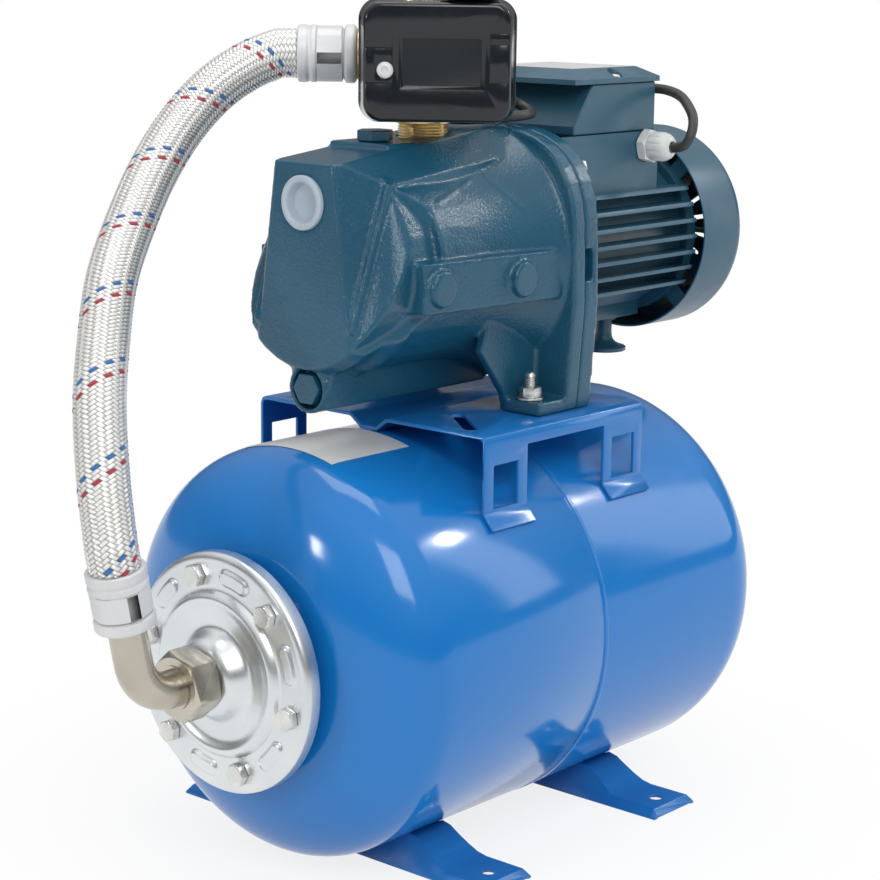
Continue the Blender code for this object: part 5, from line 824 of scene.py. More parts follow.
flange_profile += stepped(FLANGE_FACE, (
    (0.0003, 0.0743), (0.0012, 0.0759), (0.0028, 0.0769), (0.0040, FLANGE_RADIUS), (0.0110, FLANGE_RADIUS),
    (0.0115, FLANGE_RADIUS - 0.0005), (0.0115, FLANGE_RADIUS - 0.002), (0.003, FLANGE_RADIUS - 0.002),
    (0.003, 0.0525), (0, 0.0485), (0, 0.0105)))
flange = spun("pressed_flange", flange_profile, TANK_AT, "X", FLANGE_STEPS)


def around_tank(angle, radius, x):
    """A point on the tank's front, its angle measured from straight up."""
    return Vector((TANK_AT[0] + x, radius * math.sin(angle), TANK_AT[2] + radius * math.cos(angle)))


def pad_rise(y, z):
    """How far a pad lifts the flange's face at a point."""
    reach = math.hypot(y, z)
    angle = math.atan2(y, z) - BOLT_PHASE - math.pi / BOLT_COUNT
    step = 2 * math.pi / BOLT_COUNT
    angle = (angle + step / 2) % step - step / 2
    along = abs(angle) * BOLT_CIRCLE
    off = max(0.0, along - (PAD_LENGTH - PAD_WIDTH) / 2)
    away = math.hypot(off, reach - BOLT_CIRCLE) / (PAD_WIDTH / 2)
    share = min(1.0, max(0.0, (PAD_EDGE - away) / PAD_SLOPE))
    return PAD_HEIGHT * share * share * (3 - 2 * share)


for vertex in flange.data.vertices:
    x, y, z = vertex.co.x - TANK_AT[0], vertex.co.y, vertex.co.z - TANK_AT[2]
    if abs(x - FLANGE_FACE) < 1e-5 and math.hypot(y, z) > PAD_RING_FROM - 0.001:
        vertex.co.x -= pad_rise(y, z)
smooth(flange, math.radians(34))
put_on(flange, "tank_flange", plated_zinc)
print("flange faces:", len(flange.data.polygons))

# %% [markdown]
# ## Hexagon bolts
# A bolt head is cut from a hexagon bar: its corners are turned down by a cone,
# which leaves the curved edges that everyone knows from real bolts. So the head
# is a six-sided cylinder that keeps only what lies inside a spun, chamfered
# disc. The cover's bolt is made once, standing along Z, and then copied.

# %% Make one bolt head and copy it
BOLT_FLATS = 0.013
BOLT_HEAD = 0.0055
BOLT_SHANK = 0.004
BOLT_REACH = 0.0158
CORNER_CUT, CHAMFER_DEPTH = 0.075, 0.62
TOP_ROUND, TOP_MIDDLE = 0.47, 0.3
EDGE_WEAR = 0.00018


def hexagon_prism(name, flats, height):
    """A hexagon bar's slice standing on the origin, along Z."""
    bpy.ops.object.select_all(action="DESELECT")
    bpy.ops.mesh.primitive_cylinder_add(vertices=6, radius=flats / math.sqrt(3), depth=height,
                                        location=(0, 0, height / 2))
    obj = bpy.context.object
    obj.name = name
    bpy.ops.object.transform_apply(location=True, rotation=True, scale=True)
    return obj


def combine(target, tool, operation):
    """A Boolean that is applied at once; the tool is used up."""
    apply_modifier(target, "BOOLEAN", operation=operation, solver="EXACT", object=tool)
    bpy.data.objects.remove(tool)


def cylinder(name, start, reach, radius, axis="Z", steps=48, centre=(0, 0, 0)):
    """A plain spun cylinder between two distances along its axis."""
    return spun(name, [(start, 0), (start, radius), (reach, radius), (reach, 0)], centre, axis, steps)


def hexagon_head(name, flats, height, both_ends=False, bore=0.0):
    """A chamfered hexagon head or nut, standing on the origin along Z."""
    head = hexagon_prism(name, flats, height)
    corner, chamfer = flats / math.sqrt(3), flats * CORNER_CUT
    disc = [(-0.001, 0), (-0.001, corner + 0.001), (height - chamfer * CHAMFER_DEPTH, corner + 0.0002),
            (height, flats * TOP_ROUND), (height + 0.001, flats * TOP_MIDDLE), (height + 0.001, 0)]
    if both_ends:
        disc[0:2] = [(-0.001, 0), (-0.001, flats * TOP_MIDDLE), (0, flats * TOP_ROUND),
                     (chamfer * CHAMFER_DEPTH, corner + 0.0002)]
    combine(head, spun("chamfer_cone", disc, (0, 0, 0), "Z", 72), "INTERSECT")
    if bore:
        combine(head, cylinder("bore", -0.002, height + 0.002, bore), "DIFFERENCE")
    round_edges(head, EDGE_WEAR, 2, math.radians(20))
    smooth(head, math.radians(25))
    return head


def aligned(way, start, turn=0.0):
    """A matrix that takes a piece standing along Z to a place and direction."""
    z = Vector(way).normalized()
    x = z.orthogonal().normalized()
    x = Matrix.Rotation(turn, 3, z) @ x
    y = z.cross(x)
    return Matrix(((x.x, y.x, z.x, start[0]), (x.y, y.y, z.y, start[1]), (x.z, y.z, z.z, start[2]),
                   (0, 0, 0, 1)))


def placed_copy(source, name, matrix):
    """A copy of a piece, moved by a matrix."""
    mesh = source.data.copy()
    mesh.transform(matrix)
    return new_object(name, mesh)


CLEARANCE = 0.0003
FIRST_TURN, NEXT_TURN = 0.4, 1.7
bolt = hexagon_head("bolt_pattern", BOLT_FLATS, BOLT_HEAD)
shank_profile = [(-BOLT_REACH, 0), (-BOLT_REACH, BOLT_SHANK - 0.0006), (-BOLT_REACH + 0.0008, BOLT_SHANK),
                 (0.001, BOLT_SHANK), (0.001, 0)]
shank = spun("shank", shank_profile, (0, 0, 0), "Z", 32)
combine(bolt, shank, "UNION")
for i in range(BOLT_COUNT):
    angle = BOLT_PHASE + 2 * math.pi * i / BOLT_COUNT
    seat = around_tank(angle, BOLT_CIRCLE, FLANGE_FACE - CLEARANCE)
    place = aligned((-1, 0, 0), seat, FIRST_TURN + NEXT_TURN * i)
    put_on(placed_copy(bolt, f"cover_bolt_{i + 1}", place), f"flange_bolt_{i + 1}", bolt_zinc)
bpy.data.objects.remove(bolt)
print("cover bolts:", BOLT_COUNT)

# %% [markdown]
# ## Feet and platform
# Both feet are pressed channels under the tank, and the platform is a bent
# sheet with windows in its legs. Their CAD nodes have the right bends, so they
# are copied, cleaned and given the small edge radius of sheared, painted steel.

# %% Round the feet and the platform
for node in ("front_foot", "rear_foot"):
    rounded_copy(node + "_pressing", node, sheet_enamel, 0.0007, 3)
rounded_copy("platform_sheet", "pump_platform", sheet_enamel, 0.0006, 2, clean=0)

# %% [markdown]
# ## The elbow and its union nut
# A nickel-plated elbow leads the water from the tank into the hose. The pipe is
# one smooth bend; the CAD's short straight pieces would show as bands in the
# reflections. A circle swept along the arc, with its wall, gives a true bend.

# %% Bend the elbow and cut its nut
ELBOW_RADIUS = 0.0118
ELBOW_WALL = 0.0018
ELBOW_BEND = 0.028
ELBOW_ANGLE = math.radians(78)
ELBOW_FACE = -0.2483
ELBOW_STRAIGHT = 0.015
ELBOW_RISE = 0.0256


def elbow_line(steps=20):
    """The centreline of the elbow in world coordinates."""
    base = Vector(TANK_AT)
    centre = Vector((ELBOW_FACE - ELBOW_STRAIGHT, 0, ELBOW_BEND))
    line = [base + Vector((ELBOW_FACE, 0, 0))]
    for i in range(steps + 1):
        angle = ELBOW_ANGLE * i / steps
        line.append(base + centre + ELBOW_BEND * Vector((-math.sin(angle), 0, -math.cos(angle))))
    line.append(line[-1] + ELBOW_RISE * Vector((-math.cos(ELBOW_ANGLE), 0, math.sin(ELBOW_ANGLE))))
    return line


def swept_pipe(name, line, radii, sides=48):
    """A pipe along a flat line in the XZ plane: one ring per point, outer then inner wall."""
    bm = bmesh.new()
    rings = []
    order = [(i, radii[0]) for i in range(len(line))] + [(i, radii[1]) for i in reversed(range(len(line)))]
    for i, radius in order:
        ahead = (line[min(i + 1, len(line) - 1)] - line[max(i - 1, 0)]).normalized()
        across = Vector((0, 1, 0)).cross(ahead)
        rings.append([bm.verts.new(line[i] + radius * (Vector((0, math.cos(t), 0)) + across * math.sin(t)))
                      for t in (2 * math.pi * k / sides for k in range(sides))])
    for first, second in zip(rings, rings[1:] + rings[:1]):
        for k in range(sides):
            bm.faces.new((first[k], first[(k + 1) % sides], second[(k + 1) % sides], second[k]))
    return mesh_object(name, bm)


elbow = swept_pipe("bent_elbow", elbow_line(), (ELBOW_RADIUS, ELBOW_RADIUS - ELBOW_WALL))
collar = [(-0.004, ELBOW_RADIUS - 0.001), (-0.004, 0.0157), (-0.0035, 0.0162), (-0.0001, 0.0162),
          (-0.0001, ELBOW_RADIUS - 0.001)]
collar_at = tuple(Vector(TANK_AT) + Vector((ELBOW_FACE, 0, 0)))
combine(elbow, spun("elbow_collar", collar, collar_at, "X", 48), "UNION")
smooth(elbow)
put_on(elbow, "elbow_pipe", pipe_nickel)

NUT_FLATS, NUT_LENGTH, NUT_SEAT = 0.040, 0.020, 0.2585
nut = hexagon_head("union_nut", NUT_FLATS, NUT_LENGTH, both_ends=True)
ways = [(-0.001, 0), (-0.001, 0.0139), (0.0012, 0.0121), (0.0061, 0.0121), (0.0061, 0.0168), (0.0190, 0.0168),
        (0.021, 0.0180), (0.021, 0)]
combine(nut, spun("nut_bore", ways, (0, 0, 0), "Z", 72), "DIFFERENCE")
nut.data.transform(aligned((1, 0, 0), (TANK_AT[0] - NUT_SEAT, 0, TANK_AT[2])))
smooth(nut, math.radians(25))
put_on(nut, "elbow_nut", nut_nickel)
print("elbow faces:", len(elbow.data.polygons), "nut faces:", len(nut.data.polygons))

# %% [markdown]
# ## The cast casing
# The pump's casing is sand-cast iron. In a casting no two faces meet in a sharp
# line: every inner corner has a fillet, or the iron would crack there as it
# cools. Bevels can't follow the corners where a dozen shapes run into each
# other. A voxel remesh can: it wraps the whole copy in one even skin, and a
# short smoothing then rounds the outer corners and fills the inner ones at
# once. Thin ribs can be laid on before it, because the skin joins them.

# %% Wrap and smooth a casting
CASING_VOXEL = 0.0013
CAST_ROUNDS = 3


def cast(name, node, material, extras=()):
    """One even, softly rounded skin over a copy of a CAD node and its extra shapes."""
    obj = cad_copy(name, node, clean=0)
    if extras:
        only(*extras, obj)
        bpy.ops.object.join()
    apply_modifier(obj, "REMESH", mode="VOXEL", voxel_size=CASING_VOXEL)
    apply_modifier(obj, "SMOOTH", factor=0.5, iterations=CAST_ROUNDS)
    smooth(obj, math.radians(180))
    put_on(obj, node, material)
    print(name, len(obj.data.polygons), "faces")


print("castings are wrapped at", 1000 * CASING_VOXEL, "mm")

# %% [markdown]
# Four forms of the real casting go on before the wrap. The nose is the drum's
# slanting front: it is a hull drawn tight over the ends of two ridges and a
# round that leans back as it rises. A narrow rib runs down each ridge. A spun
# skin rounds the bell, and two faint lines cross on it.

# %% Draw the nose tight over its ends
SHAFT_Z = 0.386
NOSE_RADIUS, NOSE_STEPS = 0.0625, 36
NOSE_LEAN = 0.54
NOSE_AT_SHAFT = -0.0815
NOSE_BACK, NOSE_TOP = -0.050, 0.042
FACE_X = -0.105
RIDGE = ((-0.0737, 0.0426, 0.4394), (-0.1032, 0.0399, 0.3512))


def nose_front(z):
    """How far forward the round front reaches at a height."""
    return max(FACE_X + 0.0008, NOSE_AT_SHAFT + NOSE_LEAN * (z - SHAFT_Z))


hull_points = [Vector((x, side * y, z)) for x, y, z in RIDGE for side in (-1, 1)]
for i in range(NOSE_STEPS):
    turn = 2 * math.pi * i / NOSE_STEPS
    y, z = NOSE_RADIUS * math.cos(turn), SHAFT_Z + NOSE_RADIUS * math.sin(turn)
    if z < SHAFT_Z + NOSE_TOP:
        hull_points.append(Vector((nose_front(z), y, z)))
    hull_points.append(Vector((NOSE_BACK, y, z)))
mesh = bpy.data.meshes.new("casing_nose")
mesh.from_pydata(hull_points, [], [])
nose = new_object("casing_nose", mesh)
in_edit_mode(nose)
bpy.ops.mesh.convex_hull()
bpy.ops.mesh.normals_make_consistent(inside=False)
to_object_mode()
print("nose hull:", len(nose.data.polygons), "faces over", len(hull_points), "points")

# %% Add the ridges, the bell and its crossed lines, and cast the casing
RIDGE_BAR, RIDGE_OUT = 0.0024, 0.0014
LINE_BAR, LINE_DEPTH, LINE_STEPS = 0.0009, 0.0001, 6
DRUM_RADIUS, BELL_GROWTH, BELL_POWER = 0.0682, 0.0180, 3.4
BELL_FROM, BELL_TO, BELL_STEPS = -0.050, 0.055, 24
CROSSED = ((0.0175, 74.6), (0.0144, 46.8), (0.0289, 26.5)), ((0.0540, 66.0), (0.0114, 51.9), (-0.0392, 37.2))


def bar_between(start, end, radius):
    """A round bar from one point to another."""
    start, end = Vector(start), Vector(end)
    bpy.ops.object.select_all(action="DESELECT")
    bpy.ops.mesh.primitive_cylinder_add(vertices=12, radius=radius, depth=(end - start).length + radius,
                                        location=(0, 0, 0))
    bar = bpy.context.object
    bar.data.transform(aligned(end - start, (start + end) / 2))
    return bar


def bell_radius(x):
    """The bell's radius, which grows faster and faster towards the rim."""
    return DRUM_RADIUS + BELL_GROWTH * ((x - BELL_FROM) / (BELL_TO - BELL_FROM)) ** BELL_POWER


def bell_point(x, turn):
    """A point in the bell's skin at a distance x along the shaft and an angle above level."""
    radius, turn = bell_radius(x) - LINE_DEPTH, math.radians(turn)
    return Vector((x, -radius * math.cos(turn), SHAFT_Z + radius * math.sin(turn)))


extras = [nose]
for side in (-1, 1):
    top, foot = (Vector((x - RIDGE_OUT, side * (y + RIDGE_OUT), z)) for x, y, z in RIDGE)
    extras.append(bar_between(top, foot, RIDGE_BAR))
bell_profile = [(BELL_FROM, 0)]
for i in range(BELL_STEPS + 1):
    x = BELL_FROM + (BELL_TO - BELL_FROM) * i / BELL_STEPS
    bell_profile.append((x, bell_radius(x)))
bell_profile.append((BELL_TO, 0))
extras.append(spun("casing_bell", bell_profile, (0, 0, SHAFT_Z), "X", 144))
for line in CROSSED:
    for (x_from, turn_from), (x_to, turn_to) in zip(line, line[1:]):
        stops = []
        for i in range(LINE_STEPS + 1):
            x = x_from + (x_to - x_from) * i / LINE_STEPS
            stops.append(bell_point(x, turn_from + (turn_to - turn_from) * i / LINE_STEPS))
        extras += [bar_between(a, b, LINE_BAR) for a, b in zip(stops, stops[1:])]
cast("cast_casing", "pump_casing", cast_paint, extras)
cast("cast_bracket", "motor_bracket", cast_paint)

# %% [markdown]
# ## Plugs and anchor bolts
# The priming plug on top and the drain plug in front are hexagons under the
# same paint as the casing, so their edges are soft. The grey plastic cup in the
# suction port only keeps dirt out until the pump is piped. The two anchor bolts
# stand up through the casing's ears: each shows a nut, a washer and a length of
# thread, which is modelled as rings because a plain rod would look wrong here.

# %% Make the plugs
rounded_copy("priming_plug_painted", "priming_plug", cast_paint, 0.0009, 3)
rounded_copy("drain_plug_painted", "drain_plug", cast_paint, 0.0009, 3)
PORT_AT = (FACE_X, 0.0, 0.428)
cup_profile = [(-0.0010, 0.0125), (-0.0022, 0.0128), (-0.0027, 0.0138), (-0.0028, 0.0150), (-0.0025, 0.0166),
               (-0.0018, 0.0172), (0.0005, 0.0172), (0.0005, 0.0149), (0.0135, 0.0147), (0.0140, 0.0142),
               (0.0140, 0.0), (0.0050, 0.0), (0.0046, 0.0060), (0.0036, 0.0113), (0.0010, 0.0120)]
cup = spun("port_cup", cup_profile, PORT_AT, "X", 96)
smooth(cup, math.radians(50))
put_on(cup, "suction_plug", plug_plastic)
print("port cup:", len(cup.data.polygons), "faces")

# %% Stand up the anchor bolts
ANCHOR_AT = (0.0365, 0.070)
ANCHOR_RADIUS = 0.004
THREAD_PITCH = 0.00125
PLATFORM_TOP, PLATFORM_SHEET = 0.285, 0.0025
EAR_GAP, EAR_THICK = 0.0006, 0.0085
WASHER_RADIUS, WASHER_THICK, WASHER_EDGE = 0.009, 0.0016, 0.0002
ANCHOR_NUT_HEIGHT = 0.0068
anchor_head_top = PLATFORM_TOP - PLATFORM_SHEET - CLEARANCE
anchor_top = PLATFORM_TOP + 0.027


def threaded_profile(low, high, radius):
    """Half the outline of a threaded rod between two heights, from the axis and back to it."""
    outline, z = [(low, 0), (low, radius - 0.0003)], low + 0.0003
    while z + THREAD_PITCH < high - 0.0008:
        outline += [(z + 0.1 * THREAD_PITCH, radius - 0.0007), (z + 0.5 * THREAD_PITCH, radius)]
        z += THREAD_PITCH
    return outline + [(high - 0.0008, radius - 0.0006), (high, radius - 0.0014), (high, 0)]


anchor_nut = hexagon_head("anchor_nut_pattern", BOLT_FLATS, ANCHOR_NUT_HEIGHT, both_ends=True,
                          bore=ANCHOR_RADIUS + 0.0001)
washer_hole = ANCHOR_RADIUS + CLEARANCE
washer_profile = [(0.0, washer_hole), (0.0, WASHER_RADIUS - WASHER_EDGE), (WASHER_EDGE, WASHER_RADIUS),
                  (WASHER_THICK - WASHER_EDGE, WASHER_RADIUS), (WASHER_THICK, WASHER_RADIUS - WASHER_EDGE),
                  (WASHER_THICK, washer_hole)]
washer = spun("washer_pattern", washer_profile, (0, 0, 0), "Z", 64)
anchor_head = hexagon_head("anchor_head_pattern", BOLT_FLATS, BOLT_HEAD)
for side, word in ((-1, "near"), (1, "far")):
    x, y = ANCHOR_AT[0], side * ANCHOR_AT[1]
    seat = PLATFORM_TOP + EAR_GAP + EAR_THICK
    nut_place = Matrix.Translation((x, y, seat + WASHER_THICK)) @ Matrix.Rotation(0.5 * side, 4, "Z")
    nut_piece = placed_copy(anchor_nut, f"anchor_nut_{word}_cut", nut_place)
    washer_piece = placed_copy(washer, "washer", Matrix.Translation((x, y, seat)))
    only(washer_piece, nut_piece)
    bpy.ops.object.join()
    smooth(nut_piece, math.radians(25))
    put_on(nut_piece, f"anchor_nut_{word}", bolt_zinc)
    head = placed_copy(anchor_head, f"anchor_bolt_{word}_cut", aligned((0, 0, -1), (x, y, anchor_head_top)))
    rod_profile = threaded_profile(anchor_head_top - 0.001, anchor_top, ANCHOR_RADIUS)
    combine(head, spun("thread", rod_profile, (x, y, 0), "Z", 32), "UNION")
    smooth(head, math.radians(20))
    put_on(head, f"anchor_bolt_{word}", bolt_zinc)
for pattern in (anchor_nut, washer, anchor_head):
    bpy.data.objects.remove(pattern)
print("anchor bolts reach", round(anchor_top, 4), "m")

# %% [markdown]
# Four bolts hold the casing to the motor's bracket from behind. Their heads and
# shanks take their places and lengths from the boxes of their CAD nodes.

# %% Fit the casing's rear bolts
CASING_BOLTS = 4
casing_bolt = hexagon_head("casing_bolt_pattern", BOLT_FLATS, BOLT_HEAD)
for i in range(CASING_BOLTS):
    low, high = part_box(f"casing_bolt_{i + 1}")
    start = (high[0] - BOLT_HEAD, (low[1] + high[1]) / 2, (low[2] + high[2]) / 2)
    piece = placed_copy(casing_bolt, f"casing_bolt_{i + 1}_cut", aligned((1, 0, 0), start, 0.3 * i))
    tail = cylinder("tail", low[0] - start[0], 0.001, BOLT_SHANK, "X", 24, start)
    combine(piece, tail, "UNION")
    smooth(piece, math.radians(25))
    put_on(piece, f"casing_bolt_{i + 1}", bolt_zinc)
bpy.data.objects.remove(casing_bolt)
print("casing bolts:", CASING_BOLTS)

# %% [markdown]
# ## The motor
# The motor housing is die-cast aluminium with cooling fins above, below and on
# both sides. Its fins are thin, so a remesh would swallow them; a copy with a
# small bevel keeps them crisp. The fan cover is a deep-drawn cup, so it is
# spun, and the ring of narrow air slots in its rear is cut by one long cutter
# that is copied round the axis.

# %% Round the housing and its neighbours
rounded_copy("finned_housing", "motor_housing", smooth_paint, 0.0005, 2)
rounded_copy("shield_casting", "end_shield", smooth_paint, 0.0006, 2)
FOOT_RADIUS, FOOT_TALL = 0.0165, 0.0225
foot_profile = [(0, 0), (0, FOOT_RADIUS - 0.0005), (0.0004, FOOT_RADIUS), (0.0026, FOOT_RADIUS),
                (0.0032, 0.0158), (0.0042, 0.0125), (0.0058, 0.0092), (0.0078, 0.0072), (0.0105, 0.0063),
                (0.0140, 0.0060), (FOOT_TALL, 0.0060), (FOOT_TALL, 0)]
foot_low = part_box("motor_foot")[0]
foot_at = (foot_low[0] + FOOT_RADIUS, 0.0, foot_low[2])
motor_foot = spun("motor_foot_turned", foot_profile, foot_at, "Z", 64)
smooth(motor_foot)
put_on(motor_foot, "motor_foot", smooth_paint)

# %% Spin the fan cover and cut its slots
SHAFT_AT = (TANK_AT[0], 0.0, SHAFT_Z)
COVER_RADIUS = 0.073
COVER_WALL = 0.0015
COVER_FRONT, COVER_REAR, COVER_ROUND = 0.187, 0.240, 0.013
COVER_SLOTS = 16
SLOT_FROM, SLOT_TO, SLOT_WIDE = 0.018, 0.038, 0.0030

middle = (COVER_REAR - COVER_ROUND, COVER_RADIUS - COVER_ROUND)
cover_profile = [(COVER_FRONT, COVER_RADIUS - COVER_WALL + 0.0003), (COVER_FRONT, COVER_RADIUS - 0.0003),
                 (COVER_FRONT + 0.0003, COVER_RADIUS), (COVER_FRONT + 0.006, COVER_RADIUS)]
cover_profile += arc(middle, COVER_ROUND, 90, -90, 10)
cover_profile += [(COVER_REAR, 0.0), (COVER_REAR - COVER_WALL, 0.0)]
cover_profile += arc(middle, COVER_ROUND - COVER_WALL, 0, 90, 8)
fan_cover = spun("fan_cover_drawn", cover_profile, SHAFT_AT, "X", 128)
bpy.ops.object.select_all(action="DESELECT")
bpy.ops.mesh.primitive_cylinder_add(vertices=24, radius=SLOT_WIDE / 2, depth=0.012, location=(0, 0, 0))
slot_cutter = bpy.context.object
slot_stretch, slot_middle = (SLOT_TO - SLOT_FROM - SLOT_WIDE) / 2, (SLOT_FROM + SLOT_TO) / 2
for vertex in slot_cutter.data.vertices:
    vertex.co.y += math.copysign(slot_stretch, vertex.co.y) + slot_middle
to_rear = Matrix.Translation((SHAFT_AT[0] + COVER_REAR, 0, SHAFT_AT[2]))
lie_down = to_rear @ Matrix.Rotation(math.pi / 2, 4, "Y")
slots = []
for i in range(COVER_SLOTS):
    turn = Matrix.Rotation(2 * math.pi * (i + 0.5) / COVER_SLOTS, 4, "Z")
    slots.append(placed_copy(slot_cutter, f"slot_{i}", lie_down @ turn))
bpy.data.objects.remove(slot_cutter)
only(*slots)
bpy.ops.object.join()
combine(fan_cover, bpy.context.object, "DIFFERENCE")
smooth(fan_cover, math.radians(34))
put_on(fan_cover, "fan_cover", smooth_paint)
print("fan cover faces:", len(fan_cover.data.polygons))

# %% [markdown]
# ## Terminal box, gland and what they carry
# The terminal box and its lid have planed faces that lean a little, which the
# CAD copy keeps. Its bevel is wider than on the fins, because the box is cast.
# The gland is moulded nylon: a six-sided body and a dome nut with fine grips.

# %% Round the terminal box and its screws
rounded_copy("terminal_box_casting", "terminal_box", smooth_paint, 0.0011, 3)
rounded_copy("terminal_lid_pressing", "terminal_lid", smooth_paint, 0.0008, 3)


def block(name, centre, size):
    """A box of this size about a centre, ready for a bevel or a cut."""
    bpy.ops.object.select_all(action="DESELECT")
    bpy.ops.mesh.primitive_cube_add(size=1, location=centre, scale=size)
    obj = bpy.context.object
    obj.name = name
    bpy.ops.object.transform_apply(location=True, rotation=True, scale=True)
    return obj


def pan_screw(name, node, radius, height, way, material):
    """A domed screw head with a cross recess, fitted where its CAD node shows a head."""
    low, high = (Vector(corner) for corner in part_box(node))
    centre = (low + high) / 2
    axis = Vector(way)
    top = centre + axis * (high - low).dot(Vector([abs(part) for part in axis])) / 2
    outline = ((-1, 0), (-1, 0.96), (-0.92, 1), (-0.55, 0.95), (-0.25, 0.75), (-0.07, 0.42), (0, 0))
    head = spun(name, [(height * along, radius * out) for along, out in outline], (0, 0, 0), "Z", 48)
    for turn in (0, math.pi / 2):
        recess = block("recess", (0, 0, 0), (radius * 1.15, radius * 0.2, height * 0.9))
        recess.data.transform(Matrix.Rotation(turn + 0.4, 4, "Z"))
        combine(head, recess, "DIFFERENCE")
    head.data.transform(aligned(axis, top))
    smooth(head, math.radians(30))
    put_on(head, node, material)


for word in ("near", "far"):
    pan_screw(f"lid_screw_{word}_cut", f"lid_screw_{word}", 0.0045, 0.0026, (0, 0, 1), bolt_zinc)
print("lid screws: 2")

# %% Mould the gland
GLAND_AT = Vector((0.1839, -0.0503, 0.451))
GLAND_BODY = 0.007
gland_body = hexagon_head("gland_body", 0.021, GLAND_BODY, both_ends=True, bore=0.0045)
gland_body.data.transform(aligned((0, -1, 0), GLAND_AT, math.pi / 6))
smooth(gland_body, math.radians(25))
put_on(gland_body, "cable_gland", gland_grey)
GRIPS, GRIP_DEPTH = 12, 0.045
dome_profile = [(0, 0.0076), (0, 0.0096), (0.0005, 0.0101), (0.0085, 0.0101), (0.0092, 0.0098),
                (0.0110, 0.0094), (0.0132, 0.0082), (0.0148, 0.0066), (0.0156, 0.0054), (0.0160, 0.0046),
                (0.0156, 0.0039), (0.0140, 0.0037), (0.0060, 0.0037), (0.0060, 0.0076)]
gland_nut = spun("gland_dome_nut", dome_profile, (0, 0, 0), "Z", 12 * GRIPS)
for vertex in gland_nut.data.vertices:
    reach = math.hypot(vertex.co.x, vertex.co.y)
    if reach > 0.0094 and 0.0004 < vertex.co.z < 0.0093:
        angle = math.atan2(vertex.co.y, vertex.co.x)
        dip = 1 - GRIP_DEPTH * max(0.0, math.cos(GRIPS * angle)) ** 3
        vertex.co.x *= dip
        vertex.co.y *= dip
gland_nut.data.transform(aligned((0, -1, 0), GLAND_AT + Vector((0, -GLAND_BODY - CLEARANCE, 0))))
smooth(gland_nut, math.radians(40))
put_on(gland_nut, "gland_nut", gland_grey)
print("gland faces:", len(gland_body.data.polygons) + len(gland_nut.data.polygons))

# %% [markdown]
# ## The pressure switch
# The switch is two mouldings with a fine seam between them. Each starts as a
# box whose four long corners get a wide bevel. The cover's front face is then
# scaled down, so that its sides lean like those of any moulding that has to
# leave its tool, and a second bevel rounds the front rim. The label field and
# the thin lines beside it are cut last. The label itself is left blank.

# %% Mould the base and the cover
SWITCH_TURN = math.radians(-49)
SWITCH_AT = (0.0066, 0.0, 0.513976)
SWITCH_WIDE, SWITCH_TALL, SWITCH_CORNER = 0.100, 0.078, 0.0135
SWITCH_MIDDLE = 0.009
BACK_Y, SEAM_Y, FRONT_Y = -0.024, -0.038, -0.064
COVER_INSET = 0.0005
FRONT_WIDE, FRONT_TALL = 0.0915, 0.0735
SLEEVE_X, SLEEVE_Z = 0.047, -0.025
SLEEVE_LONG, SLEEVE_BORE = 0.012, 0.0038
switch_frame = Matrix.Translation(SWITCH_AT) @ Matrix.Rotation(SWITCH_TURN, 4, "Z")


def choose(obj, kind, test):
    """Opens a mesh with just those edges or faces selected whose points pass a test."""
    only(obj)
    bpy.ops.object.mode_set(mode="EDIT")
    bpy.ops.mesh.select_mode(type=kind)
    bpy.ops.mesh.select_all(action="DESELECT")
    to_object_mode()
    for part in obj.data.edges if kind == "EDGE" else obj.data.polygons:
        part.select = test([obj.data.vertices[i].co for i in part.vertices])
    bpy.ops.object.mode_set(mode="EDIT")


def bevel_chosen(obj, test, width, segments):
    """Rounds the edges whose points pass a test."""
    choose(obj, "EDGE", test)
    bpy.ops.mesh.bevel(offset=width, segments=segments, affect="EDGES")
    to_object_mode()


def in_front_of(limit):
    """A test for edges and faces whose points all lie in front of a level."""
    return lambda points: all(point.y < limit for point in points)


def behind(limit):
    """A test for edges and faces whose points all lie behind a level."""
    return lambda points: all(point.y > limit for point in points)


def block_between(name, low, high):
    """A box between two opposite corners."""
    return block(name, [(a + b) / 2 for a, b in zip(low, high)], [b - a for a, b in zip(low, high)])


def moulding(name, low, high, corner, segments):
    """A box between two corners, with its four edges along Y rounded."""
    obj = block_between(name, low, high)
    half_depth = (high[1] - low[1]) / 2
    bevel_chosen(obj, lambda points: abs(points[0].y - points[1].y) > half_depth, corner, segments)
    return obj


left, right = SWITCH_MIDDLE - SWITCH_WIDE / 2, SWITCH_MIDDLE + SWITCH_WIDE / 2
bottom, top = -SWITCH_TALL / 2, SWITCH_TALL / 2
base = moulding("switch_base_moulding", (left, SEAM_Y, bottom), (right, BACK_Y, top), SWITCH_CORNER, 14)
bevel_chosen(base, behind(BACK_Y - 0.0001), 0.0022, 4)
bevel_chosen(base, in_front_of(SEAM_Y + 0.0001), 0.0005, 2)
sleeve_start = (SLEEVE_X, BACK_Y, SLEEVE_Z)
sleeve = [(-0.003, 0), (-0.003, 0.0062), (0.0086, 0.0062), (0.0112, 0.0057), (0.0118, 0.0052),
          (SLEEVE_LONG, 0.0045), (SLEEVE_LONG, 0)]
combine(base, spun("sleeve", sleeve, sleeve_start, "Y", 48), "UNION")
combine(base, cylinder("sleeve_way", -0.001, SLEEVE_LONG + 0.001, SLEEVE_BORE, "Y", 32, sleeve_start),
        "DIFFERENCE")

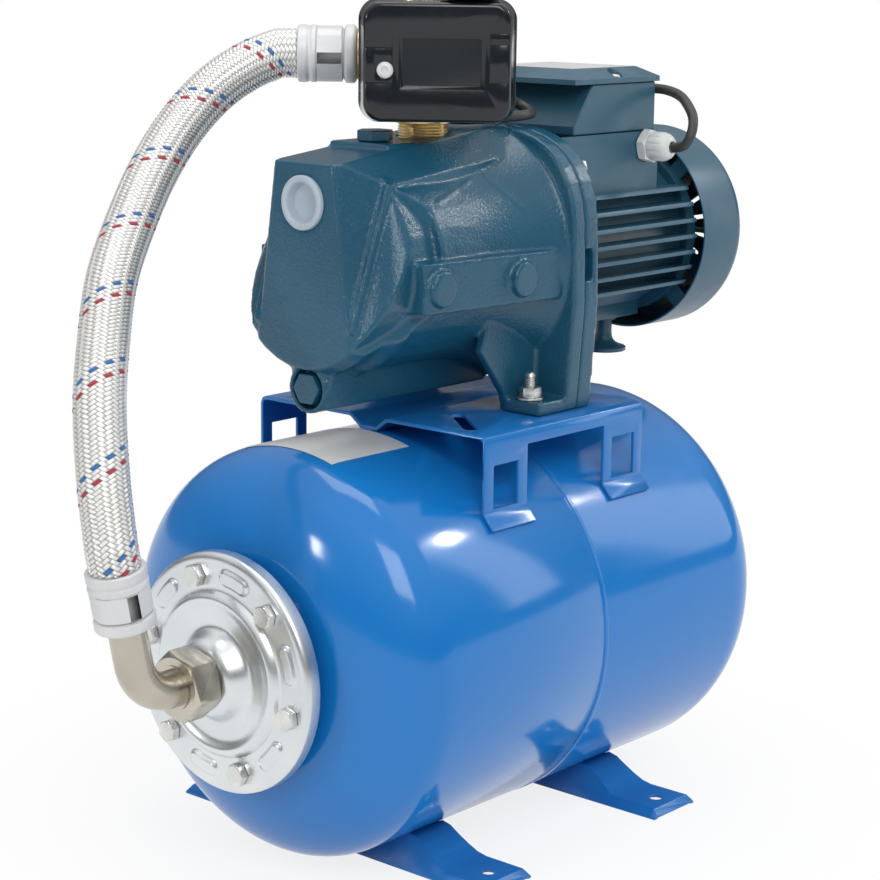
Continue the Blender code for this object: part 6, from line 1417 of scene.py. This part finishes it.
cover = moulding("switch_cover_moulding", (left + COVER_INSET, FRONT_Y, bottom + COVER_INSET),
                 (right - COVER_INSET, SEAM_Y - CLEARANCE, top - COVER_INSET), SWITCH_CORNER - 0.0015, 16)
choose(cover, "FACE", in_front_of(FRONT_Y + 0.0001))
front_scale = (FRONT_WIDE / (SWITCH_WIDE - 2 * COVER_INSET), 1, FRONT_TALL / (SWITCH_TALL - 2 * COVER_INSET))
bpy.ops.transform.resize(value=front_scale, center_override=(SWITCH_MIDDLE, FRONT_Y, 0))
to_object_mode()
bevel_chosen(cover, in_front_of(FRONT_Y + 0.0001), 0.0030, 6)
print("switch:", len(base.data.polygons), "+", len(cover.data.polygons), "faces")

# %% [markdown]
# The label field is a shallow step with a deeper field inside it, so that it
# shows a double outline. The lines at its left and right are grooves 0.8 mm
# wide. All grooves are cut by one joined tool, which leaves no seams where
# they meet.

# %% Cut the label field and the lines
FIELD_X = 0.012
FIELD_CORNER = 0.0010
FIELD_DEEP = 0.0010
FIELDS = ((0.0535, 0.0335, 0.00045), (0.0490, 0.0292, FIELD_DEEP))
GROOVE, GROOVE_DEEP = 0.0004, 0.0007
LEFT_LINES = ((-0.0310, -0.0310, -0.0187, 0.0180), (-0.0480, -0.0312, 0.0085, 0.0085),
              (-0.0480, -0.0312, -0.0130, -0.0130))
RIGHT_LINES = ((0.0297, 0.0297, -0.0125, 0.0182), (0.0299, 0.0440, 0.0182, 0.0182),
               (0.0299, 0.0440, 0.0112, 0.0112), (0.0299, 0.0440, -0.0122, -0.0122))
OVER = 0.001

for wide, tall, deep in FIELDS:
    field = moulding("field", (FIELD_X - wide / 2, FRONT_Y - OVER, -tall / 2),
                     (FIELD_X + wide / 2, FRONT_Y + deep, tall / 2), FIELD_CORNER, 3)
    combine(cover, field, "DIFFERENCE")
tools = []
for first, last, low, high in LEFT_LINES + RIGHT_LINES:
    start = (FIELD_X + first - GROOVE, FRONT_Y - OVER, low - GROOVE)
    end = (FIELD_X + last + GROOVE, FRONT_Y + GROOVE_DEEP, high + GROOVE)
    tools.append(block_between("groove", start, end))
for tool in tools[1:]:
    combine(tools[0], tool, "UNION")
combine(cover, tools[0], "DIFFERENCE")
screw_at = (-0.0235, FRONT_Y, -0.005)
seat_profile = [(-OVER, 0), (-OVER, 0.0060), (CLEARANCE, 0.0058), (CLEARANCE, 0)]
combine(cover, spun("screw_seat", seat_profile, screw_at, "Y", 48), "DIFFERENCE")
combine(cover, cylinder("screw_bore", -OVER, 0.006, 0.0023, "Y", 32, screw_at), "DIFFERENCE")
LABEL_SHINE = 0.3
label_black = finish("label_black", (0.009, 0.012, 0.015), (0.012, 0.015, 0.018), (0.36, 0.44), 40.0,
                     (1500, 0.10, 0.0001))
shader_of(label_black).inputs["Specular IOR Level"].default_value = LABEL_SHINE
for obj, node in ((base, "switch_base"), (cover, "switch_cover")):
    round_edges(obj, 0.00012, 2, math.radians(60))
    label = [face.index for face in obj.data.polygons
             if abs(face.center.y - FRONT_Y - FIELD_DEEP) < 1e-5 and face.normal.y < -0.99]
    obj.data.transform(switch_frame)
    smooth(obj, math.radians(32))
    put_on(obj, node, switch_black)
    obj.data.materials.append(label_black)
    for index in label:
        obj.data.polygons[index].material_index = 1
print("cut cover:", len(cover.data.polygons), "faces")

# %% [markdown]
# The cover screw is bright and domed, with a socket in its middle. The knob on
# top is a round disc with a finger bar across it, and it is the one piece of
# the switch that a hand turns, so it rides on its own body.

# %% Turn the cover screw and mould the knob
screw_profile = [(0.0003, 0), (0.0003, 0.0050), (0.0006, 0.0052), (0.0011, 0.0050), (0.0016, 0.0043),
                 (0.0020, 0.0034), (0.0022, 0.0025), (0.0021, 0.0021), (0.0012, 0.0018), (0.0010, 0.0009),
                 (0.0011, 0)]
screw = spun("cover_screw_turned", [(-along, radius) for along, radius in screw_profile], screw_at, "Y", 64)
shank_profile = [(-0.0004, 0), (-0.0004, 0.0019), (0.0055, 0.0019), (0.0060, 0.0014), (0.006, 0)]
combine(screw, spun("screw_shank", shank_profile, screw_at, "Y", 24), "UNION")
screw.data.transform(switch_frame)
smooth(screw, math.radians(40))
put_on(screw, "cover_screw", ferrule_steel)

KNOB_RADIUS, KNOB_DISC = 0.0195, 0.005
RIM_TOP, RIM_ROUND = 0.0034, 0.0016
GRIP_LONG, GRIP_WIDE, GRIP_TALL = 0.034, 0.011, 0.013
knob_low, knob_high = (Vector(corner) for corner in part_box("selector_knob"))
knob_centre = ((knob_low.x + knob_high.x) / 2, (knob_low.y + knob_high.y) / 2, knob_low.z)
knob_profile = [(0, 0), (0, KNOB_RADIUS - 0.0004), (0.0004, KNOB_RADIUS), (RIM_TOP, KNOB_RADIUS)]
knob_profile += arc((RIM_TOP, KNOB_RADIUS - RIM_ROUND), RIM_ROUND, 90, -80, 5)[1:]
knob_profile += [(KNOB_DISC, KNOB_RADIUS - 0.0026), (KNOB_DISC - 0.0006, KNOB_RADIUS - 0.0036),
                 (KNOB_DISC - 0.0006, 0)]
knob = spun("selector_knob_disc", knob_profile, (0, 0, 0), "Z", 96)
grip_middle = (0, 0, KNOB_DISC - OVER + (GRIP_TALL + OVER) / 2)
grip = block("grip", grip_middle, (GRIP_LONG, GRIP_WIDE, GRIP_TALL + OVER))
choose(grip, "FACE", lambda points: all(point.z > KNOB_DISC + 0.005 for point in points))
bpy.ops.transform.resize(value=(0.94, 0.64, 1), center_override=(0, 0, KNOB_DISC + GRIP_TALL))
to_object_mode()
apply_modifier(grip, "BEVEL", width=0.0026, segments=6, limit_method="NONE")
combine(knob, grip, "UNION")
round_edges(knob, 0.0002, 2, math.radians(50))
knob.data.transform(Matrix.Translation(knob_centre) @ Matrix.Rotation(SWITCH_TURN + math.pi / 2, 4, "Z"))
smooth(knob, math.radians(35))
put_on(knob, "selector_knob", switch_black, body="knob")
print("knob at", [round(value, 4) for value in knob_centre])

# %% [markdown]
# ## The brass fitting and the ferrules
# The five-way fitting is turned from a cast brass cross. Its neck ends in a
# thread that is only partly screwed in, so the last turns show as fine rings.
# A real thread is a helix, but over three or four turns rings look the same and
# keep the piece one clean spin. Each hose ferrule has a ring, a hexagon and a
# crimped sleeve; the crimp leaves shallow bands.

# %% Turn the five-way fitting
FITTING_AT = Vector((0.0066, 0.0, 0.0))
DECK_Z = 0.465276
FITTING_TOP = 0.558276
NECK_RADIUS, BODY_RADIUS, FITTING_BORE = 0.0166, 0.0185, 0.0125
NECK_DOWN, THREAD_UP = 0.0124, 0.0060
PITCH, THREAD_DEEP = 0.00181, 0.0011
SIDE_RADIUS, SIDE_REACH, SIDE_Z, SIDE_BORE = 0.0168, 0.043, 0.515976, 0.0088
SMALL_RADIUS, SWITCH_REACH, GAUGE_REACH = 0.0075, 0.0237, 0.0285
side_way = Vector((-0.656059, 0.754710, 0))
front_way = Vector((-0.754710, -0.656059, 0))

root = NECK_RADIUS - THREAD_DEEP
z = DECK_Z - NECK_DOWN
fitting_profile = [(z, FITTING_BORE), (z, root)]
while z < DECK_Z + THREAD_UP:
    fitting_profile += [(z + 0.35 * PITCH, NECK_RADIUS - 0.0002), (z + 0.5 * PITCH, NECK_RADIUS),
                        (z + 0.65 * PITCH, NECK_RADIUS - 0.0002), (z + PITCH, root)]
    z += PITCH
fitting_profile += stepped(DECK_Z, ((0.0078, root), (0.0130, BODY_RADIUS - 0.0004), (0.0135, BODY_RADIUS)))
fitting_profile += stepped(FITTING_TOP, (
    (-0.0205, BODY_RADIUS), (-0.0195, BODY_RADIUS + 0.0004), (-0.0184, BODY_RADIUS + 0.0019),
    (-0.0008, BODY_RADIUS + 0.0019), (0, BODY_RADIUS + 0.0010), (0, FITTING_BORE)))
fitting = spun("fitting_turned", fitting_profile, FITTING_AT, "Z", 96)
flats = hexagon_head("fitting_hexagon", 0.038, 0.008, both_ends=True, bore=0.0150)
flats_place = Matrix.Translation((FITTING_AT.x, 0, DECK_Z + 0.007))
flats.data.transform(flats_place @ Matrix.Rotation(SWITCH_TURN / 2, 4, "Z"))
combine(fitting, flats, "UNION")
for name, way, level, radius, reach in (("side_port", side_way, SIDE_Z, SIDE_RADIUS, SIDE_REACH),
                                        ("switch_port", front_way, SWITCH_AT[2], SMALL_RADIUS, SWITCH_REACH),
                                        ("gauge_port", -front_way, SIDE_Z, SMALL_RADIUS, GAUGE_REACH)):
    stub = [(0.0100, 0), (0.0100, radius), (reach - 0.0008, radius), (reach, radius - 0.0008), (reach, 0)]
    port = spun(name, stub, (0, 0, 0), "Z", 64)
    port.data.transform(aligned(way, FITTING_AT + Vector((0, 0, level))))
    combine(fitting, port, "UNION")
through = cylinder("through", DECK_Z - 0.02, FITTING_TOP + OVER, FITTING_BORE + 0.0001, "Z", 64, FITTING_AT)
side_bore = cylinder("side_bore", 0, SIDE_REACH + OVER, SIDE_BORE)
side_bore.data.transform(aligned(side_way, FITTING_AT + Vector((0, 0, SIDE_Z))))
combine(through, side_bore, "UNION")
combine(fitting, through, "DIFFERENCE")
smooth(fitting, math.radians(28))
put_on(fitting, "five_way_fitting", turned_brass)
print("fitting faces:", len(fitting.data.polygons))

# %% Turn the ferrules
FERRULE, FERRULE_LONG, HOSE_BORE = 0.0182, 0.038, 0.0105
FERRULE_FLATS, FERRULE_NUT_LONG, NUT_FROM = 0.0345, 0.0172, 0.0087
# Each pair is a distance along the ferrule and how far its metal stands out there.
RING = ((0, -0.0012), (0.0010, 0.0002), (0.0018, 0.0006), (0.0062, 0.0006), (0.0072, 0.0001),
        (0.0078, -0.0012), (0.0084, -0.0025))
WAIST = ((0.0245, -0.0025), (0.0250, -0.0012))
CRIMP = ((0.0262, 0.0001), (0.0275, 0.0004), (0.0290, 0.0002), (0.0300, -0.0004), (0.0310, -0.0004),
         (0.0320, 0.0002), (0.0335, 0.0003), (FERRULE_LONG - 0.0008, 0.0002), (FERRULE_LONG, -0.0006))


def ferrule_piece(name, node, start, way):
    """Ring, worn hexagon and crimped sleeve of one hose end."""
    profile = [(0, HOSE_BORE - 0.001)] + [(along, FERRULE + out) for along, out in RING + WAIST + CRIMP]
    piece = spun(name, profile + [(FERRULE_LONG, HOSE_BORE - 0.001)], (0, 0, 0), "Z", 96)
    nut = hexagon_head("ferrule_hexagon", FERRULE_FLATS, FERRULE_NUT_LONG, both_ends=True, bore=0.0140)
    combine(nut, cylinder("round_corners", -OVER, 0.018, FERRULE, "Z", 96), "INTERSECT")
    nut.data.transform(Matrix.Translation((0, 0, NUT_FROM)))
    combine(piece, nut, "UNION")
    piece.data.transform(aligned(way, start))
    smooth(piece, math.radians(30))
    put_on(piece, node, ferrule_steel)
    print(name, len(piece.data.polygons), "faces")


upper_at = FITTING_AT + Vector((0, 0, SIDE_Z)) + side_way * (SIDE_REACH + CLEARANCE)
ferrule_piece("ferrule_upper_turned", "ferrule_upper", upper_at, side_way)
lower_way = Vector((-0.207912, 0, 0.978148))
lower_at = Vector((-0.255011, 0, 0.187219)) + lower_way * CLEARANCE
ferrule_piece("ferrule_lower_turned", "ferrule_lower", lower_at, lower_way)

# %% [markdown]
# ## The air valve and the pieces inside
# The valve at the tank's far end is a short brass stem under a knurled plastic
# cap. The pieces inside the pump and the motor never show in a photograph, but
# an exploded view would show them, so they get rounded edges and true finishes
# too. The rotor, impeller, shaft seal and fan turn together on one body.

# %% Dress the valve and the inner pieces
rounded_copy("air_valve_turned", "air_valve", turned_brass, 0.0003, 2)
VALVE_CLEAR, CAP_RADIUS, CAP_FLOOR = 0.0063, 0.0130, 0.002
KNURLS, KNURL_DEPTH, KNURL_FROM = 24, 0.035, 0.0110
valve_low, valve_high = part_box("valve_cap")
valve_axis = (0, (valve_low[1] + valve_high[1]) / 2, (valve_low[2] + valve_high[2]) / 2)
cap_long = valve_high[0] - valve_low[0]
cap_profile = [(0, VALVE_CLEAR), (0, 0.0125), (0.0005, CAP_RADIUS), (cap_long - 0.0035, 0.0124),
               (cap_long - 0.0012, 0.0116), (cap_long, 0.0098), (cap_long, 0), (cap_long - CAP_FLOOR, 0),
               (cap_long - CAP_FLOOR, VALVE_CLEAR)]
cap = spun("valve_cap_moulded", stepped(valve_low[0], cap_profile), valve_axis, "X", 144)
for vertex in cap.data.vertices:
    y, z = vertex.co.y - valve_axis[1], vertex.co.z - valve_axis[2]
    if math.hypot(y, z) > KNURL_FROM:
        dip = 1 - KNURL_DEPTH * max(0.0, math.cos(KNURLS * math.atan2(z, y)))
        vertex.co.y, vertex.co.z = valve_axis[1] + y * dip, valve_axis[2] + z * dip
smooth(cap, math.radians(40))
put_on(cap, "valve_cap", dull_black)
inner = [("bladder", bag_rubber, "set"), ("stator", ground_steel, "set"),
         ("front_bearing", ground_steel, "set"), ("rear_bearing", ground_steel, "set"),
         ("diffuser", inner_plastic, "set"), ("ejector", inner_plastic, "set"),
         ("capacitor", gland_grey, "set"), ("terminal_board", dull_black, "set"),
         ("rotor", ground_steel, "rotor_assembly"), ("impeller", turned_brass, "rotor_assembly"),
         ("shaft_seal", dull_black, "rotor_assembly"), ("cooling_fan", inner_plastic, "rotor_assembly")]
for node, material, body in inner:
    rounded_copy(f"{node}_finished", node, material, 0.0003, 1, body)
print("inner pieces:", len(inner))

# %% [markdown]
# ## Bare plates
# The tank and the terminal lid each carry a silver data plate on the real set.
# Here they are bare foil: a thin sheet that follows the surface, a fraction of
# a millimetre off it.

# %% Lay the foils
plate_foil = finish("plate_foil", (0.74, 0.74, 0.72), (0.82, 0.82, 0.80), (0.30, 0.38), 30.0,
                    (1200, 0.10, 0.0001), (150, 0.10, 0.0004), metallic=0.25)
PLATE_FROM, PLATE_TO = -0.1178, -0.0463
DOME_FROM, DOME_FALL = -0.109, 8
FOIL_THICK, TANK_FOIL_OFF, LID_FOIL_OFF = 0.00015, 0.0002, 0.00012
PLATE_LOW, PLATE_HIGH = math.radians(74), math.radians(108)


def foil(name, material, steps, shape):
    """A thin sheet whose points follow a shape given as a function of (share, share)."""
    bpy.ops.object.select_all(action="DESELECT")
    bpy.ops.mesh.primitive_grid_add(x_subdivisions=steps[0], y_subdivisions=steps[1], size=1,
                                    location=(0, 0, 0))
    obj = bpy.context.object
    obj.name = name
    for vertex in obj.data.vertices:
        vertex.co = shape(vertex.co.x + 0.5, vertex.co.y + 0.5)
    apply_modifier(obj, "SOLIDIFY", thickness=FOIL_THICK, offset=0)
    face_outwards(obj)
    smooth(obj, math.radians(30))
    obj.data.materials.append(material)
    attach(obj, "set")
    print(name, len(obj.data.polygons), "faces")


def round_tank(across, up):
    """A point of the tank's plate, just off the wall."""
    x = PLATE_FROM + (PLATE_TO - PLATE_FROM) * across
    turn = PLATE_LOW + (PLATE_HIGH - PLATE_LOW) * up
    reach = TANK_RADIUS + TANK_FOIL_OFF - DOME_FALL * max(0, DOME_FROM - x) ** 2
    return (x, -reach * math.cos(turn), TANK_AT[2] + reach * math.sin(turn))


lid_low, lid_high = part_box("terminal_lid")
LID_MARGIN_X, LID_MARGIN_Y = 0.0125, 0.0130


def on_lid(across, up):
    """A point of the lid's plate, just off its flat top."""
    x = lid_low[0] + LID_MARGIN_X + (lid_high[0] - lid_low[0] - 2 * LID_MARGIN_X) * across
    y = lid_low[1] + LID_MARGIN_Y + (lid_high[1] - lid_low[1] - 2 * LID_MARGIN_Y) * up
    return (x, y, lid_high[2] + LID_FOIL_OFF)


foil("tank_plate", plate_foil, (12, 20), round_tank)
foil("lid_plate", plate_foil, (4, 4), on_lid)

# %% [markdown]
# ## Floor, backdrop and light
# A product photo has no visible room. The floor is a pale matt sheet that
# catches the soft shadow and turns into pure white away from the object, so
# that no edge of it shows. Two things make that work: the floor's own colour is
# near white, and far from the object it gives off white light to the camera.
# Near the object it keeps a share of its own shading, which is where the soft
# shadow shows.

# %% Roll out the floor
FLOOR_SIZE = 30
FLOOR_NEAR, FLOOR_FAR = 0.10, 0.45
FLOOR_GLOW = 0.82
WHITE = (1, 1, 1, 1)

bpy.ops.object.select_all(action="DESELECT")
bpy.ops.mesh.primitive_plane_add(size=FLOOR_SIZE, location=(0, 0, 0))
floor = bpy.context.object
floor.name = "studio_floor"
paper = bpy.data.materials.new("studio_paper")
paper.use_nodes = True
tree, shader = paper.node_tree, shader_of(paper)
fibre = noise_node(tree, 220, 3.0).outputs["Fac"]
paper_colour = blend_colours(tree, fibre, (0.88, 0.88, 0.88), (0.93, 0.93, 0.93))
tree.links.new(paper_colour, shader.inputs["Base Color"])
tree.links.new(remap(tree, fibre, 0.75, 0.9), shader.inputs["Roughness"])
tree.links.new(raise_bumps(tree, fibre, 0.1, 0.0003), shader.inputs["Normal"])
glow = tree.nodes.new("ShaderNodeEmission")
glow.inputs["Color"].default_value = WHITE
glow.inputs["Strength"].default_value = 1.0
place = tree.nodes.new("ShaderNodeTexCoord")
distance = tree.nodes.new("ShaderNodeVectorMath")
distance.operation = "LENGTH"
tree.links.new(place.outputs["Object"], distance.inputs[0])
far_share = remap(tree, distance.outputs["Value"], FLOOR_GLOW, 1.0, FLOOR_NEAR, FLOOR_FAR)
rays = tree.nodes.new("ShaderNodeLightPath").outputs
seen = calculate(tree, "MAXIMUM", rays["Is Camera Ray"], rays["Is Glossy Ray"])
seen = calculate(tree, "MAXIMUM", seen, rays["Is Transmission Ray"])
mix = tree.nodes.new("ShaderNodeMixShader")
tree.links.new(calculate(tree, "MULTIPLY", far_share, seen), mix.inputs["Fac"])
tree.links.new(shader.outputs["BSDF"], mix.inputs[1])
tree.links.new(glow.outputs["Emission"], mix.inputs[2])
tree.links.new(mix.outputs["Shader"], tree.nodes["Material Output"].inputs["Surface"])
floor.data.materials.append(paper)
floor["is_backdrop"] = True
print("floor turns white between", FLOOR_NEAR, "and", FLOOR_FAR, "m")

# %% [markdown]
# The camera sees a plain white world. Shiny surfaces mirror another one, which is
# dim near the horizon and bright overhead, as in a studio with a white ceiling,
# and matt surfaces get an even glow. Two large soft lamps light the set from the
# left and from above, a third fills the right, and two small ones are the bright
# spots on the tank and the casing.

# %% Set the world and the lamps
WORLD_FILL = 0.62
WALL_GLOW = 0.17
GLOW_FROM, GLOW_TO = 0.15, 0.75

world = bpy.data.worlds.new("studio_world")
bpy.context.scene.world = world
world.use_nodes = True
tree = world.node_tree
sky = tree.nodes["Background"]
sky.inputs["Color"].default_value = WHITE
rays = tree.nodes.new("ShaderNodeLightPath").outputs
way = tree.nodes.new("ShaderNodeTexCoord")
heading = tree.nodes.new("ShaderNodeSeparateXYZ")
tree.links.new(way.outputs["Generated"], heading.inputs["Vector"])
ceiling = remap(tree, heading.outputs["Z"], WALL_GLOW, 1.0, GLOW_FROM, GLOW_TO)
matt = tree.nodes.new("ShaderNodeMix")
matt.inputs["A"].default_value = WORLD_FILL
tree.links.new(rays["Is Glossy Ray"], matt.inputs["Factor"])
tree.links.new(ceiling, matt.inputs["B"])
seen = calculate(tree, "MAXIMUM", rays["Is Camera Ray"], rays["Is Transmission Ray"])
tree.links.new(calculate(tree, "MAXIMUM", matt.outputs["Result"], seen), sky.inputs["Strength"])


def softbox(name, size, watts, place, target):
    """A rectangular area lamp that faces a target."""
    lamp = bpy.data.lights.new(name, "AREA")
    lamp.shape = "RECTANGLE"
    lamp.size, lamp.size_y = size
    lamp.energy = watts
    obj = new_object(name, lamp)
    obj.location = place
    obj.rotation_euler = (Vector(target) - Vector(place)).to_track_quat("-Z", "Y").to_euler()


softbox("softbox_key", (1.0, 1.0), 15.0, (-1.0, -1.4, 1.6), (0, 0, 0.25))
softbox("softbox_top", (1.2, 0.8), 9.0, (0.1, 0.1, 2.1), (0, 0, 0.2))
softbox("softbox_right", (0.4, 1.2), 3.0, (1.5, -0.9, 0.9), (0, 0, 0.25))
softbox("flash_right", (0.16, 0.16), 3.5, (1.45, -0.75, 1.35), (0, 0, 0.42))
softbox("flash_left", (0.22, 0.22), 4.0, (-1.74, 0.53, 0.83), (-0.1, 0, 0.25))
bpy.context.scene.view_settings.view_transform = "Standard"
print("lamps:", len(bpy.data.lights))

# %% [markdown]
# ## Size
# The finished look has to fill the same box as the CAD, so both boxes are
# written down side by side.

# %% Compare the boxes
look_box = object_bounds()
for axis in range(3):
    ends = (cad_box[0][axis], look_box[0][axis], cad_box[1][axis], look_box[1][axis])
    print("XYZ"[axis], [round(value, 4) for value in ends])
